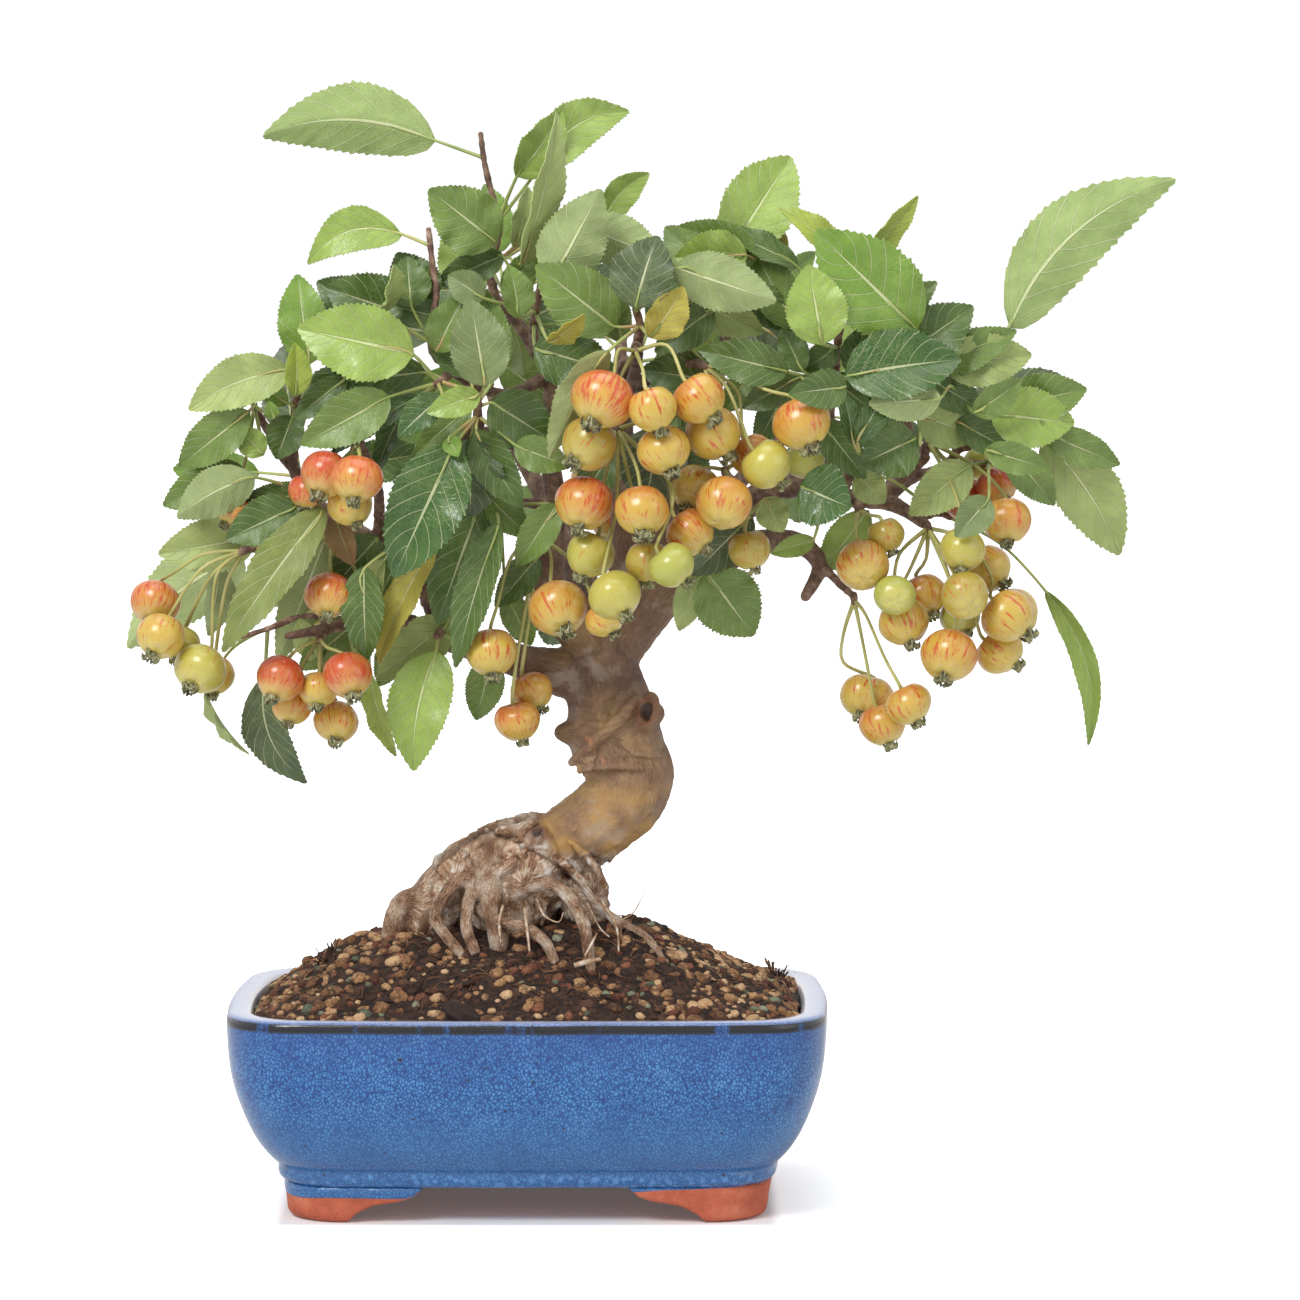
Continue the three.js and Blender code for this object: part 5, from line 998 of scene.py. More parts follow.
strands = []
while len(strands) < FIBRES:
    x, y = random.uniform(-1, 1) * RIM_INNER[0] / MM, random.uniform(-1, 1) * RIM_INNER[1] / MM
    inside = in_pot(POT_MIDDLE.x + x * MM, POT_MIDDLE.y + y * MM, 12 * MM)
    if inside and random.random() > 0.006 * math.hypot(x, y):
        strands.append(fibre(x, y, (5, 13), (0, 1.6), (0.14, 0.3)))
for tuft_x, tuft_y in TUFTS:
    for _ in range(TUFT_FIBRES):
        x, y = tuft_x + random.gauss(0, 2.4), tuft_y + random.gauss(0, 2.4)
        strands.append(fibre(x, y, (2, 5), (3, 8), (0.25, 0.5)))
fibre_stops = [(0.38, 44, 27, 20), (0.52, 84, 56, 40), (0.66, 140, 102, 74)]
peat_fibre = one_tone("peat_fibre", 0.9, 160, fibre_stops, 0.2, 2)
fibres = tubes("peat_fibres", strands, 0)
dress(fibres, peat_fibre)
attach(fibres, "root")

root_skin_stops = [(0.36, 136, 100, 72), (0.52, 190, 164, 136), (0.66, 230, 220, 206)]
root_skin = one_tone("fine_root_skin", 0.7, 240, root_skin_stops, 0.2)
root_runs = [rounded(limb_run(root)) for root in [*FINE_ROOTS, STRAW, WHITE_BIT]]
fine_roots = tubes("fine_roots", root_runs, 1)
dress(fine_roots, root_skin)
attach(fine_roots, "root")


# ---- Fruit bunches -----------------------------------------------------------------------------------
# Each bunch grows from the ringed end of a spur: long limp stalks, small waxy apples streaked orange and
# red, and on each its dried calyx of five curled sepals. One piece a bunch, grown on the wood.
# A bunch is its spur as (x, z, y, radius), then its fruits as (ripeness, x, z, y, radius, eye x, eye z,
# bends of the stalk as x, z, y). An eye nearer than the radius is turned to the front.
BUNCHES = {
    "front": ([
        (45, 363, -55, 2), (44, 362, -66, 1.9), (44, 360, -72, 1.6),
    ], [
        ("sunset", 30.5, 341, -92, 12, 26, 331, 37, 361, -84),
        ("peach", 51, 337, -99, 9.5, 54, 328, 47, 353, -90),
        ("orange", 70, 341, -88, 10.2, 76, 333, 57, 363, -80),
        ("olive", 25, 322.5, -80, 11, 19, 315, 38, 350, -75),
    ]),
    "front_right": ([
        (67, 355.5, -48, 1.9), (71, 355, -58, 1.7), (73, 354, -63, 1.5),
    ], [
        ("orange", 112.5, 331, -80, 11, 116, 321, 84, 353, -70, 97, 345, -76),
        ("peach", 76, 327, -78, 11, 82, 317, 75, 342, -72),
        ("green", 98, 314, -78, 10, 105, 306, 82, 345, -70),
        ("orange", 92, 318, -64, 9, 96, 310, 86, 344, -62),
    ]),
    "middle": ([
        (35, 331, -46, 2.1), (36, 330, -56, 2), (37, 328, -61, 1.6),
    ], [
        ("peach", 55.5, 320, -88, 10.3, 59, 311, 49, 332, -74),
        ("sunset", 23, 298, -90, 11.2, 21, 288, 30, 318, -78),
        ("orange", 46.5, 295, -92, 10, 47, 286, 44, 314, -82),
        ("green", 25.5, 277, -84, 9.6, 22, 268, 31, 306, -66),
        ("olive", 49, 274, -80, 8.5, 49, 265, 42, 306, -64),
        ("green", 35.5, 260, -88, 10.3, 40, 252, 36, 296, -66),
        ("orange", 66.5, 286, -74, 9.8, 73, 279, 56, 310, -68),
        ("lime", 59, 272.5, -98, 9, 66, 265, 59, 304, -80),
    ]),
    "over_trunk": ([
        (9, 284, -11, 2.2), (5, 285, -24, 1.9), (4, 284, -29, 1.6),
    ], [
        ("orange", 12, 254.5, -54, 11.3, 15, 246, 9, 277, -42),
        ("peach", 31, 250, -62, 7.5, 35, 244, 20, 272, -48),
        ("peach", -15.5, 236.5, -50, 10, -15, 227, -7, 276, -40, -13, 256, -48),
        ("orange", -5, 208, -34, 8.9, -3, 199, -4, 240, -34),
        ("orange", 1, 220, -20, 8.5, 5, 213, 0, 250, -29),
    ]),
    "right_of_middle": ([
        (82, 309, -42, 1.9), (81, 311, -52, 1.7), (81, 312, -56, 1.5),
    ], [
        ("orange", 80.5, 298, -78, 11, 79, 289), ("peach", 69, 304, -64, 10, 65, 296),
        ("olive", 91, 279, -60, 8.4, 93, 270, 90, 296, -56),
        ("lime", 114, 316, -58, 8, 117, 309, 98, 322, -58),
    ]),
    "right": ([
        (161, 291, -21, 2.2), (164, 289, -30, 1.9), (165, 287, -34, 1.6),
    ], [
        ("peach", 198.5, 251.5, -44, 11, 206, 244, 180, 283, -40, 191, 268, -43),
        ("orange", 173.5, 235, -54, 11, 171, 226, 175, 262, -48),
        ("peach", 194.5, 237, -32, 9.7, 202, 231, 180, 264, -34),
        ("lime", 151, 260, -60, 7.9, 151, 258, 153, 277, -46),
        ("peach", 155, 249, -46, 10, 158, 240, 158, 272, -40),
        ("orange", 163, 260, -30, 9, 166, 252, 164, 275, -32),
        ("olive", 180, 260, -50, 9.5, 182, 255, 172, 275, -44),
        ("lime", 178, 251, -30, 8, 180, 244, 172, 272, -30),
    ]),
    "far_right": ([
        (163, 316, -16, 2), (164, 322, -23, 1.8), (165, 324, -27, 1.6),
    ], [
        ("green", 179, 279, -48, 8.8, 178, 271, 175, 304, -42),
        ("peach", 189.5, 271, -34, 9.5, 196, 265, 181, 302, -34),
        ("orange", 197, 291, -44, 9.7, 197, 282, 186, 312, -38), ("red", 193, 305, -28, 8, 197, 299),
        ("red", 181, 299, -30, 9, 183, 291), ("lime", 187, 315, -18, 7.5, 191, 309),
    ]),
    "low_right": ([
        (134, 260, -21, 1.7), (134.5, 257, -27, 1.5),
    ], [
        ("peach", 157, 215, -48, 9, 161, 207, 139, 252, -36, 147, 234, -42),
        ("orange", 146, 206.5, -38, 9.2, 149, 198, 138, 240, -34),
        ("peach", 140, 217.5, -32, 9.7, 137, 210, 130, 244, -28, 130, 232, -30),
    ]),
    "under_fork": ([
        (136, 299, -17, 2.2), (136, 296, -26, 1.8), (136, 294, -30, 1.5),
    ], [
        ("olive", 147.5, 285, -50, 7.2, 150, 278, 141, 293, -40),
        ("orange", 138, 272.5, -54, 10.2, 139, 266, 135, 287, -44),
    ]),
    "far_left": ([
        (-108, 280, -35, 2), (-116, 279, -41, 1.7), (-119, 277.5, -42, 1.5),
    ], [
        ("sunset", -154.5, 257, -30, 9.8, -156, 249, -134, 277, -38, -147, 269, -34),
        ("peach", -152, 243, -42, 9.8, -155, 235, -135, 271, -42),
        ("green", -144, 240, -24, 8, -146, 233, -131, 268, -34),
        ("green", -136, 229.5, -38, 10.5, -140, 222, -129, 268, -42),
        ("peach", -130.5, 227, -20, 8.5, -131, 219, -125, 264, -34),
    ]),
    "low_left": ([
        (-82, 247, -28, 1.9), (-86, 243, -36, 1.7), (-87, 241, -39, 1.5),
    ], [
        ("red", -103, 225.5, -50, 9.5, -106, 218, -95, 238, -46),
        ("orange", -98, 214, -34, 8, -99, 207, -93, 232, -38), ("peach", -87.5, 221, -44, 7.7, -88, 214),
        ("red", -75, 227, -50, 9.5, -73, 219, -83, 238, -46),
        ("orange", -80, 207.5, -52, 9, -80, 200, -85, 226, -48),
    ]),
    "left": ([
        (-68, 319, -48, 1.9), (-70, 324, -56, 1.7), (-72, 325.5, -60, 1.5),
    ], [
        ("red", -84, 310, -70, 9.5, -86, 302), ("sunset", -71, 308, -84, 10, -72, 299),
        ("peach", -74, 297, -68, 9, -71, 289), ("red", -92, 303, -56, 7, -93, 296),
    ]),
    "left_inner": ([
        (-98, 283, -27, 2), (-99, 287, -35, 1.7), (-100, 289, -39, 1.5),
    ], [
        ("orange", -104, 279, -52, 8, -105, 272),
        ("sunset", -121, 294, -40, 7, -125, 289, -110, 295, -42),
    ]),
    "single_left": ([
        (-78, 289, -19, 2), (-80, 285, -29, 1.7), (-81, 283, -33, 1.4),
    ], [
        ("sunset", -82.5, 260, -48, 9.5, -83, 252, -82, 275, -42),
    ]),
    "back_left": ([
        (-78, 291, 25, 2.4), (-86, 286, 38, 1.7),
    ], [
        ("peach", -98, 268, 52, 9, -99, 260), ("orange", -82, 266, 60, 9.5, -82, 258),
        ("green", -90, 254, 44, 8.5, -91, 246),
    ]),
    "back": ([
        (37, 344, 34, 2.9), (36, 338, 52, 1.8),
    ], [
        ("orange", 27, 308, 70, 10, 26, 299), ("peach", 46, 304, 68, 9.5, 47, 295),
        ("sunset", 35, 290, 62, 9, 35, 282),
    ]),
}
# Ripeness: the flesh, the blush, and how much of the fruit it covers.
RIPENESS = {
    "red": ((208, 160, 78), (198, 78, 44), 0.72), "sunset": ((208, 170, 76), (208, 92, 50), 0.58),
    "orange": ((204, 166, 70), (208, 112, 54), 0.42), "peach": ((206, 176, 78), (210, 124, 64), 0.32),
    "olive": ((180, 160, 68), (196, 116, 56), 0.24), "green": ((190, 180, 82), (202, 130, 66), 0.12),
    "lime": ((176, 178, 82), (194, 142, 74), 0.04),
}
# Fruits with no calyx in sight, and fruits of two lobes, by bunch and number.
BARE_EYES = {("right_of_middle", 0), ("under_fork", 1), ("right", 3), ("right", 6)}
TWIN_LOBED = {("right", 0), ("low_right", 2)}
STALK_RADIUS = 0.7
PIT_DEPTH = 0.58
ROOT_SINK = 1.5
FRUIT_STEPS = [0, 3, -3, 6, -6, 9, 12, -9, 15, -12, 18, -15, 22, -18, 26, -21, 30]
EYE_RING = (1.06, 0.2)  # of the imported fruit, radius 1: how far out its last ring lies and how wide it is


def solid_points(name):
    """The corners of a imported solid, to find again where each of its fruits or leaves was set."""
    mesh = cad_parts[name].data
    found = kdtree.KDTree(len(mesh.vertices))
    for vert in mesh.vertices:
        found.insert(vert.co, vert.index)
    found.balance()
    return found


def rooting_path(stem):
    """A stem's points, its end drawn back to where the stalks root in it."""
    path = [seen(x, z, y) for x, z, y, _ in stem]
    path[-1] = path[-1].lerp(path[-2], ROOT_SINK * MM / (path[-1] - path[-2]).length)
    return path


def fruit_axis(x, z, radius, eye_x, eye_z):
    """The way from a fruit's middle to its eye."""
    dx = eye_x - x
    dz = eye_z - z
    return Vector((dx, -math.sqrt(max(0.0, radius * radius - dx * dx - dz * dz)), dz)).normalized()


def found_step(solid, x, z, y, axis, size):
    """How far back a fruit was set when the tree was grown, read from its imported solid."""
    ends = {step: seen(x, z, y + step) + axis * EYE_RING[0] * size for step in FRUIT_STEPS}
    return min(ends, key=lambda step: abs(solid.find(ends[step])[2] - EYE_RING[1] * size))


def model_apple():
    """A small apple of radius 1, its eye up: deep pit for the stalk, shallow puckered basin at the eye."""
    deselect_all()
    bpy.ops.mesh.primitive_uv_sphere_add(segments=26, ring_count=18, radius=1)
    apple = bpy.context.object
    for vert in apple.data.vertices:
        polar = math.acos(clamp(-vert.co.z, -1.0))
        around = math.atan2(vert.co.y, vert.co.x)
        pit = 0.34 * math.exp(-((polar / 0.36) ** 2))
        eye = math.pi - polar
        basin = 0.1 * math.exp(-((eye / 0.3) ** 2))
        pucker = 0.035 * math.cos(5 * around) * math.exp(-(((eye - 0.42) / 0.25) ** 2))
        wide = 1.045 - 0.04 * math.exp(-((eye / 0.9) ** 2)) + pucker
        vert.co = Vector((vert.co.x * wide, vert.co.y * wide, vert.co.z * 0.97 + pit - basin + pucker))
    return apple


def model_calyx():
    """The dried flower's cup on an apple of radius 1, its five sepals curled back."""
    deselect_all()
    bpy.ops.mesh.primitive_cylinder_add(vertices=10, radius=0.19, depth=0.36, location=(0, 0, 0.9))
    cup = bpy.context.object
    bpy.ops.object.mode_set(mode="EDIT")
    pick_top(cup)
    bpy.ops.mesh.inset(thickness=0.06, depth=0)
    bpy.ops.mesh.inset(thickness=0.04, depth=-0.14)
    bpy.ops.object.mode_set(mode="OBJECT")
    sepals = [cup]
    for number in range(5):
        deselect_all()
        bpy.ops.mesh.primitive_grid_add(x_subdivisions=2, y_subdivisions=5, size=1)
        sepal = bpy.context.object
        turn = Matrix.Rotation(2 * math.pi * (number + 0.2 * math.sin(3 * number)) / 5, 4, "Z")
        curl = 0.25 + 0.3 * math.sin(2.3 * number + 1)
        for vert in sepal.data.vertices:
            v = vert.co.y + 0.5
            half = 0.11 * (1 - v) ** 0.7 + 0.012
            out = 0.15 + 0.2 * v ** (1.1 + curl) + 0.04 * math.sin(9 * v)
            rise = 1.02 + 0.3 * v - (0.3 + curl * 0.6) * v ** 2.6
            vert.co = turn @ Vector((vert.co.x * 2 * half, out, rise + 0.5 * abs(vert.co.x) ** 1.5))
        apply_modifier(sepal, "SOLIDIFY", thickness=0.05)
        sepals.append(sepal)
    work_on(*sepals)
    bpy.ops.object.join()
    bpy.ops.object.transform_apply()
    bpy.ops.object.shade_smooth_by_angle(angle=math.radians(60))
    return cup


def copy_of(model, name, matrix):
    made = placed(name, model.data.copy())
    made.data.transform(matrix)
    return made


def paint(piece, **values):
    """Gives every point of the piece the same named values: numbers or colours."""
    count = len(piece.data.vertices)
    for name, value in values.items():
        if isinstance(value, tuple):
            field = piece.data.attributes.new(name, "FLOAT_COLOR", "POINT")
            field.data.foreach_set("color", value * count)
        else:
            point_values(piece, name, [value] * count)


apple_skin, tree, shader, where = finish(
    "apple_skin", 0.3, Coat_Weight=0.25, Coat_Roughness=0.15, Subsurface_Weight=0.06,
    Subsurface_Radius=(0.004, 0.0022, 0.001))
uv = node(tree, "UVMap").outputs[0]
flesh = own_field(tree, "flesh", "Color")
blush = own_field(tree, "blush", "Color")
cover = own_field(tree, "cover")
pole = component(tree, uv, 1)  # 0 at the stalk, 1 at the eye
patch = noise_at(tree, where, 70, 3)
shoulder = step_up(tree, pole, 0.95, 0.1)
blush_field = times(tree, shoulder, 0.34, times(tree, patch, 0.7, times(tree, cover, 0.75)))
skin_colour = mix(tree, step_up(tree, blush_field, 0.7, 1.25), flesh, blush)
meridians = stretched(tree, uv, 50.0, 3.8, 1.0)
own_place = stretched(tree, where, 40, 40, 40)
streak_way = node(tree, "VectorMath", {0: meridians, 1: own_place}, operation="ADD").outputs[0]
streaks = noise_at(tree, streak_way, 1.0, 3, 0.65)
streak_room = times(tree, step_up(tree, pole, 0.92, 0.6), step_up(tree, cover, 0.0, 0.3))
streak_mask = times(tree, step_up(tree, times(tree, cover, 0.14, streaks), 0.6, 0.68), streak_room)
pale_eye = times(tree, step_up(tree, pole, 0.66, 0.86), 0.5)
scurf_room = step_up(tree, times(tree, patch, 0.4, pole), 0.72, 1.05)
scurf = times(tree, step_up(tree, noise_at(tree, where, 900, 3, 0.7), 0.56, 0.66), scurf_room)
freckles = step_up(tree, noise_at(tree, where, 1300, 1), 0.7, 0.76)
coloured(tree, shader, layered(
    tree, skin_colour, (times(tree, streak_mask, 0.85), 196, 62, 30), (pale_eye, 214, 198, 110),
    (times(tree, scurf, 0.6), 226, 214, 190), (times(tree, freckles, 0.3), 246, 226, 176)))
tree.links.new(times(tree, scurf, 0.35, 0.28), shader.inputs["Roughness"])
bumped(tree, shader, calc(tree, "ADD", noise_at(tree, where, 190, 3), scurf), 0.12 * MM)

husk_stops = [(0.34, 62, 54, 42), (0.46, 128, 126, 90), (0.6, 166, 166, 126), (0.76, 198, 194, 160)]
calyx_husk = one_tone("calyx_husk", 0.8, 420, husk_stops, 0.4, 3, 0.6)


def stalk_skin(name, scale, stops):
    """The skin of the stalks of fruits and leaves."""
    skin, tree, shader, where = finish(name, 0.5)
    coloured(tree, shader, ramp(tree, noise_at(tree, where, scale, 3), stops))
    bumped(tree, shader, noise_at(tree, where, 900, 2), 0.15 * MM)
    return skin


stalk_stops = [(0.3, 152, 146, 82), (0.5, 180, 178, 104), (0.7, 204, 198, 132)]
green_stalk = stalk_skin("green_stalk", 60, stalk_stops)

spur_bark, tree, shader, where = finish("spur_bark", 0.75)
twigs = use_group(tree, twig_bark, where)
coloured(tree, shader, twigs["Colour"])
bumped(tree, shader, twigs["Height"], 0.6 * MM)


def spur(name, stem):
    """The ringed end of a spur, from inside its branch to a blunt tip."""
    piece = tubes(name, [rounded(limb_run(stem, 0.16))], 3)
    dress(piece, spur_bark)
    return piece


def gather(name, pieces, node_name):
    """Joins the pieces of one bunch or spray and lets the result stand for its solid."""
    work_on(*pieces)
    bpy.ops.object.join()
    whole = bpy.context.object
    whole.name = name
    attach(whole, "root")
    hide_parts(node_name)
    return whole


apple_model = model_apple()
calyx_model = model_calyx()
random.seed(23)
for bunch, (stem, fruits) in BUNCHES.items():
    solid = solid_points("bunch_" + bunch)
    root = rooting_path(stem)[-1]
    stalks = []
    pieces = [spur(bunch + "_spur", stem)]
    for number, (ripeness, x, z, y, radius, eye_x, eye_z, *bends) in enumerate(fruits):
        axis = fruit_axis(x, z, radius, eye_x, eye_z)
        size = radius * MM
        step = found_step(solid, x, z, y, axis, size)
        centre = seen(x, z, y + step)
        path = [root]
        count = len(bends) // 3
        for k in range(count):
            bend_x, bend_z, bend_y = bends[3 * k:3 * k + 3]
            path.append(seen(bend_x, bend_z, bend_y + step * (k + 1) / (count + 1)))
        path.append(centre - axis * size * 1.02)
        path.append(centre - axis * size * PIT_DEPTH * 0.9)
        thick = [1.5, *[1] * (len(path) - 3), 1.15, 1.7]
        stalks.append(smooth_run(path, [STALK_RADIUS * share * MM for share in thick], 3))
        turned = axis.to_track_quat("Z", "Y").to_matrix().to_4x4()
        turned = turned @ Matrix.Rotation(random.uniform(0, 6.28), 4, "Z")
        squash = [random.uniform(*span) for span in ((0.96, 1.04), (0.96, 1.04), (0.95, 1.03))]
        place = Matrix.Translation(centre) @ turned @ Matrix.Diagonal((*squash, 1))
        place = place @ Matrix.Scale(size, 4)
        apple = copy_of(apple_model, "apple", Matrix.Identity(4))
        lean = random.uniform(-0.12, 0.12)
        for vert in apple.data.vertices:
            co = vert.co
            bulge = 1 + 0.05 * noise.noise(co * 1.1 + Vector((number, 7 * radius, step)))
            if (bunch, number) in TWIN_LOBED:
                bulge *= 1 + 0.12 * abs(co.x) - 0.12 * math.exp(-((co.x / 0.25) ** 2))
            leant = co.x * bulge + lean * (co.z + 0.6) * 0.3
            vert.co = Vector((leant, co.y * bulge, co.z * (1 + 0.5 * (bulge - 1))))
        apple.data.transform(place)
        flesh_tone, blush_tone, covered = RIPENESS[ripeness]
        paint(apple, flesh=rgb(*flesh_tone), blush=rgb(*blush_tone), cover=covered)
        dress(apple, apple_skin)
        work_on(apple)
        bpy.ops.object.shade_smooth()
        pieces.append(apple)
        if (bunch, number) not in BARE_EYES:
            grown = random.uniform(0.85, 1.2)
            cup_place = place @ Matrix.Translation((lean * 0.45, 0, 0))
            cup_place = cup_place @ Matrix.Diagonal((grown, grown, 1, 1))
            calyx = copy_of(calyx_model, "calyx", cup_place)
            dress(calyx, calyx_husk)
            pieces.append(calyx)
    stalk_piece = tubes(bunch + "_stalks", stalks, 1)
    dress(stalk_piece, green_stalk)
    gather(bunch + "_fruits", [*pieces, stalk_piece], "bunch_" + bunch)
bpy.data.objects.remove(apple_model)
bpy.data.objects.remove(calyx_model)

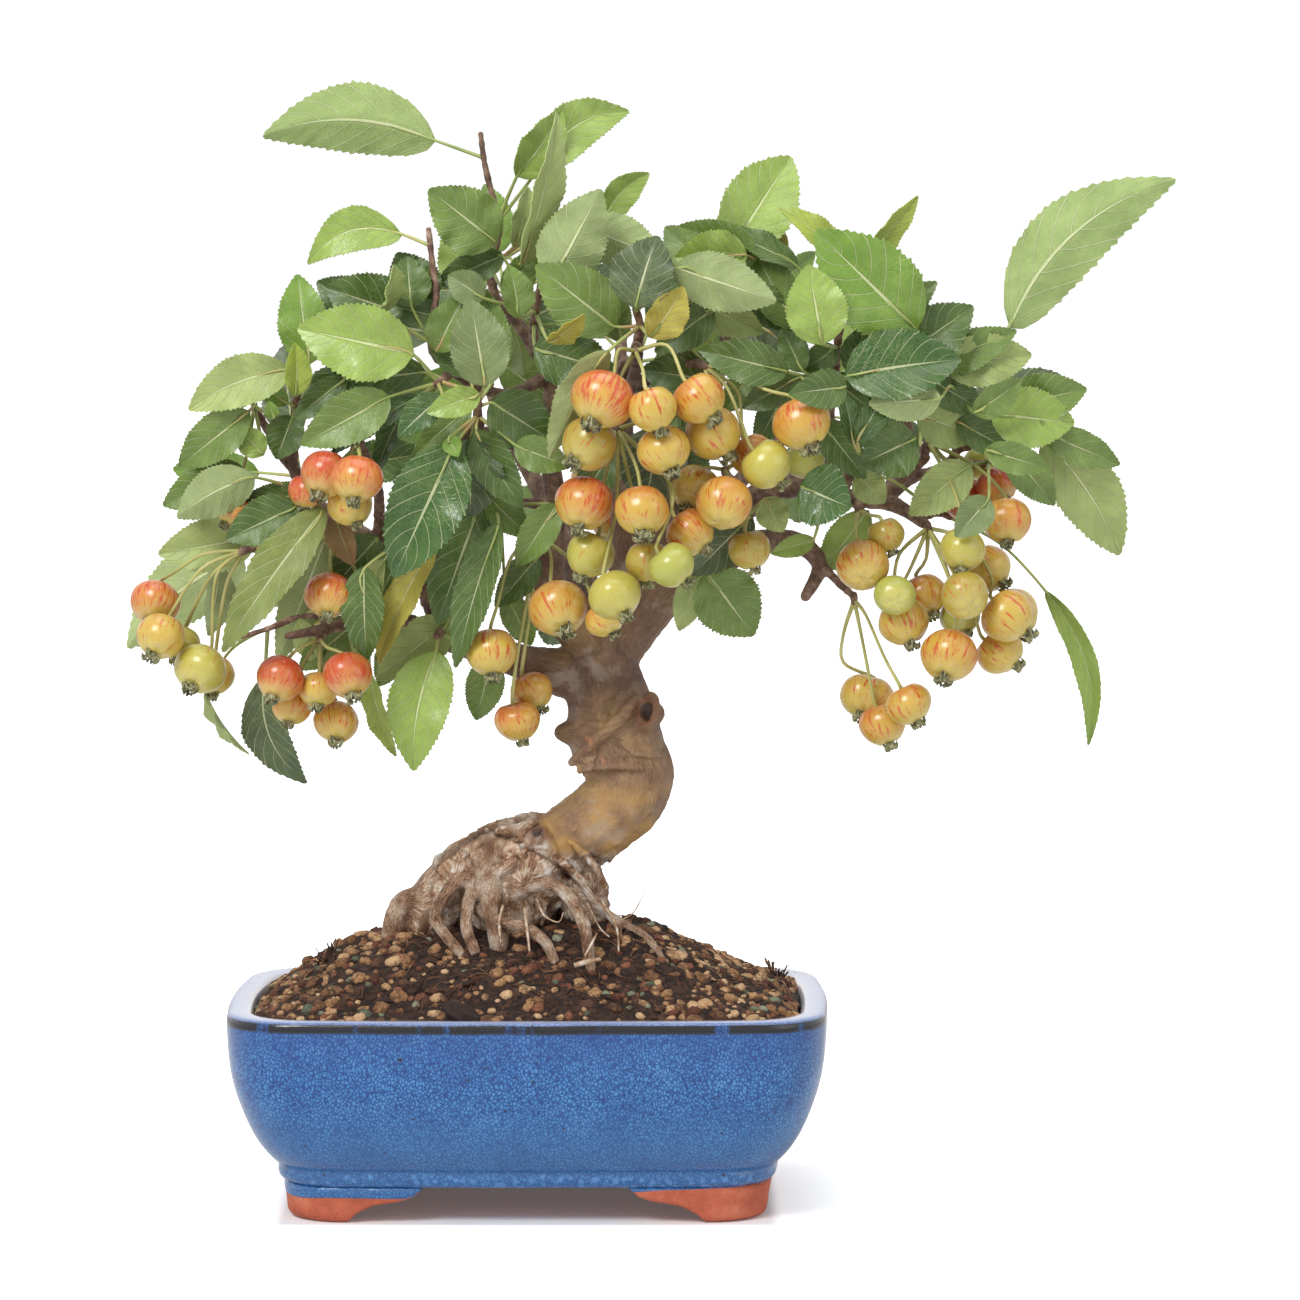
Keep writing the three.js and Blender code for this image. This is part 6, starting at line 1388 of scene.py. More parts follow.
# ---- Leafy sprays ------------------------------------------------------------------------------------
# Each spray is a shoot or the end of a spur with its leaves: thin toothed blades, folded along the rib
# and netted with veins, glossy or dull above and paler below, each on a stalk that grows from the stem.
# A spray is its stem as (x, z, y, radius), then its leaves as (base x, z, tip x, z, width, tone, set back
# from the crown's front, lean of the tip, roll, side to the front), then small leaves tucked in between.
# A blade that bends sideways ends with its solid's bend in mm, and with what is added to it here.
SPRAYS = {
    "crown_tip": ([
        (-14, 383, -15, 2.2), (-15.5, 395, -18, 1.7), (-13, 405, -20, 1.6), (-12, 414, -22, 1.5),
        (-15, 425, -20, 1.3), (-18, 438, -18, 1.2), (-19.5, 449.5, -16, 1.1),
    ], [
        (-38, 446.5, -109, 448.5, 30, "light", 0, -6, -14, -1, 4, 3),
        (-3, 395, 13, 458, 20, "pale", 0, 4, 55, 1, -3), (-5, 432, 14, 459, 20, "light", 4, 6, 30),
        (3, 433, 41, 458.5, 21, "light", 10, 10, 0, 1, 0, -7), (-13, 405, -41, 427, 27, "mid", 6, -8),
        (22, 412, 56, 398, 22, "pale", 22, 0, 0, -1),
        (30, 412, 50, 433.5, 14, "light", 30, 6, 20, 1, 0, -4),
    ], [
        (-6, 403, 0, 428, 16, "pale", 26, 4, 45), (-10, 384, 4, 403, 14, "mid", 24, 0, 20),
    ]),
    "crown_front": ([
        (3, 361, -13, 2.6), (2, 370, -34, 1.9), (3, 376, -46, 1.6), (5, 388, -56, 1.3),
    ], [
        (9.5, 389, 30, 427, 27, "olive", 0, 6, 0, -1), (-18, 382, -33, 392, 14, "grey", 12, 4),
        (-4, 374, -8, 396, 15, "mid", 8, 0, 30), (-10, 400, -38, 388, 14, "dark", 26),
    ], [
        (8, 364, 23, 376, 12, "yellow", 8, -8, 50), (2, 362, 36, 352, 24, "dark", 26),
        (38, 364, 34, 390, 12, "mid", 22),
    ]),
    "left_cut_twig": ([
        (-37, 357, -46, 2), (-40, 364, -52, 1.6), (-38, 384, -56, 1.4), (-39, 392, -57, 1.3),
        (-41, 410.5, -56, 1.1),
    ], [
        (-52, 408.5, -91, 396.5, 19, "light", 0, 0, 10, 1, 4, 3),
        (-48, 378, -50, 399.5, 18, "dark", 10, 4), (-60, 376, -56, 396, 16, "pale", 6, 4, 65),
        (-62, 375, -87, 389, 19, "dark", 16, 4),
    ], [
        (-34, 374, -60, 380, 13, "dark", 20), (-46, 374, -84, 387, 25, "dark", 18),
        (-42, 378, -54, 401, 22, "dark", 22, 0, 10), (-38, 360, -26, 384, 17, "mid", 20, 0, -10),
    ]),
    "left_middle": ([
        (-32, 352, -41, 2.1), (-35, 349, -54, 1.8), (-38, 347, -60, 1.5),
    ], [
        (-47, 359.5, -95, 370, 31, "light", 0, 4), (-57, 342, -94, 322, 21, "mid", 4, -2),
        (-45, 342, -82, 318, 13, "glossy", 14, 0, 30), (-35, 342, -54, 325, 14, "glossy", 6, -4, 20),
        (-50, 338, -63, 309, 12, "glossy", 16, 0, 40), (-20, 343, -42, 335, 12, "light", 2, -3),
    ], [
        (-42, 352, -95, 346, 21, "dark", 22),
    ]),
    "left_upper": ([
        (-96.5, 327, -28, 2.1), (-96, 338, -38, 1.6), (-94, 348, -46, 1.3),
    ], [
        (-96, 342, -96, 364, 12, "lime", 0, 0, 30), (-90, 355, -95, 392, 21, "bright", 6, 6),
        (-98, 353, -140, 336.5, 21, "pale", 2, 4, 0, 1, 3), (-75, 350, -97, 332, 12, "dark", 14),
        (-99, 339, -113, 348, 9, "bright", 18),
    ], [
        (-97, 334, -104, 316, 16, "dark", 22),
    ]),
    "left_end": ([
        (-107.5, 328, -27, 1.9), (-113, 338, -32, 1.5), (-112, 345, -35, 1.3),
    ], [
        (-115, 336, -144, 313, 19, "mid", 2, 2), (-113, 344, -127, 330, 10, "mid", 0, -4, 40),
        (-109, 318, -120, 329, 12, "light", 14),
    ], [
        (-105, 333, -107, 340, 6, "bright", 4, -2), (-117, 312, -151, 297, 20, "mid", 10),
    ]),
    "left_limb": ([
        (-90, 301, -21, 2.3), (-94, 304, -33, 1.8), (-96, 304, -39, 1.5),
    ], [
        (-113, 309, -145, 292, 20, "olive", 0, 0, 0, -1, 2), (-95, 297, -125, 283, 20, "dark", 2, -2),
        (-84, 296, -127, 236.5, 21, "olive", 10, 6, 14),
    ], [
        (-90, 302, -120, 298, 13, "dark", 22),
    ]),
    "left_spur": ([
        (-106, 281, -33, 2), (-108, 284, -26, 1.7), (-112, 286, -18, 1.4),
    ], [
        (-118, 276, -166, 238, 30, "pale", 34, 10, 0, -1, 5),
        (-128, 272, -133, 243, 17, "grey", 10, 4, 35, -1),
    ], [
        (-112, 284, -153, 277, 23, "pale", 14),
    ]),
    "low_left_inner": ([
        (-62, 251.5, -20, 2.7), (-66, 257, -34, 1.9), (-69, 262, -42, 1.6),
    ], [
        (-84, 283, -104, 232, 20, "olive", 30, 8, 0, -1), (-85, 270, -100, 251, 14, "pale", 46, 4),
        (-95, 250, -86, 231, 12, "pale", 24, 2, 20), (-80, 293, -72, 272, 13, "dry", 26, -4, 20),
        (-66, 228, -55, 193, 13, "lime", 16, 4, 40), (-52, 245, -62, 222, 14, "mid", 34, 6),
    ], [
        (-62, 284, -82, 262, 19, "dark", 34), (-70, 250, -95, 229, 17, "mid", 30),
    ]),
    "low_left_end": ([
        (-98, 250, -30, 1.5), (-108, 246, -36, 1.1), (-121, 242, -38, 0.9),
    ], [
        (-109, 227, -92, 182, 20, "slate", 0, 2, 12, 1, 7), (-134, 220, -116, 194, 15, "pale", 8, 4, 72),
    ], []),
    "low_left_mid": ([
        (-35, 243, -11, 2.8), (-37, 244, -20, 2), (-38, 243, -28, 1.6),
    ], [
        (-38, 237, -48, 187, 26, "light", 0, -6, 0, 1, 3), (-15, 235, -22, 208, 16, "mid", 30, 6),
    ], [
        (-32, 250, -63, 225, 21, "pale", 38),
    ]),
    "left_centre": ([
        (-40, 285, -39, 2.1), (-44, 288, -50, 1.7), (-47, 288, -56, 1.4),
    ], [
        (-68, 272, -67, 233, 18, "dark", 4, 6, 10), (-60, 275, -72, 233, 14, "pale", 12, 10, 35),
        (-38, 283, -63, 231, 15, "yellow", 18, 8, 30),
    ], [
        (-52, 280, -66, 249, 17, "mid", 34),
    ]),
    "centre_inner": ([
        (-7, 298, -25, 2.1), (-12, 297, -37, 1.7), (-14, 295, -44, 1.4),
    ], [
        (-12, 290, -30, 230, 17, "dark", 8, 10, 20), (12, 298, -5, 272, 15, "mid", 26, 6),
        (-10, 262, 1, 239, 13, "mid", 40, 6),
    ], [
        (-17, 301, 0, 284, 14, "mid", 34), (-20, 298, -38, 248, 26, "dark", 34),
        (4, 276, -14, 255, 14, "dark", 40),
    ]),
    "centre_spur": ([
        (-21, 327, -43, 3), (-21, 334, -53, 2), (-21, 341, -58, 1.6),
    ], [
        (-18, 346, -24, 382, 24, "grey", 0, 0, 8), (-30, 323, -56, 267, 31, "glossy", 2, 4),
        (-24, 325, -24, 292, 28, "slate", 22, 8), (-6, 322, 17, 313, 15, "mid", 22),
    ], [
        (-33, 325, -29, 317, 8, "bright", 4, -4), (-16, 340, 11, 323, 24, "dark", 30),
        (-22, 328, -3, 296, 18, "dark", 24, 0, 10), (-24, 338, -48, 317, 13, "mid", 26),
        (-24, 350, -42, 375, 15, "dark", 30), (-12, 352, -19, 387, 16, "mid", 26),
    ]),
    "over_front_bunch": ([
        (45, 364, -53, 2.2), (46, 371, -62, 1.8), (44, 378, -67, 1.4),
    ], [
        (60, 395, 102, 381, 23, "olive", 0, 0, 0, -1), (44, 378, 53, 408, 27, "slate", 0, 4, -18),
        (50, 366, 64, 387, 17, "yellow", 4, 0, 20), (36, 370, 3, 396, 27, "mid", 14, 4),
        (33, 361, 9, 316, 18, "pale", 0, 6, -38, -1), (76, 378, 52, 360, 17, "dark", 24),
    ], [
        (80, 348, 46, 353, 21, "dark", 42), (92, 352, 80, 335, 12, "mid", 40),
    ]),
    "right_rosette": ([
        (124, 338, -27, 2.5), (122, 345, -42, 1.9), (120, 349, -50, 1.6),
    ], [
        (130, 350, 178, 357, 30, "glossy", 0, 8, -18), (131, 346, 107, 343, 16, "dark", 0, -4),
        (107, 352, 70, 361, 18, "dark", 10), (134, 350, 138, 371, 15, "dark", 18, 4),
        (113, 352, 104, 370, 12, "dark", 22, 4), (112, 350, 88, 337, 14, "dark", 22),
    ], [
        (127, 362, 112, 352, 12, "dark", 30), (112, 350, 125, 342, 9, "dark", 14, 0, 20),
        (120, 332, 139, 308, 16, "dark", 34), (124, 350, 144, 334, 15, "dark", 34),
        (108, 348, 93, 320, 14, "dark", 50),
    ]),
    "right_twig": ([
        (126, 350, -34, 2.2), (127, 362, -42, 1.7), (129, 373, -48, 1.5), (132, 380, -50, 1.4),
        (135, 391, -50, 1.2),
    ], [
        (121, 363, 115, 396, 25, "light", 0, 2), (138.5, 396, 160.5, 424, 12, "lime", 0, 4, 38, 1, -2.5),
        (133, 396, 103, 420, 13, "lime", 4, 2, 30), (111, 395, 75, 411, 13, "dark", 18, 0, 35),
    ], [
        (136, 366, 168, 389, 17, "mid", 18),
    ]),
    "crown_right": ([
        (85, 383, -16, 2.2), (89, 393, -25, 1.6), (91, 401, -30, 1.3),
    ], [
        (82, 400, 107.5, 440, 30, "light", 8, 8), (106, 400, 83.5, 422.5, 13, "yellow", 0, 0, 30),
        (90, 400, 60, 399, 21, "light", 14), (62, 384, 97, 368, 19, "pale", 30),
    ], [
        (94, 398, 62, 412, 19, "mid", 16), (110, 370, 92, 403, 19, "mid", 28),
        (84, 390, 109, 369, 17, "dark", 32),
    ]),
    "right_high": ([
        (158, 350, -18, 2.1), (161, 358, -30, 1.7), (163, 362, -38, 1.4),
    ], [
        (160, 369, 118, 410, 36, "bright", 4, 8), (170, 355, 207, 359, 22, "pale", 16, 6),
    ], [
        (160, 335, 185, 325, 20, "pale", 30, 4), (150, 356, 183, 379, 25, "dark", 14),
        (164, 354, 201, 369, 17, "mid", 18), (160, 352, 189, 335, 16, "dark", 26),
    ]),
    "right_end": ([
        (176, 328, -20, 2.1), (178, 342, -30, 1.6), (183, 351, -33, 1.3),
    ], [
        (198, 370, 266, 431, 32, "light", 0, 0, 0, -1, -11),
        (170, 341, 140, 339, 17, "pale", 0, 0, 0, -1), (190, 335, 225, 331, 25, "light", 10, 4),
        (183, 335, 203, 349, 14, "mid", 4, 2, 20),
    ], [
        (196, 338, 230, 345, 21, "mid", 12),
    ]),
    "right_side": ([
        (176, 320, -16, 2.1), (185, 323, -25, 1.7), (190, 326, -31, 1.4),
    ], [
        (212, 327, 243.5, 314, 15, "mid", 0, 2), (212, 325, 243.5, 277, 27, "pale", 8, 6, 0, 1, -3),
        (190, 337, 214, 322, 15, "mid", 0, 2),
    ], [
        (176, 332, 203, 317, 14, "dark", 24), (198, 320, 217, 297, 16, "mid", 14),
    ]),
    "right_stub": ([
        (181, 314, -14.5, 1.9), (187, 314, -24, 1.5), (190, 315, -29, 1.3),
    ], [
        (188, 320, 215, 312, 13, "mid", 0, 2), (190, 300, 176, 284, 15, "grey", 0, -2),
    ], [
        (182, 314, 157, 293, 19, "pale", 30),
    ]),
    "right_hanging": ([
        (160, 291.5, -20, 2.3), (168, 294, -16, 1.7), (174, 292, -14, 1.3),
    ], [
        (213, 262, 231, 197, 11, "light", 8, 6, 20, 1, -10),
    ], [
        (135, 310, 147, 298, 14, "pale", 40),
    ]),
    "right_inner": ([
        (128, 301, -15, 2.9), (134, 312, -32, 2), (138, 317, -42, 1.6),
    ], [
        (160, 325, 137, 314, 24, "dark", 22), (135, 323, 149, 350, 12, "glossy", 6, 0, 20),
        (134, 322, 129, 345, 9, "glossy", 10, 2, 20),
    ], []),
    "under_right": ([
        (126, 301, -14.5, 2.9), (122, 300, -28, 2), (120, 300, -35, 1.6),
    ], [
        (112, 305, 133, 296, 26, "glossy", 4, -4), (140, 295, 121, 270, 17, "light", 40, 6),
    ], [
        (118, 283, 100, 277, 9, "light", 50, 2),
    ]),
    "under_middle": ([
        (82, 277, -6, 4), (84, 284, -22, 2.2), (84, 286, -30, 1.8),
    ], [
        (92, 293, 67, 268, 19, "slate", 36, 6), (73, 270, 93, 243, 28, "mid", 40, 4),
        (70, 270, 62, 245, 13, "pale", 46, 4),
    ], [
        (97, 300, 105, 286, 14, "pale", 44),
    ]),
    "behind_fruits": ([
        (40, 316, 4, 3.2), (46, 318, -18, 2.1), (50, 320, -30, 1.7),
    ], [
        (54, 330, 48, 296, 28, "slate", 44, 6), (60, 322, 72, 302, 18, "dark", 46, 2),
    ], [
        (62, 336, 84, 322, 20, "dark", 50, 4), (36, 322, 22, 300, 18, "dark", 52, 2),
    ]),
}
# What a row leaves out: no set back, lean or roll, and the upper face to the front.
ROW_REST = (0, 0, 0, 1)
# Sprays of the back of the crown, their leaves fanned round the stem's end: stem, how many leaves, length.
BACK_SPRAYS = {
    "back_crown": ([(38, 346, 35, 2.6), (45, 357, 45, 1.5)], 5, 36),
    "back_crown_left": ([(-16, 346, 56.5, 2.3), (-23, 364, 62, 1.5)], 5, 50),
    "back_right": ([(101, 323, 58, 2.4), (115, 336, 66, 1.5)], 5, 52),
    "back_left": ([(-84, 295, 30, 2.5), (-95, 310, 38, 1.5)], 4, 48),
    "back_far_right": ([(154, 317, 35, 2.3), (165, 321, 42, 1.5)], 5, 42),
    "back_middle": ([(22, 264, 24, 4.8), (32, 282, 50, 1.7)], 4, 46),
    "top_left": ([(-7, 374, -13, 2.6), (-9, 382, 2, 1.8), (-10, 386, 9, 1.5)], 4, 32),
    "top_right": ([(81.5, 366, -6, 2.7), (86, 373, 2, 1.9), (88, 377, 8, 1.5)], 4, 30),
}
BACK_TONES = ["mid", "dark", "light", "slate", "bright"]
FAN_TILT = 0.55
FAN_START = 16
# Tone of a blade: the colour of its upper side and how dull it is.
TONES = {
    "light": (150, 176, 78, 0.36), "mid": (108, 134, 56, 0.36), "dark": (74, 102, 36, 0.38),
    "glossy": (54, 92, 32, 0.26), "slate": (72, 88, 54, 0.42), "grey": (116, 132, 80, 0.5),
    "lime": (160, 178, 62, 0.4), "bright": (116, 152, 52, 0.34), "pale": (168, 184, 110, 0.5),
    "olive": (124, 136, 66, 0.5), "yellow": (184, 170, 68, 0.45), "dry": (150, 112, 72, 0.7),
}
CROWN = {"x": 45, "z": 325, "half_x": 215, "half_y": 88, "half_z": 132}
# How a leaf was moved back and leant, in this order, until it found room when the tree was grown.
SETBACKS = [0, 4, 8, 12, 16, 20, 25, 30, 36, -4, -8, -12, 42, 48, -16, -20, -25]
LEANS = [0, 9, -9, 18, -18]
LEAF_THICK = 1.3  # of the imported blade
RIB = 0.42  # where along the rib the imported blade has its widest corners
BOW = 0.06
FOLD = 0.3
BLADE_THICK = 0.38
BLADE_COLUMNS = 10
BLADE_ROWS = 44
SHORT_STALK = 34
LOST = 20  # a leaf further than this from every corner of its solid was left out there, and is here
ROOT_DROP = 0.55
PETIOLE = 0.62


def crown_front(x, z):
    """Depth of the crown's front at a place of the elevation."""
    across = (x - CROWN["x"]) / CROWN["half_x"]
    high = (z - CROWN["z"]) / CROWN["half_z"]
    return -CROWN["half_y"] * math.sqrt(max(0.02, 1 - across * across - high * high))


def blade_width(v):
    return 2.68 * v ** 0.62 * (1 - v) ** 0.9


def leaf_axes(base, tip, roll, face):
    """The way a blade runs, its side, and the way its upper face looks."""
    along = (tip - base).normalized()
    normal = front_of(along)
    normal.rotate(Matrix.Rotation(math.radians(roll), 3, along))
    return along, along.cross(normal) * face, normal * face


def stalk_root(path, base):
    """Where a leaf stalk leaves the stem: nearest to a place a little below the blade's base."""
    end = path[-1]
    wanted = base - (end - path[0]).normalized() * ROOT_DROP * (base - end).length
    best = end
    for i in range(1 if len(path) > 2 else 0, len(path) - 1):
        span = path[i + 1] - path[i]
        t = clamp((wanted - path[i]).dot(span) / span.length_squared)
        near = path[i] + span * t
        if (near - wanted).length < (best - wanted).length:
            best = near
    return best


def grown_place(solid, row, depth):
    """Base and tip of a leaf where it found room when the tree was grown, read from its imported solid."""
    base_x, base_z, tip_x, tip_z, _, _, _, lean, roll, face, *bends = row
    sideways = sum(bends[:1]) * 4 * RIB * (1 - RIB) * MM
    best = None
    for back in SETBACKS:
        for extra in LEANS:
            y = depth + back
            base = seen(base_x, base_z, y)
            tip = seen(tip_x, tip_z, y + lean + extra)
            along, side, upper = leaf_axes(base, tip, roll, face)
            length = (tip - base).length
            rib = base + along * RIB * length + side * face * sideways
            rib += upper * (BOW * length * 4 * RIB * (1 - RIB) + LEAF_THICK / 2 * MM)
            misfit = solid.find(tip)[2] + solid.find(rib)[2]
            if best is None or misfit < best[0]:
                best = (misfit, base, tip)
            if misfit < 0.1 * MM:
                return base, tip
    return best[1:] if best[0] < LOST * MM else None


def model_blade():
    """A flat toothed blade 1 long, pointing along Y, its half width 1 at the widest."""
    deselect_all()
    bpy.ops.mesh.primitive_grid_add(x_subdivisions=BLADE_COLUMNS, y_subdivisions=BLADE_ROWS, size=2)
    blade = bpy.context.object
    for vert in blade.data.vertices:
        u = vert.co.x
        row = round((vert.co.y + 1) / 2 * BLADE_ROWS)
        v = row / BLADE_ROWS
        rise = abs(u) ** 6
        tooth = (0.06 if row % 2 else -0.02) * (0.7 + 0.3 * math.sin(1.9 * row))
        if row in (0, BLADE_ROWS):
            tooth = 0.0
        forward = rise * (0.45 / BLADE_ROWS if row % 2 else 0.0)
        width = blade_width(v)
        across = u * width * (1 + rise * tooth) + math.copysign(rise * tooth * 0.3, u) * (width > 0.01)
        vert.co = Vector((across, v + forward, 0))
    return blade


def set_blade(model, base, tip, width, roll, face, sweep, own):
    """A copy of the blade in its place: bowed, folded on the rib, ruffled and quilted between veins."""
    along, side, upper = leaf_axes(base, tip, roll, face)
    length = (tip - base).length
    half = width / 2 * MM
    blade = copy_of(model, "blade", Matrix.Identity(4))
    wave = 0.07 + 0.09 * (own % 5) / 4
    phase = 2.4 * own
    cup = 0.5 * math.sin(1.7 * own)
    for vert in blade.data.vertices:
        u, v = vert.co.x, vert.co.y
        edge = abs(u)
        lift = BOW * length * 4 * v * (1 - v) + FOLD * half * (edge - 0.14 * cup * edge * edge)
        lift += wave * half * edge ** 2 * math.sin(5.5 * v * math.pi + phase + (2.0 if u > 0 else 0.0))
        vein = (v - 0.26 * edge) * 7.5 + (0.35 if u > 0 else 0.0)
        lift += 0.045 * half * min(1.0, 3 * edge) * abs(math.sin(math.pi * vein))
        curl = max(0.0, v - 0.72) ** 2 * length * 0.35 * math.sin(own * 1.3)
        across = u * half + face * sweep * MM * 4 * v * (1 - v)
        vert.co = base + along * v * length + side * across + upper * (lift - curl)
    return blade


def fan_leaves(stem, count, length, order):
    """Leaves of a back spray, as rows with the base's own depth in place of the set back."""
    x, z, y, _ = stem[-1]
    rows = []
    for i in range(count):
        angle = 2 * math.pi * (i + 0.35 * order) / count
        reach = length * (0.9 + 0.2 * math.sin(2.4 * i + order))
        out_x, out_z = math.cos(angle), math.sin(angle) * 0.8 + 0.1
        depth = FAN_TILT + 0.35 * math.sin(3 * angle)
        tone = BACK_TONES[(i + order) % len(BACK_TONES)]
        rows.append((x + out_x * FAN_START, z + out_z * FAN_START, x + out_x * (FAN_START + reach),
                     z + out_z * (FAN_START + reach), reach * 0.52, tone, y + FAN_START * depth,
                     reach * depth, 25 * math.sin(angle + order), 1))
    return rows


# Veins, for both faces of a blade: the rib, the side veins that sweep to the tip and the fine net between.
tree, leaf_uv, vein_out = group("leaf_veins", {"Veins": "Float", "Net": "Float"})
leaf_u, leaf_v = (component(tree, leaf_uv, axis) for axis in (0, 1))
across = times(tree, leaf_u, 2.0, -1.0)
edge = calc(tree, "ABSOLUTE", across)
side_shift = times(tree, calc(tree, "GREATER_THAN", across, 0.0), 0.35)
sweep = times(tree, calc(tree, "POWER", edge, 1.25), -0.26, leaf_v)
sweep = times(tree, sweep, 7.5, side_shift)
saw = calc(tree, "ABSOLUTE", calc(tree, "SUBTRACT", calc(tree, "FRACT", sweep), 0.5))
side_vein = step_up(tree, times(tree, edge, 0.02, saw), 0.455, 0.49)
rib_width = times(tree, leaf_v, -0.05, 0.075)
rib = step_up(tree, calc(tree, "SUBTRACT", rib_width, edge), 0.0, 0.025)
all_veins = calc(tree, "MAXIMUM", times(tree, side_vein, 0.75), rib)
cells = cells_at(tree, stretched(tree, leaf_uv, 13, 26, 1), 1.0, "DISTANCE_TO_EDGE")
net_room = step_up(tree, leaf_v, 0.8, 0.45)
net = times(tree, step_up(tree, cells, 0.12, 0.02), net_room)
put_out(tree, vein_out, Veins=all_veins, Net=net)
leaf_veins = tree

# The veins are sunk into the upper face and stand out from the under face, which is paler and dull.
leaf_faces = []
face_kinds = [("leaf_upper", 0.1, 0.7, -1.0), ("leaf_under", 0.2, 0.85, 1.0)]
for face_name, net_share, vein_share, sink in face_kinds:
    blade_skin, tree, shader, where = finish(
        face_name, 0.4, Subsurface_Weight=0.06, Subsurface_Radius=(0.002, 0.003, 0.0008))
    veins = use_group(tree, leaf_veins, node(tree, "UVMap").outputs[0])
    tone = own_field(tree, "tone", "Color")
    if face_name == "leaf_under":
        tone = mix(tree, 0.5, tone, rgb(170, 188, 136))
        dull = 0.6
    else:
        dull = calc(tree, "SUBTRACT", own_field(tree, "dull"), 0.1)
    blotch = step_up(tree, noise_at(tree, where, 110, 4, 0.6), 0.35, 0.7)
    shaded = mix(tree, 0.16, tone, rgb(30, 52, 20))
    colour = mix(tree, blotch, shaded, mix(tree, 0.06, tone, rgb(190, 206, 120)))
    colour = mix(tree, times(tree, veins["Net"], net_share), colour, rgb(186, 198, 130))
    vein_colour = mix(tree, 0.72, tone, rgb(236, 240, 190))
    coloured(tree, shader, mix(tree, times(tree, veins["Veins"], vein_share), colour, vein_colour))
    grain = noise_at(tree, where, 700, 2)
    tree.links.new(times(tree, grain, 0.2, dull), shader.inputs["Roughness"])
    relief = times(tree, veins["Veins"], sink, times(tree, veins["Net"], sink * 0.16))
    bumped(tree, shader, times(tree, grain, 0.12, relief), 0.45 * MM)
    leaf_faces.append(blade_skin)

petiole_stops = [(0.3, 128, 146, 72), (0.55, 176, 186, 110), (0.72, 196, 150, 110)]
petiole_skin = stalk_skin("leaf_stalk", 50, petiole_stops)

blade_model = model_blade()
every_spray = [(name, *spray, False) for name, spray in SPRAYS.items()]
every_spray += [(name, stem, fan_leaves(stem, count, length, order), [], True)
                for order, (name, (stem, count, length)) in enumerate(BACK_SPRAYS.items())]
own = 0
for name, stem, leaves, tucked, behind in every_spray:
    solid = solid_points("spray_" + name)
    path = rooting_path(stem)
    petioles = []
    blades = []
    for number, row in enumerate([*leaves, *tucked]):
        row = (*row, *ROW_REST[len(row) - 6:])
        base_x, base_z, tip_x, tip_z, width, tone, back, lean, roll, face, *bends = row
        sweep = sum(bends)
        depth = back if behind else crown_front((base_x + tip_x) / 2, (base_z + tip_z) / 2) + back
        if number >= len(leaves):
            base, tip = seen(base_x, base_z, depth), seen(tip_x, tip_z, depth + lean)
        else:
            place = grown_place(solid, row, depth)
            if place is None:
                continue
            base, tip = place
        blade = set_blade(blade_model, base, tip, width, roll, face, sweep, own)
        own += 1
        *upper_tone, dull = TONES[tone]
        paint(blade, tone=rgb(*upper_tone), dull=dull)
        blades.append(blade)
        along, side, upper = leaf_axes(base, tip, roll, face)
        length = (tip - base).length
        heel = base + along * 0.03 * length + upper * 0.007 * length
        shank = base + along * 0.3 * length + upper * (BOW * 4 * 0.3 * 0.7 * length)
        heel += side * face * sweep * MM * 4 * 0.03 * 0.97
        shank += side * face * sweep * MM * 4 * 0.3 * 0.7
        root = stalk_root(path, base)
        way = [root, heel, shank]
        if (root - base).length >= SHORT_STALK * MM:
            way.insert(1, root.lerp(base, 0.55) + Vector((0, 0, 1)) * 0.1 * (root - base).length)
        thick = [PETIOLE * 1.5 * MM, *[PETIOLE * MM] * (len(way) - 2), PETIOLE * 0.35 * MM]
        petioles.append(smooth_run(way, thick, 3))
    work_on(*blades)
    bpy.ops.object.join()
    leaves_piece = bpy.context.object
    dress(leaves_piece, *leaf_faces)
    apply_modifier(leaves_piece, "SOLIDIFY", thickness=BLADE_THICK * MM, offset=-1, material_offset=1,
                   material_offset_rim=0)
    work_on(leaves_piece)
    bpy.ops.object.shade_smooth_by_angle(angle=math.radians(60))
    stalks = tubes(name + "_stalks", petioles, 1)
    dress(stalks, petiole_skin)
    stem_piece = spur(name + "_stem", stem)
    gather(name + "_leaves", [stem_piece, leaves_piece, stalks], "spray_" + name)
bpy.data.objects.remove(blade_model)

# ---- Floor, light and camera -------------------------------------------------------------------------
# A plain white floor that glows beyond the pot like a lit table, a painted glow that only the camera sees and
# that lights nothing, and a white backdrop. One wide soft light stands above the left shoulder, a weaker one
# on the right and one overhead, in a dimmer surround.
FLOOR_GLOW = 0.9
GLOW_REACH = 0.09
BACKDROP = 1.05
SURROUND = 0.44
floor_paint, tree, shader, where = finish("floor_paint", 0.9)
floor_tone = noise_at(tree, where, 3, 2)
coloured(tree, shader, mix(tree, floor_tone, rgb(246, 246, 248), rgb(250, 250, 250)))
shader.inputs["Emission Color"].default_value = rgb(255, 255, 255)
beyond = []
for axis, middle, half in ((0, POT_MIDDLE.x, POT_HALF.x), (1, POT_MIDDLE.y, POT_HALF.y)):
    off = calc(tree, "ABSOLUTE", calc(tree, "SUBTRACT", component(tree, where, axis), middle))
    beyond.append(calc(tree, "MAXIMUM", calc(tree, "SUBTRACT", off, half - 25 * MM), 0.0))
from_pot = calc(tree, "SQRT", calc(tree, "ADD", *[times(tree, gap, gap) for gap in beyond]))
# Painted glow: only camera rays see it, and it fades out near the pot so the pot's own shadow shows there.
seen_glow = times(tree, node(tree, "LightPath").outputs["Is Camera Ray"], FLOOR_GLOW)
near_glow = step_up(tree, from_pot, -2 * MM, 6 * MM)
spread_glow = calc(tree, "ADD", near_glow, step_up(tree, from_pot, 0.0, GLOW_REACH))
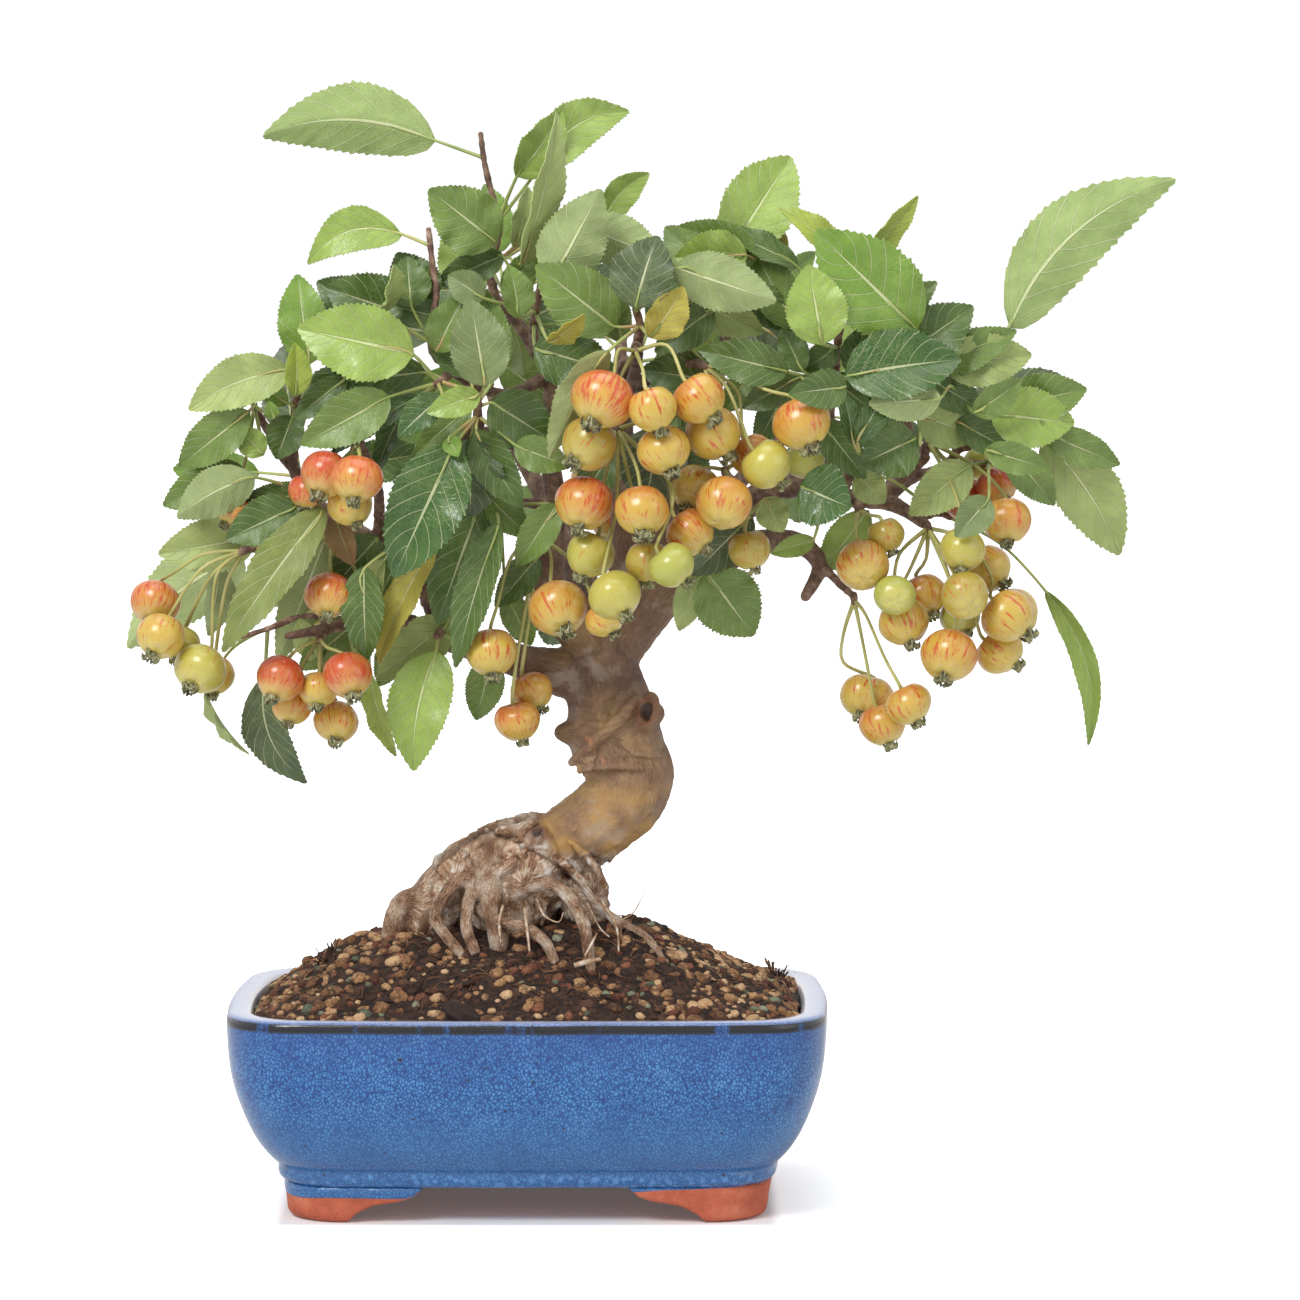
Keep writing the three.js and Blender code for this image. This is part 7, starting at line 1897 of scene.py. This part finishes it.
glow = times(tree, times(tree, spread_glow, 0.5), seen_glow)
tree.links.new(glow, shader.inputs["Emission Strength"])
deselect_all()
bpy.ops.mesh.primitive_plane_add(size=60, location=(0, 0, POT_LOW.z - 0.1 * MM))
floor = bpy.context.object
floor.name = "floor"
bpy.ops.object.transform_apply()
dress(floor, floor_paint)

world = bpy.data.worlds.new("studio")
bpy.context.scene.world = world
world.use_nodes = True
surround = world.node_tree.nodes["Background"]
surround.inputs["Color"].default_value = rgb(255, 255, 255)
rays = node(world.node_tree, "LightPath")
mirrored = calc(world.node_tree, "MAXIMUM", rays.outputs["Is Camera Ray"], rays.outputs["Is Glossy Ray"])
strength = times(world.node_tree, mirrored, BACKDROP - SURROUND, SURROUND)
world.node_tree.links.new(strength, surround.inputs["Strength"])


def soft_light(name, place, aim, width, power):
    lamp = bpy.data.lights.new(name, "AREA")
    lamp.shape = "DISK"
    lamp.size = width
    lamp.energy = power
    fixture = placed(name, lamp)
    fixture.location = place
    fixture.rotation_euler = (Vector(aim) - Vector(place)).to_track_quat("-Z", "Y").to_euler()


soft_light("key_light", (-0.9, -1.5, 1.6), (0, 0, 0.22), 0.9, 30)
soft_light("fill_light", (1.6, -1.1, 0.9), (0, 0, 0.22), 1.4, 5)
soft_light("top_light", (0.1, -0.2, 2.2), (0, 0, 0.2), 1.6, 14)

EYE_HEIGHT = 363.3 * MM
AIM_HEIGHT = 227.7 * MM
EYE_DISTANCE = 2.0
EYE_ACROSS = 50 * MM
LENS = 134.3
camera_data = bpy.data.cameras.new("camera")
camera_data.lens = LENS
camera_data.sensor_width = 36.0
camera_data.clip_end = 100.0
camera = placed("camera", camera_data)
eye = Vector((POT_MIDDLE.x + EYE_ACROSS, POT_MIDDLE.y - EYE_DISTANCE, EYE_HEIGHT))
aim = Vector((POT_MIDDLE.x + EYE_ACROSS, POT_MIDDLE.y, AIM_HEIGHT))
camera.location = eye
camera.rotation_euler = (aim - eye).to_track_quat("-Z", "Y").to_euler()
bpy.context.scene.camera = camera
bpy.context.scene.view_settings.view_transform = "Standard"
